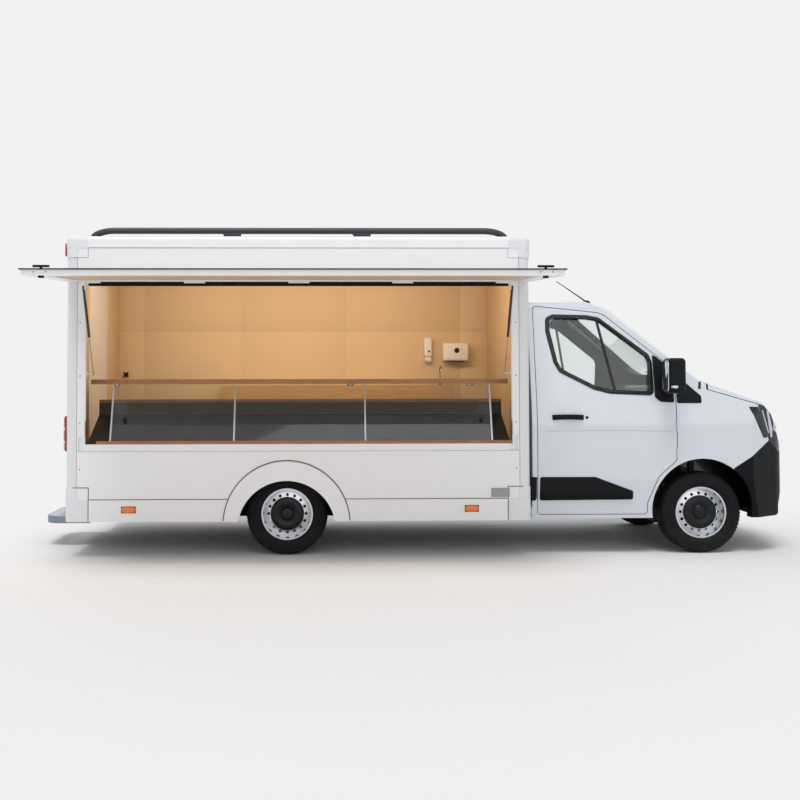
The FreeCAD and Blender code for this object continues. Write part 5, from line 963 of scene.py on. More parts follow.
def block(low: Point, high: Point, round_by: float, segments: int = 3) -> Mesh:
    """Block with rounded edges.

    Args:
        low: Lowest corner.
        high: Highest corner.
        round_by: Radius of the edges.
        segments: Pieces of each round.
    Returns:
        The mesh.
    """
    mesh = bmesh.new()
    size = Vector(high) - Vector(low)
    middle = (Vector(high) + Vector(low)) / 2
    bmesh.ops.create_cube(mesh, size=1.0, matrix=Matrix.Translation(middle) @ Matrix.Diagonal((*size, 1.0)))
    bmesh.ops.bevel(mesh, geom=mesh.edges[:], offset=min(round_by, min(size) * 0.45), segments=segments,
                    profile=0.5, affect="EDGES")
    return mesh


def joined(meshes: Iterable[Mesh]) -> Mesh:
    """Put several meshes together into one.

    Args:
        meshes: Meshes, freed here.
    Returns:
        The joint mesh.
    """
    whole = bmesh.new()
    for mesh in meshes:
        data = bpy.data.meshes.new("joining")
        mesh.to_mesh(data)
        mesh.free()
        whole.from_mesh(data)
        bpy.data.meshes.remove(data)
    return whole


def bowed(low: float, high: float, steps: int) -> list[float]:
    """Even steps from low to high, both included."""
    return [low + (high - low) * k / steps for k in range(steps + 1)]


@dataclass
class Studio:
    """Camera at the photograph's angle, plain floor and soft lamps, in the truck's own frame."""
    builder: Builder
    camera_at: Point = (0.32037, -10.47646, 1.54032)
    yaw: float = 0.02125
    pitch: float = 0.03123
    roll: float = -0.00169
    lens_mm: float = 49.474
    shift_x: float = 0.0655
    shift_y: float = -0.0734
    plain: str = "#f2f2f2"
    world_strength: float = 0.60
    floor_rings: tuple = (8.0, 18.0, 34.0, 60.0)
    floor_sides: int = 64
    floor_mottle_mm: float = 1500.0
    sun_height: float = 12.0
    shop_lamps: tuple = (-0.9, 0.1, 1.1)
    shop_watts: float = 9.5
    suns: tuple = (("key_above", (0.08, 0.36, -0.92), 1.25, 24.0, "#ffffff"),
                   ("front_fill", (-0.10, 0.95, -0.30), 0.34, 40.0, "#fafbff"),
                   ("far_fill", (0.10, -0.85, -0.50), 0.35, 40.0, "#ffffff"))

    def floor_level(self) -> float:
        """Light on the open floor: what a white floor would show."""
        falls = (strength * -Vector(way).normalized().z / math.pi for _, way, strength, _, _ in self.suns)
        return sum(falls, self.world_strength)

    def camera(self) -> None:
        """Place the camera as fitted to the truck's corners in the photograph."""
        data = bpy.data.cameras.new("camera")
        data.lens = self.lens_mm
        data.shift_x = self.shift_x
        data.shift_y = self.shift_y
        data.clip_end = 300.0
        camera = bpy.data.objects.new("camera", data)
        bpy.context.scene.collection.objects.link(camera)
        level = math.cos(self.pitch)
        forward = Vector((math.sin(self.yaw) * level, math.cos(self.yaw) * level, math.sin(self.pitch)))
        right = Vector((math.cos(self.yaw), -math.sin(self.yaw), 0.0))
        up = right.cross(forward)
        right, up = (right * math.cos(self.roll) + up * math.sin(self.roll),
                     up * math.cos(self.roll) - right * math.sin(self.roll))
        camera.matrix_world = Matrix.Translation(Vector(self.camera_at) + self.builder.shift) @ Matrix(
            (right, up, -forward)).transposed().to_4x4()
        bpy.context.scene.camera = camera

    def backdrop_material(self) -> bpy.types.Material:
        """Painted studio floor: pale, with a soft mottle that stays under the eye's threshold.

        Returns:
            Its material.
        """
        material = bpy.data.materials.new("painted_studio_floor")
        material.use_nodes = True
        tree = material.node_tree
        surface = tree.nodes["Principled BSDF"]
        surface.inputs["Roughness"].default_value = 1.0
        surface.inputs["Specular IOR Level"].default_value = 0.0
        place = add_node(tree, "ShaderNodeTexCoord").outputs["Object"]
        mottle = add_node(tree, "ShaderNodeValToRGB",
                          links={"Fac": noise(tree, place, self.floor_mottle_mm, 3.0)})
        shade = linear(self.plain)[0] / self.floor_level()
        for element, share in zip(mottle.color_ramp.elements, (0.998, 1.002)):
            element.color = (shade * share, shade * share, shade * share, 1.0)
        tree.links.new(mottle.outputs["Color"], surface.inputs["Base Color"])
        return material

    def floor(self) -> None:
        """Round pale floor, far larger than the truck."""
        mesh = bmesh.new()
        centre = mesh.verts.new((0, 0, 0))
        sides = self.floor_sides
        turns = bowed(0, 2 * math.pi * (sides - 1) / sides, sides - 1)
        rings = [[mesh.verts.new((radius * math.cos(t), radius * math.sin(t), 0)) for t in turns]
                 for radius in self.floor_rings]
        for k in range(sides):
            mesh.faces.new((centre, rings[0][k], rings[0][(k + 1) % sides]))
        for one, two in zip(rings[:-1], rings[1:]):
            stitch(mesh, two, one)
        data = bpy.data.meshes.new("studio_floor")
        mesh.to_mesh(data)
        mesh.free()
        floor = bpy.data.objects.new("studio_floor", data)
        data.materials.append(self.backdrop_material())
        bpy.context.scene.collection.objects.link(floor)

    def world(self) -> None:
        """Pale surroundings: plain to the eye and in mirrors, softer as a light."""
        world = bpy.data.worlds.new("studio")
        world.use_nodes = True
        bpy.context.scene.world = world
        tree = world.node_tree
        tree.nodes.clear()
        path = add_node(tree, "ShaderNodeLightPath")
        straight = maths(tree, "MAXIMUM", path.outputs["Is Camera Ray"], path.outputs["Is Transmission Ray"])
        seen = maths(tree, "MAXIMUM", straight, path.outputs["Is Glossy Ray"])
        plain = add_node(tree, "ShaderNodeBackground", {"Color": linear(self.plain), "Strength": 1.0})
        lit = add_node(tree, "ShaderNodeBackground",
                       {"Color": linear("#ffffff"), "Strength": self.world_strength})
        mix = add_node(tree, "ShaderNodeMixShader", links={0: seen, 1: lit.outputs["Background"],
                                                           2: plain.outputs["Background"]})
        add_node(tree, "ShaderNodeOutputWorld", links={"Surface": mix.outputs["Shader"]})

    def hang(self, data: bpy.types.Light, at: Vector, way: Vector, color: str) -> None:
        """Colour a lamp, hang it at a place and turn it to a direction.

        Args:
            data: The lamp's own data.
            at: Its place in the truck's frame.
            way: Direction of its light.
            color: Its hex colour.
        """
        data.color = linear(color)[:3]
        lamp = bpy.data.objects.new(data.name, data)
        bpy.context.scene.collection.objects.link(lamp)
        lamp.location = at + self.builder.shift
        lamp.rotation_mode = "QUATERNION"
        lamp.rotation_quaternion = way.to_track_quat("-Z", "Y")

    def sun(self, name: str, way: Point, strength: float, spread_deg: float, color: str) -> None:
        """Broad far lamp, even over the whole floor.

        Args:
            name: Name of the lamp.
            way: Direction that its light travels.
            strength: Strength.
            spread_deg: Apparent width, which softens its shadows.
            color: Colour.
        """
        data = bpy.data.lights.new(name, "SUN")
        data.energy = strength
        data.angle = math.radians(spread_deg)
        self.hang(data, UP * self.sun_height, Vector(way), color)

    def shop_light(self, name: str, at: Point, aim: Point, size: Spot, watts: float) -> None:
        """Warm lamp under the ceiling of the sales room, where a lamp bar hangs.

        Args:
            name: Name of the lamp.
            at: Its place.
            aim: Point that it faces.
            size: Length and width.
            watts: Power.
        """
        data = bpy.data.lights.new(name, "AREA")
        data.shape = "RECTANGLE"
        data.size, data.size_y = size
        data.energy = watts
        self.hang(data, Vector(at), Vector(aim) - Vector(at), "#ffe9c8")

    def build(self) -> None:
        """Set up everything round the truck."""
        self.camera()
        self.floor()
        self.world()
        for name, way, strength, spread, color in self.suns:
            self.sun(name, way, strength, spread, color)
        for index, x in enumerate(self.shop_lamps):
            self.shop_light(f"shop_light_{index}", (x, -0.62, 2.60), (x, 0.9, 1.5), (1.1, 0.25),
                            self.shop_watts)


@dataclass
class Wheels:
    """Tyres with tread and hub covers on all four wheels."""
    builder: Builder
    wheelbase: float = 3.585
    half_track: float = 0.8725
    radius: float = 0.35
    half_width: float = 0.1125
    rim_radius: float = 0.214
    bead: float = 0.088
    tread_depth: float = 0.008
    grooves: tuple = (0.058, 0.022)
    pitches: int = 66
    pitch_steps: tuple = (0.0, 0.06, 0.12, 0.58, 0.64, 0.94)
    block_lean: float = 0.012
    belly_radius: float = 0.282
    cover_face: float = 0.060
    cover_radius: float = 0.145
    cover_steps: tuple = ((0.0145, 0.114), (0.0160, 0.100), (0.0135, 0.090), (0.0070, 0.072), (0.0030, 0.061),
                          (0.0075, 0.056), (0.0150, 0.050), (0.0185, 0.042), (0.0200, 0.025), (0.0204, 0.0))

    def places(self) -> list[tuple[str, float, Side]]:
        """Name, place along the truck and side of each wheel."""
        return [("rear_left", 0.0, Side.LEFT), ("rear_right", 0.0, Side.RIGHT),
                ("front_left", self.wheelbase, Side.LEFT), ("front_right", self.wheelbase, Side.RIGHT)]

    def section(self) -> list[tuple[float, float, int]]:
        """Outer section of the tyre: axial place, radius and kind of tread.

        Returns:
            Points; kind 0 is wall, 1 is block, 2 is the bottom of a groove.
        """
        half, top, depth = self.half_width, self.radius, self.tread_depth
        rim = self.rim_radius
        wall = [(self.bead - 0.014, rim + 0.001), (self.bead, rim + 0.002), (self.bead + 0.004, rim + 0.009),
                (half - 0.012, rim + 0.020), (half - 0.005, rim + 0.034), (half - 0.0015, rim + 0.050),
                (half, rim + 0.056), (half, rim + 0.060), (half - 0.0015, rim + 0.064),
                (half - 0.0035, rim + 0.088), (half - 0.0055, rim + 0.100), (half - 0.0045, rim + 0.102),
                (half - 0.0100, rim + 0.113)]
        points = [(y, r, 0) for y, r in wall]
        points += [(half - 0.0150, top - 0.0150, 1), (half - 0.0220, top - 0.0062, 1),
                   (half - 0.0320, top - 0.0022, 1)]
        for groove in self.grooves:
            points += [(groove + 0.0045, top - 0.0008, 1), (groove + 0.0035, top - depth, 2),
                       (groove - 0.0035, top - depth, 2), (groove - 0.0045, top - 0.0003, 1)]
        return points + [(-y, r, kind) for y, r, kind in reversed(points)]

    def tyre(self, x: float, side: Side) -> Mesh:
        """Tyre with two pairs of grooves and slots between its blocks.

        Args:
            x: Wheel's place along the truck.
            side: Side of the truck.
        Returns:
            The mesh.
        """
        outer = self.section()
        lining = [(self.half_width - 0.045, self.radius - 0.016),
                  (self.half_width - 0.016, self.belly_radius)]
        inner = [(-y, r) for y, r in reversed(lining)] + lining
        mesh = bmesh.new()
        steps = self.pitch_steps
        turns = [2 * math.pi * (k + s) / self.pitches for k in range(self.pitches) for s in steps]
        centre = Vector((x, side.value * self.half_track, self.radius))

        def vert(y: float, r: float, turn: float) -> Vert:
            """Point of the tyre by its axial place, radius and turn."""
            return mesh.verts.new(centre + Vector((r * math.cos(turn), side.value * y, r * math.sin(turn))))

        rings = []
        for index, turn in enumerate(turns):
            ring = []
            for y, r, kind in outer:
                lean = math.copysign(self.block_lean, y) * min(abs(y) / self.half_width, 1.0)
                sunk = kind == 1 and index % len(steps) in (1, 2) and abs(y) > 0.028
                depth = self.tread_depth * 0.8 if r > self.radius - 0.012 else 0.003
                ring.append(vert(y, r - depth if sunk else r, turn + lean))
            ring += [vert(y, r, turn) for y, r in inner]
            rings.append(ring)
        for one, two in zip(rings, rings[1:] + rings[:1]):
            stitch(mesh, one, two)
        bmesh.ops.recalc_face_normals(mesh, faces=mesh.faces)
        return mesh

    def cover(self, x: float, side: Side) -> Mesh:
        """Black hub cover with a raised rim, a dish and a middle dome, laid over the wheel's own.

        Args:
            x: Wheel's place along the truck.
            side: Side of the truck.
        Returns:
            The mesh.
        """
        face = self.cover_face
        profile = [(face - 0.004, self.cover_radius), (face + 0.0035, self.cover_radius - 0.001),
                   (face + 0.0075, self.cover_radius - 0.008)]
        profile += [(face + out, radius) for out, radius in self.cover_steps]
        centre = Vector((x, side.value * self.half_track, self.radius))
        return turned(centre, side.out, profile, 64)

    def build(self) -> None:
        """Replace the four plain tyres and dress the rims."""
        for name, x, side in self.places():
            tyre = self.builder.add(f"tyre_tread_{name}", self.tyre(x, side), TYRE, f"wheel_{name}",
                                    "tyre_rubber", 28)
            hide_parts(f"tyre_{name}")
            self.builder.add(f"hub_cover_{name}", self.cover(x, side), HUB_BLACK, f"wheel_{name}",
                             "black_plastic", 40)
            self.builder.dress(f"rim_{name}", WHEEL_SILVER)


@dataclass
class CabTrim:
    """Black cladding, window frames, handles, mirror sails and lamp lenses of the cab."""
    builder: Builder
    proud: float = 0.012
    cladding: tuple = ((2.172, 0.668), (2.652, 0.667), (2.982, 0.544), (2.983, 0.468), (2.172, 0.462))
    pillar_cladding: tuple = ((2.098, 0.668), (2.160, 0.668), (2.160, 0.462), (2.098, 0.462))
    frame_outer: tuple = ((2.262, 2.046), (2.325, 2.078), (2.626, 2.070), (2.735, 2.050), (3.155, 1.724),
                          (3.180, 1.655), (3.180, 1.362), (2.810, 1.378), (2.662, 1.412), (2.362, 1.566),
                          (2.316, 1.650), (2.258, 1.925))
    sail_door: tuple = ((3.183, 1.722), (3.222, 1.700), (3.282, 1.650), (3.342, 1.598), (3.352, 1.575),
                        (3.352, 1.300), (3.231, 1.308), (3.183, 1.350))
    lip: tuple = ((2.172, 0.545), (2.975, 0.538), (2.975, 0.474), (2.172, 0.470))
    window_bar: tuple = ((2.700, 2.052), (2.724, 2.050), (2.862, 1.385), (2.836, 1.388))
    handle_recess: tuple = ((2.392, 1.232), (2.488, 1.231), (2.494, 1.128), (2.386, 1.128))
    handle_x: Spot = (2.289, 2.551)
    handle_z: float = 1.176
    handle_section: tuple = ((-0.007, -0.022), (-0.007, 0.022), (0.007, 0.022), (0.007, -0.022))
    lock_x: float = 2.585
    lock: tuple = ((0, 0.013), (0.004, 0.013), (0.005, 0.011), (0.004, 0.009), (0.0045, 0.0))
    sail_wing: tuple = ((3.372, 1.560), (3.443, 1.492), (3.588, 1.360), (3.592, 1.296), (3.372, 1.296))
    # Painted shade lines along the door's crease and its belt line: lower and upper edges in x and z.
    creases: tuple = (("door_crease_painted_shade", ((2.205, 1.056), (2.80, 1.060), (3.345, 1.052)),
                       ((2.205, 1.063), (2.80, 1.068), (3.345, 1.060))),
                      ("door_belt_line", ((2.205, 1.212), (2.355, 1.211)),
                       ((2.205, 1.2155), (2.355, 1.2145))))
    lamp_wing: tuple = ((3.992, 1.268), (4.090, 1.264), (4.118, 1.200), (4.186, 1.050), (4.203, 0.990),
                        (4.150, 0.992))
    lamp_strips: tuple = (((4.190, 1.232), (4.214, 1.228), (4.262, 1.070), (4.258, 0.990), (4.238, 0.992)),
                          ((4.130, 1.236), (4.146, 1.234), (4.222, 1.030), (4.208, 1.028)))

    def side_lay(self, skin: Skin, side: Side, reach: float = 0.0) -> Lay:
        """Lay for patches on a flank, on the higher side of a step where a reach is given.

        Args:
            skin: Surface.
            side: Flank.
            reach: How far around a point a step counts.
        Returns:
            Function from x and z to point and normal.
        """
        def lay(x: float, z: float) -> tuple[Vector, Vector]:
            """Point and normal on the flank or its crest.

            Args:
                x: Place along the truck.
                z: Height.
            Returns:
                Point and normal.
            """
            point, normal = skin.side_point(x, z, side)
            if reach:
                near = [skin.side_point(x + dx * reach, z + dz * reach, side)[0].y
                        for dx, dz in ((1, 0), (-1, 0), (0, 1), (0, -1))]
                point.y = max(near + [point.y], key=abs)
            return point, normal
        return lay

    def patch(self, name: str, outline: Outline, skin: Skin, side: Side, body: str,
              finish: Finish, slot: str, proud: float, edge: float, step: float,
              holes: Sequence = (), crest: float = 0.0) -> bpy.types.Object:
        """Moulding on a flank.

        Args:
            name: Piece name.
            outline: Outline in x and z.
            skin: Surface that carries it.
            side: Flank.
            body: Body it rides on.
            finish: Finish.
            slot: Material slot.
            proud: Height over the surface.
            edge: Rounded rim.
            step: Point spacing.
            holes: Openings.
            crest: Reach over which the highest surface near a point carries it.
        Returns:
            The piece.
        """
        mesh = laid_patch(outline, self.side_lay(skin, side, crest), proud, edge, step, holes=holes)
        return self.builder.add(name, face_outwards(mesh, side.out), finish, body, slot, 40)

    def door(self, side: Side) -> None:
        """Cladding, window frame, bar, painted crease shades and handle of one door.

        Args:
            side: Side of the truck.
        """
        body = f"cab_door_{side.word}"
        skin = Skin(self.builder, [f"door_{side.word}"])
        glass = Skin(self.builder, [f"door_{side.word}", f"door_glass_{side.word}"])
        self.patch(f"door_cladding_{side.word}", rounded_outline(self.cladding, 0.022), skin, side, body,
                   BLACK_PLASTIC, "black_plastic", self.proud, 0.014, 0.035)
        self.patch(f"door_cladding_lip_{side.word}", rounded_outline(self.lip, 0.010), skin, side, body,
                   BUMPER_PLASTIC, "black_plastic", self.proud + 0.006, 0.010, 0.035)
        outer = rounded_outline(self.frame_outer, 0.05)
        inner = rounded_outline(shrunk(self.frame_outer, 0.040), 0.045)
        self.patch(f"window_frame_{side.word}", outer, glass, side, body, WINDOW_BLACK, "black_plastic",
                   0.006, 0.006, 0.014, holes=(inner,), crest=0.009)
        self.patch(f"window_bar_{side.word}", self.window_bar, glass, side, body, WINDOW_BLACK,
                   "black_plastic", 0.008, 0.005, 0.02)
        self.patch(f"door_handle_recess_{side.word}", rounded_outline(self.handle_recess, 0.04, 8), skin,
                   side, body, CAB_PAINT_WITH_PAINTED_SHADE, "paint_white", 0.005, 0.02, 0.012)
        # Painted shade: darker copies of the paint along the crease and the belt line.
        for name, lower, upper in self.creases:
            self.patch(f"{name}_{side.word}", tuple(lower) + tuple(reversed(upper)), skin, side, body,
                       PAINTED_CREASE_SHADE, "paint_white", 0.0006, 0.002, 0.03)
        self.handle(side, body, skin)

    def sails(self, side: Side) -> None:
        """Mirror sail in two parts, lens and strips on the headlamp's flank, and the pillar's cladding.

        Args:
            side: Side of the truck.
        """
        door = Skin(self.builder, [f"door_{side.word}", f"door_glass_{side.word}"])
        wing = Skin(self.builder, ["front_wings", "bonnet", "cab_shell"])
        shell = Skin(self.builder, ["cab_shell"])
        self.patch(f"mirror_sail_{side.word}", rounded_outline(self.sail_door, 0.02), door, side,
                   f"cab_door_{side.word}", BLACK_PLASTIC, "black_plastic", 0.010, 0.012, 0.02)
        self.patch(f"wing_sail_{side.word}", rounded_outline(self.sail_wing, 0.02), wing, side, "vehicle",
                   BLACK_PLASTIC, "black_plastic", 0.010, 0.012, 0.02)
        lamp = Skin(self.builder, ["headlamps", "front_wings"])
        self.patch(f"lamp_lens_{side.word}", rounded_outline(self.lamp_wing, 0.012), lamp, side, "vehicle",
                   LAMP_DARK, "black_plastic", 0.004, 0.006, 0.02)
        for index, outline in enumerate(self.lamp_strips):
            self.patch(f"lamp_strip_{side.word}_{index}", rounded_outline(outline, 0.006), lamp, side,
                       "vehicle", LAMP_CLEAR, "lamp_clear", 0.003, 0.005, 0.012)
        self.patch(f"pillar_cladding_{side.word}", rounded_outline(self.pillar_cladding, 0.008), shell, side,
                   "vehicle", BLACK_PLASTIC, "black_plastic", self.proud, 0.010, 0.03)

    def handle(self, side: Side, body: str, skin: Skin) -> None:
        """Bar handle on two feet, and the lock beside it.

        Args:
            side: Side of the truck.
            body: Body that it rides on.
            skin: Door surface.
        """
        points = []
        for share in bowed(0.0, 1.0, 18):
            x = self.handle_x[0] + (self.handle_x[1] - self.handle_x[0]) * share
            base, normal = skin.side_point(x, self.handle_z, side)
            points.append(base + normal * (0.004 + 0.034 * math.sin(math.pi * share) ** 0.45))
        mesh = swept(points, rounded_outline(self.handle_section, 0.006, 3), UP)
        self.builder.add(f"door_handle_{side.word}", mesh, BLACK_PLASTIC, body, "black_plastic", 40)
        lock, normal = skin.side_point(self.lock_x, self.handle_z, side)
        self.builder.add(f"door_lock_{side.word}", turned(lock - normal * 0.002, normal, self.lock, 24),
                         BLACK_PLASTIC, body, "black_plastic", 40)

    def build(self) -> None:
        """Dress both sides of the cab."""
        for side in Side:
            self.door(side)
            self.sails(side)


def shrunk(outline: Outline, by: float) -> list[Spot]:
    """Outline moved inwards.

    Args:
        outline: Corners in order.
        by: Distance.
    Returns:
        Corners of the smaller outline.
    """
    points = [Vector(p) for p in outline]
    count = len(points)
    area = sum(points[i].cross(points[(i + 1) % count]) for i in range(count))
    turn = 1 if area > 0 else -1
    moved = []
    for i, point in enumerate(points):
        one = (point - points[i - 1]).normalized()
        two = (points[(i + 1) % count] - point).normalized()
        n1, n2 = Vector((-one.y, one.x)) * turn, Vector((-two.y, two.x)) * turn
        middle = (n1 + n2).normalized()
        moved.append(tuple(point + middle * (by / max(middle.dot(n1), 0.3))))
    return moved


def flat_lay(axis: int, level: float, way: Vector) -> Lay:
    """Lay for patches on a flat face.

    Args:
        axis: 0, 1 or 2 for the axis that the face is square to.
        level: Place of the face on it.
        way: Outward normal.
    Returns:
        Function from the two other coordinates, in X, Y, Z order, to point and normal.
    """
    def lay(a: float, b: float) -> tuple[Vector, Vector]:
        """Point and normal on the flat face.

        Args:
            a: First of the two other coordinates.
            b: Second of them.
        Returns:
            Point and normal.
        """
        parts = [a, b]
        parts.insert(axis, level)
        return Vector(parts), way
    return lay


def cast_lay(skin: Skin, axis: int, start: float, way: Vector) -> Lay:
    """Lay for patches on a surface that rays find.

    Args:
        skin: Surface.
        axis: 0, 1 or 2 for the axis that the rays follow.
        start: Place on it that they start from.
        way: Their direction.
    Returns:
        Function from the two other coordinates, in X, Y, Z order, to point and normal.
    """
    def lay(a: float, b: float) -> tuple[Vector, Vector]:
        """Point and normal where the ray lands.

        Args:
            a: First of the two other coordinates.
            b: Second of them.
        Returns:
            Point and normal.
        """
        parts = [a, b]
        parts.insert(axis, start)
        found = skin.hit(Vector(parts), way)
        if not found:
            raise ValueError(f"no surface at {a:.3f} {b:.3f}")
        return found
    return lay


def frame_of(low: Spot, high: Spot) -> list[Spot]:
    """Corners of an upright rectangle."""
    return [(low[0], low[1]), (high[0], low[1]), (high[0], high[1]), (low[0], high[1])]


def blank_plate(builder: Builder, name: str, plate: tuple[Spot, Spot], back: float, face: float,
                eased: float) -> None:
    """Blank plate in a black holder, which faces from back to face.

    Args:
        builder: Makes the pieces.
        name: First word of both names.
        plate: Lowest and highest corner in y and z.
        back: Place of the holder's back along the truck.
        face: Place of its face.
        eased: Radius of its edges.
    """
    (y0, z0), (y1, z1) = plate
    near, far = sorted((back, face))
    rim = block((near, y0 - 0.008, z0 - 0.008), (far, y1 + 0.008, z1 + 0.008), eased)
    builder.add(f"{name}_plate_holder", rim, BLACK_PLASTIC, "vehicle", "black_plastic")
    way = AHEAD if face > back else ASTERN
    mesh = laid_patch(rounded_outline(frame_of(*plate), 0.008), flat_lay(0, face, way), 0.0015, 0.004, 0.04,
                      sink=0.0005)
    builder.add(f"{name}_plate_blank", face_outwards(mesh, way), PLATE, "vehicle", "lamp_clear")


@dataclass
class BoxTrim:
    """Markers, bare plates, screws, joint lines, liners, seal and rails outside the sales box."""
    builder: Builder
    half_width: float = 1.1
    opening_x: Spot = (-1.711, 1.930)
    opening_top: float = 2.318
    latch_top: float = 1.16
    marker_z: Spot = (0.383, 0.435)
    marker_x: tuple = ((-1.395, -1.277), (1.517, 1.632))
    bezel_proud: float = 0.006
    skirt_y: float = 1.106
    plate: tuple = ((1.743, 0.506), (1.899, 0.581))
    screw_z: tuple = (0.751, 1.141, 1.541, 1.994)
    screw_x: tuple = (-1.752, 1.960)
    screw: tuple = ((-0.001, 0.0065), (0.0012, 0.0062), (0.0028, 0.0045), (0.0034, 0.0022), (0.0024, 0.002),
                    (0.0024, 0.0))
    flare_radius: float = 0.5385
    flare_z: float = 0.282
    flare_foot_z: float = 0.4925
    skirt_line_z: float = 0.4935
    cap_line_z: float = 0.595
    liner_y: Spot = (0.722, 1.050)
    liner_x: float = 0.446
    bay_plate: tuple = ((3.88, 0.500, 0.33), (4.31, 0.503, 1.06))
    seal_z: float = 2.357
    seal_x: Spot = (-1.684, 1.900)
    seal: tuple = ((0.0008, 0.0), (-0.0012, 0.0), (-0.0016, -0.020), (-0.0014, -0.036), (-0.0026, -0.043),
                   (-0.0026, -0.049), (0.0010, -0.052), (0.0040, -0.047), (0.0040, -0.040), (0.0008, -0.036))
    roof_seam_x: tuple = (-0.55, 0.77)
    roof_foot_z: float = 2.7342
    rail_rear: tuple = (-1.48, -1.672)
    rail_front: tuple = (1.70, 1.892)
    rail_y: float = 0.985
    rail_z: float = 2.793
    rail_drop: float = 0.075
    rail_radius: float = 0.0278
    rail_supports: tuple = ((-0.560, -0.395), (0.560, 0.725))

    def markers(self) -> None:
        """Amber side markers in black bezels, two on each skirt."""
        for side in Side:
            y = side.value * self.skirt_y
            face = y + side.value * self.bezel_proud
            z0, z1 = self.marker_z
            for index, (x0, x1) in enumerate(self.marker_x):
                bezel = block((x0 - 0.002, min(y, face), z0 - 0.002),
                              (x1 + 0.002, max(y, face), z1 + 0.002), 0.004)
                self.builder.add(f"marker_bezel_{side.word}_{index}", bezel, BLACK_PLASTIC, "vehicle",
                                 "black_plastic")
                mesh = laid_patch(rounded_outline(frame_of((x0, z0), (x1, z1)), 0.024),
                                  flat_lay(1, face, side.out), 0.010, 0.012, 0.008)
                self.builder.add(f"marker_lens_{side.word}_{index}", face_outwards(mesh, side.out),
                                 AMBER, "vehicle", "lamp_red", 50)

    def plates(self) -> None:
        """Small bare grey plate over the front end of each skirt."""
        for side in Side:
            mesh = laid_patch(rounded_outline(frame_of(*self.plate), 0.006),
                              flat_lay(1, side.value * (self.skirt_y - 0.001), side.out), 0.004, 0.004, 0.02)
            self.builder.add(f"bare_plate_{side.word}", face_outwards(mesh, side.out), PLATE,
                             "vehicle", "lamp_clear")

    def screws(self) -> None:
        """Raised screw heads along both jambs of the opening, in one piece."""
        heads = [turned(Vector((x, -self.half_width, z)), RIGHTWARD, self.screw, 20)
                 for x in self.screw_x for z in self.screw_z]
        self.builder.add("jamb_screws", joined(heads), ZINC, "vehicle", "strut_steel")

    def seam(self, points: Outline, skin: Skin, side: Side, width: float, proud: float) -> Mesh:
        """Joint line laid on a flank.

        Args:
            points: Corners of the line in x and z.
            skin: Surface that carries it.
            side: Flank.
            width: Width of the line.
            proud: Height over the surface.
        Returns:
            The mesh.
        """
        corners = [Vector(p) for p in points]
        path = []
        for one, two in zip(corners[:-1], corners[1:]):
            pieces = max(1, round((two - one).length / 0.06))
            path.extend(one.lerp(two, k / pieces) for k in range(pieces))
        path.append(corners[-1])
        laid = [skin.side_point(p.x, p.y, side)[0] for p in path]
        half = width / 2
        section = [(-half, -0.0008), (half, -0.0008), (half * 0.7, proud), (-half * 0.7, proud)]
        return swept(laid, section, side.out)

    def seams(self) -> None:
        """Dark joint lines round flares, caps and skirts, and the fine ones of posts and moulding."""
        for side in Side:
            wall = "box_far_wall" if side is Side.LEFT else "sales_wall"
            skin = Skin(self.builder, [wall, "side_skirts", "corner_posts"])
            turn = math.radians(3.4)
            arc = [(self.flare_radius * math.cos(t), self.flare_z + self.flare_radius * math.sin(t))
                   for t in bowed(turn, math.pi - turn, 48)]
            half = math.sqrt((self.flare_radius + 0.006) ** 2 - (self.flare_foot_z - self.flare_z) ** 2)
            z = self.skirt_line_z
            dark = [(arc, 0.0075, 0.003), (((-1.676, z), (-half, z)), 0.005, 0.004),
                    (((half, z), (1.886, z)), 0.005, 0.004)]
            z = self.cap_line_z
            for x0, x1 in ((-1.862, -1.676), (2.072, 1.886)):
                for line in (((x0, z), (x1, z)), ((x1, z), (x1, 0.497)), ((x1, 0.489), (x1, 0.312))):
                    dark.append((line, 0.006, 0.003))
            self.builder.add(f"dark_joints_{side.word}", joined(
                self.seam(line, skin, side, width, proud) for line, width, proud in dark),
                SEAL, "vehicle", "seal_rubber")
            z = 2.5475
            fine = [(line, 0.004) for x0, x1 in ((-1.862, -1.687), (2.072, 1.897))
                    for line in (((x0, z), (x1, z)), ((x1, z), (x1, 2.631)))]
            fine.append((((-1.684, 2.632), (1.894, 2.632)), 0.004))
            fine += [(((x, 0.60), (x, 2.54)), 0.004) for x in (-1.7775, 1.9885)]
            if side is Side.RIGHT:
                fine.append((((-1.772, 0.900), (1.983, 0.900)), 0.003))
            self.builder.add(f"fine_joints_{side.word}", joined(
                self.seam(line, skin, side, width, 0.0014) for line, width in fine),
                SEALANT, "vehicle", "seal_rubber")

    def liners(self) -> None:
        """Felted liners in the rear wheelhouses, with hanging ends, and plates beside the engine bay."""
        inner, outer = self.liner_y
        x_end = self.liner_x
        for side in Side:
            line = [(-x_end, 0.300), (-x_end, 0.560)]
            line += [(-0.400 * math.cos(t), 0.560 + 0.185 * math.sin(t))
                     for t in bowed(0.25, math.pi - 0.25, 14)]
            line += [(x_end, 0.560), (x_end, 0.300)]
            mesh = bmesh.new()
            rows = [[mesh.verts.new((x, side.value * y, z)) for y in bowed(inner, outer, 6)] for x, z in line]
            for one, two in zip(rows[:-1], rows[1:]):
                stitch(mesh, one, two, closed=False)
            bmesh.ops.recalc_face_normals(mesh, faces=mesh.faces)
            bmesh.ops.solidify(mesh, geom=mesh.faces[:], thickness=0.003)
            plates = [((x0, inner, 0.305), (x1, inner + 0.003, 0.58))
                      for x0, x1 in ((-x_end, -0.29), (0.29, x_end))]
            flaps = []
            for (x0, y0, z0), (x1, y1, z1) in (*plates, self.bay_plate):
                near, far = sorted((side.value * y0, side.value * y1))
                flaps.append(block((x0, near, z0), (x1, far, z1), 0.001, 2))
            self.builder.add(f"wheelhouse_liner_{side.word}", joined([mesh, *flaps]), LINER, "vehicle",
                             "black_plastic", 30)

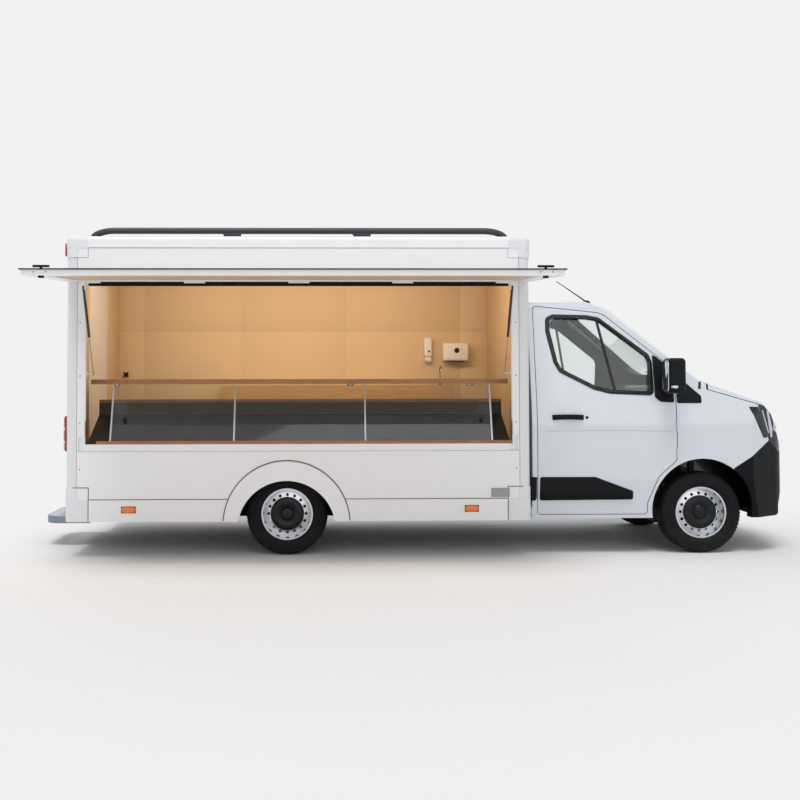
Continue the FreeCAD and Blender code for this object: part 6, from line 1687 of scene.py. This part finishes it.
    def header_seal(self) -> None:
        """Black lip seal along the head of the serving opening, under the hatch's hinge line."""
        mesh = lofted([[(x, a - self.half_width, self.seal_z + b) for a, b in self.seal]
                       for x in bowed(*self.seal_x, 24)])
        self.builder.add("header_seal", mesh, SEAL, "vehicle", "seal_rubber", 40)

    def joints(self) -> None:
        """Aluminium edge profiles of the jambs, ending over the hatch's latches."""
        y = -self.half_width
        frame = []
        for x, sign in zip(self.opening_x, (1, -1)):
            near, far = sorted((x, x + sign * 0.010))
            frame.append(block((near, y - 0.002, self.latch_top), (far, y + 0.018, self.opening_top), 0.002))
        self.builder.add("jamb_edge_profiles", joined(frame), PROFILE, "vehicle", "panel_white")

    def roof_seams(self) -> None:
        """Sealed joint lines across the roof."""
        strips = [block((x - 0.02, -0.93, 2.7335), (x + 0.02, 0.93, 2.7375), 0.0015)
                  for x in self.roof_seam_x]
        self.builder.add("roof_seams", joined(strips), PROFILE, "vehicle", "panel_white")

    def rails(self) -> None:
        """Roof rails whose ends bow down to the roof, with wedge supports and flat feet."""
        for side in Side:
            y = side.value * self.rail_y
            path = []
            for straight, foot in (self.rail_rear, self.rail_front):
                run = foot - straight
                bend = [Vector((straight + run * math.sin(t), y,
                                self.rail_z - self.rail_drop * (1 - math.cos(t))))
                        for t in bowed(0.0, 1.36, 14)]
                path.extend(reversed(bend) if not path else bend)
            parts = [swept(path, round_section(self.rail_radius, 20), UP)]
            low = self.roof_foot_z
            for x0, x1 in self.rail_supports:
                wedge = [(x0, 2.776), (x0 + 0.022, 2.7345), (x1 - 0.004, 2.7345), (x1, 2.776)]
                support = lofted([[(x, y + across, z) for x, z in wedge] for across in (-0.019, 0.019)])
                bmesh.ops.bevel(support, geom=support.edges[:], offset=0.003, segments=2, profile=0.5,
                                affect="EDGES")
                parts.append(support)
                parts.append(block((x0 + 0.012, y - 0.027, low), (x1 + 0.006, y + 0.027, 2.7385), 0.0015))
            for _, foot in (self.rail_rear, self.rail_front):
                parts.append(block((foot - 0.075, y - 0.036, low), (foot + 0.075, y + 0.036, 2.7395), 0.002))
            rail = self.builder.add(f"roof_rail_{side.word}", joined(parts), RAIL_COAT, "vehicle",
                                    "rail_grey", 50)
            if side is Side.LEFT:
                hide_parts("roof_rails")

    def dress(self) -> None:
        """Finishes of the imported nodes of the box."""
        self.builder.dress_all({
            BOX_PANEL: "box_far_wall box_front_wall box_rear_wall box_roof sales_wall "
                       "side_skirts arch_flares rear_door",
            PROFILE: "corner_posts corner_caps", FLOOR_SHEET: "box_floor", RED: "rear_lamps",
            STEP_ALUMINIUM: "rear_step", CHASSIS: "chassis_frame",
            IRON: "rear_axle front_suspension knuckle_left knuckle_right", ENGINE: "engine_block"})

    def build(self) -> None:
        """Build all of it."""
        self.markers()
        self.plates()
        self.screws()
        self.joints()
        self.seams()
        self.liners()
        self.header_seal()
        self.roof_seams()
        self.rails()
        self.dress()


@dataclass
class HatchTrim:
    """Lining and edge screws of the serving hatch, and its finishes."""
    builder: Builder
    rear: float = -1.87
    front: float = 2.08
    lining_margin: float = 0.185
    lining_y: Spot = (-2.37, -1.29)
    screw_margins: tuple = (0.10, 0.19)
    screw_z: float = 2.290
    screw: tuple = ((-0.001, 0.006), (0.001, 0.0058), (0.0026, 0.004), (0.003, 0.0))

    def lining(self) -> None:
        """Laminate sheet under the hatch, inside its frame."""
        lay = cast_lay(Skin(self.builder, ["hatch_panel"]), 2, 1.2, UP)
        low = (self.rear + self.lining_margin, self.lining_y[0])
        high = (self.front - self.lining_margin, self.lining_y[1])
        mesh = laid_patch(rounded_outline(frame_of(low, high), 0.03), lay, 0.003, 0.004, 0.16, sink=0.0005)
        # The lining's beige carries painted warm lamplight.
        self.builder.add("hatch_lining", face_outwards(mesh, DOWN), LINING_WITH_PAINTED_LAMPLIGHT, "hatch", "panel_white")

    def screws(self) -> None:
        """Two screws near each end of the outer edge."""
        skin = Skin(self.builder, ["hatch_panel"])
        places = [self.rear + margin for margin in self.screw_margins]
        places += [self.front - margin for margin in reversed(self.screw_margins)]
        hits = [skin.hit(Vector((x, -3.2, self.screw_z)), LEFTWARD) for x in places]
        heads = [turned(found[0], RIGHTWARD, self.screw, 20) for found in hits if found]
        if heads:
            self.builder.add("hatch_edge_screws", joined(heads), ZINC, "hatch", "strut_steel")

    def build(self) -> None:
        """Build all of it."""
        self.lining()
        self.screws()
        self.builder.dress_all({BOX_PANEL: "hatch_panel", SEAL: "hatch_seal", BLACK_PLASTIC: "hatch_latches",
                                STRUT_BLACK: "strut_front_cylinder strut_rear_cylinder",
                                CHROME: "strut_front_rod strut_rear_rod"})


@dataclass
class SalesRoom:
    """Inside of the sales box: lining, lamps, dispensers, tap and counter finishes."""
    builder: Builder
    rear: float = -1.825
    front: float = 2.035
    far: float = 1.055
    near: float = -1.055
    floor: float = 0.51
    ceiling: float = 2.695
    sheet: float = 0.003
    wheel_box_top: float = 0.775
    row_joint: float = 2.0
    half_joint: float = 0.0007
    joints_x: tuple = (-1.560, -0.55, 0.55, 1.750)

    def panel(self, name: str, low: Point, high: Point) -> None:
        """One lining sheet with eased edges."""
        # The lining's beige carries painted warm lamplight.
        self.builder.add(name, block(low, high, 0.0012, 2), LINING_WITH_PAINTED_LAMPLIGHT, "vehicle", "panel_white")

    def far_wall(self) -> None:
        """Lining of the far wall in sheets with narrow joints, two rows high."""
        edges = [self.rear + 0.004, *self.joints_x, self.front - 0.004]
        y0, y1 = self.far - self.sheet, self.far - 0.0004
        for index, (x0, x1) in enumerate(zip(edges[:-1], edges[1:])):
            foot = self.floor if index != 2 else self.wheel_box_top
            x0, x1 = x0 + self.half_joint, x1 - self.half_joint
            self.panel(f"far_lining_low_{index}", (x0, y0, foot), (x1, y1, self.row_joint - self.half_joint))
            self.panel(f"far_lining_high_{index}", (x0, y0, self.row_joint + self.half_joint),
                       (x1, y1, self.ceiling))

    def end_walls(self) -> None:
        """Lining of the two end walls, the ceiling and the header over the opening."""
        top = self.ceiling - 0.004
        self.panel("front_lining", (self.front - self.sheet, self.near + 0.03, self.floor),
                   (self.front - 0.0004, self.far - 0.004, top))
        for name, y0, y1, foot in (("left", 0.44, self.far - 0.004, self.floor),
                                   ("right", self.near + 0.03, -0.40, self.floor),
                                   ("top", -0.395, 0.435, 2.47)):
            self.panel(f"rear_lining_{name}", (self.rear + 0.0004, y0, foot),
                       (self.rear + self.sheet, y1, top))
        z0 = self.ceiling - self.sheet
        edges = (self.rear + 0.004, -0.55, 0.77, self.front - 0.004)
        for index, (a, b) in enumerate(zip(edges[:-1], edges[1:])):
            self.panel(f"ceiling_lining_{index}", (a + 0.002, self.near + 0.02, z0),
                       (b - 0.002, self.far - 0.004, self.ceiling - 0.0004))
        self.panel("header_lining", (edges[0], self.near, 2.322), (edges[-1], self.near + self.sheet, 2.69))

    def lamps(self) -> None:
        """Two long lamp bars on the ceiling and three small spots under the shelf."""
        z = self.ceiling
        for index, x in enumerate((-0.9, 1.0)):
            housing = block((x - 0.62, -0.30, z - 0.028), (x + 0.62, -0.22, z - 0.002), 0.006)
            self.builder.add(f"lamp_bar_{index}", housing, WHITE_PLASTIC, "vehicle", "lamp_clear")
            diffuser = block((x - 0.60, -0.292, z - 0.040), (x + 0.60, -0.228, z - 0.027), 0.005)
            self.builder.add(f"lamp_diffuser_{index}", diffuser, DIFFUSER, "vehicle", "lamp_clear")
        profile = ((0, 0.030), (0.012, 0.030), (0.016, 0.026), (0.014, 0.018), (0.010, 0.0))
        spots = [turned(Vector((x, -0.80, 1.468)), DOWN, profile, 24) for x in (-1.495, 0.548, 1.60)]
        self.builder.add("shelf_spots", joined(spots), CHROME, "vehicle", "lamp_clear")

    def dispensers(self) -> None:
        """Soap and towel dispensers on the far wall."""
        y = self.far - self.sheet
        foot = block((1.370, y - 0.078, 1.682), (1.441, y - 0.004, 1.733), 0.012, 3)
        nozzle = turned(Vector((1.4055, y - 0.055, 1.684)), DOWN,
                        ((0, 0.010), (0.014, 0.008), (0.014, 0.0)), 16)
        eye = turned(Vector((1.412, y - 0.085, 1.79)), RIGHTWARD,
                     ((-0.001, 0.011), (0.001, 0.010), (0.0012, 0.0)), 20)
        window = turned(Vector((1.699, y - 0.125, 1.80)), RIGHTWARD,
                        ((-0.001, 0.028), (0.002, 0.026), (0.0015, 0.022), (0.0016, 0.0)), 28)
        for name, mesh, finish, slot in (
                ("soap_dispenser", block((1.364, y - 0.085, 1.735), (1.447, y, 1.937), 0.018, 4),
                 WHITE_PLASTIC, "panel_white"),
                ("soap_pump", joined([foot, nozzle]), PROFILE, "panel_white"),
                ("soap_window", eye, WINDOW_BLACK, "black_plastic"),
                ("towel_dispenser", block((1.556, y - 0.125, 1.690), (1.824, y, 1.880), 0.022, 4),
                 WHITE_PLASTIC, "panel_white"),
                ("towel_mouth", block((1.60, y - 0.118, 1.684), (1.78, y - 0.04, 1.692), 0.003, 2),
                 BLACK_PLASTIC, "black_plastic"),
                ("towel_window", window, WINDOW_BLACK, "black_plastic")):
            self.builder.add(name, mesh, finish, "vehicle", slot)

    def tap(self) -> None:
        """Swan-neck tap with a side lever over the basin."""
        foot = Vector((1.522, 0.93, 1.440))
        path = [foot + Vector((0, 0, h)) for h in bowed(0.0, 0.14, 5)]
        for turn in bowed(math.pi, 0.15, 14)[1:]:
            path.append(foot + Vector((0.0, -0.055 - 0.055 * math.cos(turn), 0.14 + 0.055 * math.sin(turn))))
        neck = swept(path, round_section(0.0085, 14), AHEAD)
        base = turned(foot - Vector((0, 0, 0.002)), UP,
                      ((0, 0.024), (0.006, 0.024), (0.010, 0.019), (0.05, 0.018), (0.056, 0.014),
                       (0.06, 0.010)), 24)
        lever = swept([foot + Vector((0.012, 0, 0.04)), foot + Vector((0.040, 0, 0.052)),
                       foot + Vector((0.062, -0.01, 0.066))], round_section(0.005, 10), UP)
        self.builder.add("swan_neck_tap", joined([neck, base, lever]), CHROME, "vehicle", "steel_sheet", 50)

    def wall_knob(self) -> None:
        """Black four-armed knob on the far wall near the rear."""
        centre = Vector((-1.745, self.far - self.sheet, 1.556))
        arms = []
        for turn in (math.pi / 4, 3 * math.pi / 4):
            way = Vector((math.cos(turn), 0, math.sin(turn)))
            arms.append(swept([centre + Vector((0, -0.024, 0)) + way * s for s in bowed(-0.034, 0.034, 6)],
                              round_section(0.008, 12), LEFTWARD))
        stem = turned(centre, RIGHTWARD, ((-0.001, 0.018), (0.004, 0.018), (0.008, 0.010), (0.024, 0.011),
                                          (0.030, 0.009), (0.032, 0.0)), 20)
        self.builder.add("wall_knob", joined([*arms, stem]), BLACK_PLASTIC, "vehicle", "black_plastic", 50)

    def build(self) -> None:
        """Build all of it."""
        self.far_wall()
        self.end_walls()
        self.lamps()
        self.dispensers()
        self.tap()
        self.wall_knob()
        self.builder.dress_all({BOARD: "counter_wood", SLATE: "display_case", DISPLAY_GLASS: "display_glass",
                                STAINLESS: "display_posts", BEECH: "back_counter"})


@dataclass
class CabSeats:
    """Padded driver's seat and bench for two, with headrests on posts."""
    builder: Builder
    rear: float = 2.36
    front: float = 2.88
    base: float = 0.86
    cushion: float = 0.15
    back_top: float = 1.64
    back_thickness: float = 0.14
    lean: float = 0.11
    driver: tuple = (0.18, 0.68)
    bench: tuple = (-0.74, 0.12)
    headrest_top: float = 1.83

    def pad(self, corners: Sequence[Vector], thick: Vector, crown: float, channels: int,
            steps: int = 22) -> Mesh:
        """Crowned pad over a four-cornered field, with sewn channels and pulled-in sides.

        Args:
            corners: Four corners of the lower face, in order.
            thick: Step from the lower face to the upper one.
            crown: Extra height in the middle.
            channels: Number of sewn channels across the field.
            steps: Points along each way.
        Returns:
            The mesh.
        """
        mesh = bmesh.new()
        a, b, c, d = corners
        middle = (a + b + c + d) / 4
        top, low = [], []
        for i in range(steps + 1):
            row_top, row_low = [], []
            for j in range(steps + 1):
                u, v = i / steps, j / steps
                spot = a.lerp(b, u).lerp(d.lerp(c, u), v)
                edge = min(u, 1 - u, v, 1 - v)
                swell = math.sin(math.pi * u) ** 0.45 * math.sin(math.pi * v) ** 0.45
                pinch = (middle - spot) * 0.018 * (4 * u * (1 - u) * (abs(v - 0.5) * 2) ** 4
                                                   + 4 * v * (1 - v) * (abs(u - 0.5) * 2) ** 4)
                seam = max((math.exp(-((v - k / channels) * 42) ** 2) for k in range(1, channels)),
                           default=0.0)
                roll = math.sqrt(max(1 - (1 - min(edge / 0.09, 1)) ** 2, 0.0))
                lift = thick * (0.52 + 0.48 * roll) + thick.normalized() * (
                    crown * swell - 0.009 * seam * min(edge / 0.05, 1))
                row_top.append(mesh.verts.new(spot + pinch + lift))
                row_low.append(mesh.verts.new(spot + pinch * 1.2 + thick * (0.30 * (1 - roll))))
            top.append(row_top)
            low.append(row_low)
        for i in range(steps):
            for j in range(steps):
                mesh.faces.new((top[i][j], top[i + 1][j], top[i + 1][j + 1], top[i][j + 1]))
                mesh.faces.new((low[i][j], low[i][j + 1], low[i + 1][j + 1], low[i + 1][j]))
        for i in range(steps):
            mesh.faces.new((top[i][0], low[i][0], low[i + 1][0], top[i + 1][0]))
            mesh.faces.new((top[i][steps], top[i + 1][steps], low[i + 1][steps], low[i][steps]))
            mesh.faces.new((top[0][i], top[0][i + 1], low[0][i + 1], low[0][i]))
            mesh.faces.new((top[steps][i], low[steps][i], low[steps][i + 1], top[steps][i + 1]))
        bmesh.ops.recalc_face_normals(mesh, faces=mesh.faces)
        return mesh

    def finish_pad(self, name: str, mesh: Mesh) -> bpy.types.Object:
        """Args:
            name: Piece name.
            mesh: Pad.
        Returns:
            The piece.
        """
        obj = self.builder.add(name, mesh, CLOTH, "vehicle", "seat_cloth", 80)
        smooth = obj.modifiers.new("smooth", "SUBSURF")
        smooth.levels = smooth.render_levels = 1
        return obj

    def seat(self, word: str, y0: float, y1: float, heads: Sequence[float]) -> list[bpy.types.Object]:
        """One seat: cushion, back and headrests.

        Args:
            word: Word for the names.
            y0: Right edge.
            y1: Left edge.
            heads: Middles of its headrests.
        Returns:
            Its pieces.
        """
        gap = 0.006
        channels = 3 if y1 - y0 < 0.6 else 5
        x0, x1 = self.rear + self.back_thickness * 0.35, self.front - gap
        z = self.base + 0.004
        field = [Vector((x, y, z)) for x, y in frame_of((x0, y0 + gap), (x1, y1 - gap))]
        pieces = [self.finish_pad(f"seat_cushion_{word}", self.pad(
            field, Vector((0, 0, self.cushion - 0.02)), 0.018, channels))]
        low, high = self.base + self.cushion * 0.45, self.back_top - 0.006
        foot, head = self.rear + 0.006 - self.lean * 0.12, self.rear + 0.006 - self.lean
        field = [Vector((head, y0 + gap, high)), Vector((head, y1 - gap, high)),
                 Vector((foot, y1 - gap, low)), Vector((foot, y0 + gap, low))]
        pieces.append(self.finish_pad(f"seat_back_{word}", self.pad(
            field, Vector((self.back_thickness - 0.022, 0, 0.018)), 0.014, 4)))
        for index, y in enumerate(heads):
            x = self.rear - self.lean + 0.022
            low, high = self.back_top + 0.036, self.headrest_top
            pieces.append(self.finish_pad(f"headrest_{word}_{index}", self.pad(
                [Vector((x + 0.004, y - 0.112, low)), Vector((x + 0.004, y + 0.112, low)),
                 Vector((x - 0.004, y + 0.104, high)), Vector((x - 0.004, y - 0.104, high))][::-1],
                Vector((0.082, 0, 0.004)), 0.012, 1)))
            posts = [swept([Vector((x + 0.036, y + shift, self.back_top - 0.05)),
                            Vector((x + 0.036, y + shift, self.back_top + 0.07))], round_section(0.006, 12),
                           AHEAD) for shift in (-0.055, 0.055)]
            pieces.append(self.builder.add(f"headrest_posts_{word}_{index}", joined(posts), CHROME, "vehicle",
                                           "strut_steel"))
        return pieces

    def build(self) -> None:
        """Replace the plain seats."""
        pieces = self.seat("driver", *self.driver, (0.43,))
        third = (self.bench[1] - self.bench[0]) / 4
        pieces += self.seat("bench", *self.bench, (self.bench[0] + third, self.bench[1] - third))
        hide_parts("cab_seats")


@dataclass
class CabFront:
    """Wipers, aerial, mirror glass and the finishes of the cab's nodes."""
    builder: Builder
    glass_low: Spot = (1.100, 1.405)
    glass_high: Spot = (1.262, 1.665)
    glass_x: float = 3.223
    indicator: tuple = ((3.240, 1.428), (3.300, 1.454))
    aerial_foot: Spot = (2.720, -0.50)
    aerial_reach: Point = (-0.280, 0.0, 0.191)
    aerial_sides: int = 12
    aerial_stops: tuple = ((0.0, 0.011), (0.03, 0.010), (0.05, 0.0065), (0.9, 0.0035), (0.97, 0.0042),
                           (1.0, 0.002))
    aerial_base: tuple = ((0, 0.034), (0.006, 0.034), (0.014, 0.024), (0.022, 0.013), (0.024, 0.0))
    wiper_y: tuple = ((0.62, 0.02), (-0.05, -0.62))
    blade: tuple = ((-0.004, -0.009), (0.004, -0.009), (0.0065, 0.003), (0.0, 0.010), (-0.0065, 0.003))

    def mirrors(self) -> None:
        """Glass, indicator and finish of both mirrors."""
        for side in Side:
            self.builder.dress(f"mirror_{side.word}", BLACK_PLASTIC)
            (y0, z0), (y1, z1), s = self.glass_low, self.glass_high, side.value
            outline = rounded_outline(frame_of((s * y0, z0), (s * y1, z1)), 0.03)
            mesh = laid_patch(outline, flat_lay(0, self.glass_x, ASTERN), 0.004, 0.004, 0.06)
            self.builder.add(f"mirror_glass_{side.word}", face_outwards(mesh, ASTERN), MIRROR_GLASS,
                             f"cab_door_{side.word}", "clear_glass")
            skin = Skin(self.builder, [f"mirror_{side.word}"])
            lens = laid_patch(rounded_outline(frame_of(*self.indicator), 0.008),
                              lambda x, z, k=skin, e=side: k.side_point(x, z, e), 0.0001, 0.005, 0.012)
            self.builder.add(f"mirror_indicator_{side.word}", face_outwards(lens, side.out), LAMP_CLEAR,
                             f"cab_door_{side.word}", "lamp_clear")

    def roof_aerial(self) -> None:
        """Rubber-coated rod aerial on the cab roof, leaning back."""
        skin = Skin(self.builder, ["cab_shell"])
        foot, normal = skin.hit(Vector((*self.aerial_foot, 3.0)), DOWN)
        tip = foot + Vector(self.aerial_reach)
        third = (tip - foot).normalized().cross(LEFTWARD)
        mesh = bmesh.new()
        sides = self.aerial_sides
        turns = bowed(0, 2 * math.pi * (sides - 1) / sides, sides - 1)
        rings = [[mesh.verts.new(foot.lerp(tip, share) + LEFTWARD * radius * math.cos(t)
                                 + third * radius * math.sin(t)) for t in turns]
                 for share, radius in self.aerial_stops]
        for one, two in zip(rings[:-1], rings[1:]):
            stitch(mesh, one, two)
        mesh.faces.new(rings[-1])
        bmesh.ops.recalc_face_normals(mesh, faces=mesh.faces)
        base = turned(foot - Vector((0, 0, 0.006)), normal, self.aerial_base, 24)
        self.builder.add("roof_aerial", joined([mesh, base]), SEAL, "vehicle", "black_plastic", 50)

    def wipers(self) -> None:
        """Two parked wipers along the foot of the windscreen."""
        skin = Skin(self.builder, ["windscreen", "cab_shell", "bonnet"])
        for index, (y0, y1) in enumerate(self.wiper_y):
            hits = [skin.hit(Vector((4.6, y0 + (y1 - y0) * share, 1.565 + 0.05 * share)), ASTERN)
                    for share in bowed(0.0, 1.0, 14)]
            points = [found[0] + found[1] * 0.012 for found in hits if found]
            blade = swept(points, self.blade, Vector((1, 0, 1)))
            arm = swept([points[0] + Vector((0.01, 0.02, -0.03)), points[2] + Vector((0.020, 0, 0.004)),
                         points[7] + Vector((0.016, 0, 0.010))], round_section(0.007, 10), Vector((1, 0, 1)))
            self.builder.add(f"wiper_{index}", joined([blade, arm]), SEAL, "vehicle", "black_plastic", 50)

    def build(self) -> None:
        """Build all of it."""
        self.mirrors()
        self.roof_aerial()
        self.wipers()
        # The cab's paint carries painted shade in its blue-grey colour.
        self.builder.dress_all({
            CAB_PAINT_WITH_PAINTED_SHADE: "cab_shell front_wings bonnet door_left door_right",
            BUMPER_PLASTIC: "front_bumper grille", LAMP_DARK: "headlamps",
            WINDOW_GLASS: "windscreen door_glass_left door_glass_right",
            DASH: "dashboard"})


@dataclass
class FrontFace:
    """Reflectors, projector lenses and indicators of the headlamps, and the blank front plate."""
    builder: Builder
    start_x: float = 5.4
    cells: tuple = ((0.575, 0.715), (0.735, 0.855))
    cell_z: tuple = (1.035, 1.165)
    strip: tuple = ((0.575, 0.960), (0.730, 0.960), (0.740, 0.990), (0.575, 0.990))
    day_strip: tuple = ((0.575, 1.195), (0.875, 1.200), (0.880, 1.212), (0.575, 1.208))
    bezel: tuple = ((0.001, 0.046), (0.007, 0.046), (0.009, 0.042), (0.006, 0.036), (0.003, 0.034))
    dome: tuple = ((0.003, 0.034), (0.007, 0.030), (0.010, 0.020), (0.0112, 0.010), (0.0116, 0.0))
    plate_sink: float = 0.004
    plate: tuple = ((-0.26, 0.682), (0.26, 0.792))

    def lay(self, *nodes: str) -> Lay:
        """Lay for patches on the nose, seen from ahead."""
        return cast_lay(Skin(self.builder, nodes), 0, self.start_x, ASTERN)

    def lamp(self, side: Side) -> None:
        """Cells of one headlamp.

        Args:
            side: Side of the truck.
        """
        lay = self.lay("headlamps")
        s = side.value
        for index, (y0, y1) in enumerate(self.cells):
            z0, z1 = self.cell_z
            outline = rounded_outline([(s * y0, z0), (s * y1, z0), (s * y1, z1), (s * y0, z1)], 0.03)
            mesh = laid_patch(outline, lay, 0.003, 0.010, 0.012)
            self.builder.add(f"lamp_cell_{side.word}_{index}", face_outwards(mesh, AHEAD), LAMP_CLEAR,
                             "vehicle", "lamp_clear", 50)
            middle, normal = lay(s * (y0 + y1) / 2, (z0 + z1) / 2)
            bezel = turned(middle, normal, self.bezel, 32)
            self.builder.add(f"lamp_bezel_{side.word}_{index}", bezel, CHROME, "vehicle", "lamp_clear", 50)
            dome = turned(middle, normal, self.dome, 28)
            self.builder.add(f"lamp_dome_{side.word}_{index}", dome, LAMP_DARK, "vehicle", "lamp_clear", 60)
        for name, corners, radius, edge, finish, slot in (
                ("indicator", self.strip, 0.01, 0.006, AMBER, "lamp_red"),
                ("day_strip", self.day_strip, 0.004, 0.004, WHITE_PLASTIC, "lamp_clear")):
            outline = rounded_outline([(s * y, z) for y, z in corners], radius)
            mesh = laid_patch(outline, lay, 0.003, edge, 0.010)
            self.builder.add(f"lamp_{name}_{side.word}", face_outwards(mesh, AHEAD), finish, "vehicle",
                             slot, 50)

    def front_plate(self) -> None:
        """Blank plate in a black holder on the bumper."""
        lay = self.lay("front_bumper", "grille")
        (y0, z0), (y1, z1) = self.plate
        edge = max(lay(y, z)[0].x for y in bowed(y0, y1, 6) for z in (z0, z1)) - self.plate_sink
        blank_plate(self.builder, "front", self.plate, edge - 0.012, edge + 0.004, 0.004)

    def build(self) -> None:
        """Build all of it."""
        for side in Side:
            self.lamp(side)
        self.front_plate()


@dataclass
class RearTrim:
    """Door handle, lock, blank plate, plate lamp, rain strip and lamp segments on the rear wall."""
    builder: Builder
    rear: float = -1.870
    lamp_face: float = -1.8978
    lamp_y: float = 1.005
    door_y: Spot = (-0.36, 0.40)
    door_top: float = 2.44
    gutter: tuple = ((-0.0015, -0.006), (0.010, -0.006), (0.014, 0.001), (0.011, 0.0025), (0.0085, -0.003),
                     (-0.0015, 0.006))
    handle_y: float = -0.285
    handle_z: float = 1.42
    plate: tuple = ((0.46, 0.62), (0.98, 0.73))

    def segments(self) -> None:
        """Amber and clear segments over the red rear lamps."""
        for side in Side:
            middle = side.value * self.lamp_y
            for name, z0, z1, finish in (("indicator", 1.095, 1.188, AMBER),
                                         ("reverse", 0.912, 0.972, LAMP_CLEAR),
                                         ("stop", 0.985, 1.082, RED)):
                outline = rounded_outline(frame_of((middle - 0.031, z0), (middle + 0.031, z1)), 0.010)
                mesh = laid_patch(outline, flat_lay(0, self.lamp_face, ASTERN), 0.004, 0.006, 0.012,
                                  sink=0.0005)
                self.builder.add(f"rear_{name}_{side.word}", face_outwards(mesh, ASTERN), finish, "vehicle",
                                 "lamp_red", 50)

    def handle(self) -> None:
        """Bar handle in a dished plate, with its lock, on the free edge of the rear door."""
        y, z = self.handle_y, self.handle_z
        outline = rounded_outline(frame_of((y - 0.045, z - 0.115), (y + 0.045, z + 0.115)), 0.04, 8)
        dish = laid_patch(outline, flat_lay(0, self.rear, ASTERN), 0.004, 0.010, 0.02, sink=0.0005)
        self.builder.add("rear_door_dish", face_outwards(dish, ASTERN), BLACK_PLASTIC, "rear_door",
                         "black_plastic", 50)
        path = [Vector((self.rear - 0.004 - 0.036 * math.sin(math.pi * share) ** 0.4, y,
                        z - 0.085 + 0.17 * share)) for share in bowed(0.0, 1.0, 16)]
        bar = swept(path, round_section(0.011, 14, 0.75), LEFTWARD)
        self.builder.add("rear_door_bar", bar, CHROME, "rear_door", "steel_sheet", 50)
        lock = turned(Vector((self.rear - 0.003, y, z - 0.100)), ASTERN,
                      [(0, 0.011), (0.004, 0.011), (0.005, 0.008), (0.0035, 0.0)], 24)
        self.builder.add("rear_door_lock", lock, CHROME, "rear_door", "steel_sheet", 50)

    def rain_strip(self) -> None:
        """Small gutter over the rear door."""
        y0, y1 = self.door_y
        x = self.rear - 0.001
        rise = [(y, self.door_top + 0.030 + 0.006 * (1 - abs(2 * (y - y0) / (y1 - y0) - 1)))
                for y in bowed(y0 - 0.04, y1 + 0.04, 12)]
        mesh = lofted([[(x - a, y, z + b) for a, b in self.gutter] for y, z in rise])
        self.builder.add("rear_rain_strip", mesh, PROFILE, "vehicle", "panel_white")

    def number_plate(self) -> None:
        """Blank plate in a black frame, with a small lamp over it."""
        (y0, _), (y1, z1) = self.plate
        blank_plate(self.builder, "rear", self.plate, self.rear + 0.001, self.rear - 0.010, 0.003)
        hood = block((self.rear - 0.028, (y0 + y1) / 2 - 0.045, z1 + 0.016),
                     (self.rear + 0.001, (y0 + y1) / 2 + 0.045, z1 + 0.042), 0.007)
        self.builder.add("rear_plate_lamp", hood, BLACK_PLASTIC, "vehicle", "black_plastic")

    def build(self) -> None:
        """Build all of it."""
        self.segments()
        self.handle()
        self.rain_strip()
        self.number_plate()


def main() -> None:
    """Dress the truck, in order."""
    logging.basicConfig(level=logging.INFO, format="%(name)s %(message)s")
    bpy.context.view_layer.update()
    builder = Builder()
    Studio(builder).build()
    for part in (Wheels(builder), CabTrim(builder), CabFront(builder), FrontFace(builder), CabSeats(builder),
                 BoxTrim(builder), RearTrim(builder), HatchTrim(builder), SalesRoom(builder)):
        before = len(builder.made)
        part.build()
        LOG.info("%s: %d pieces", type(part).__name__, len(builder.made) - before)
    bpy.context.scene.view_settings.view_transform = "Standard"


if __name__ == "__main__":
    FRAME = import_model()
    main()
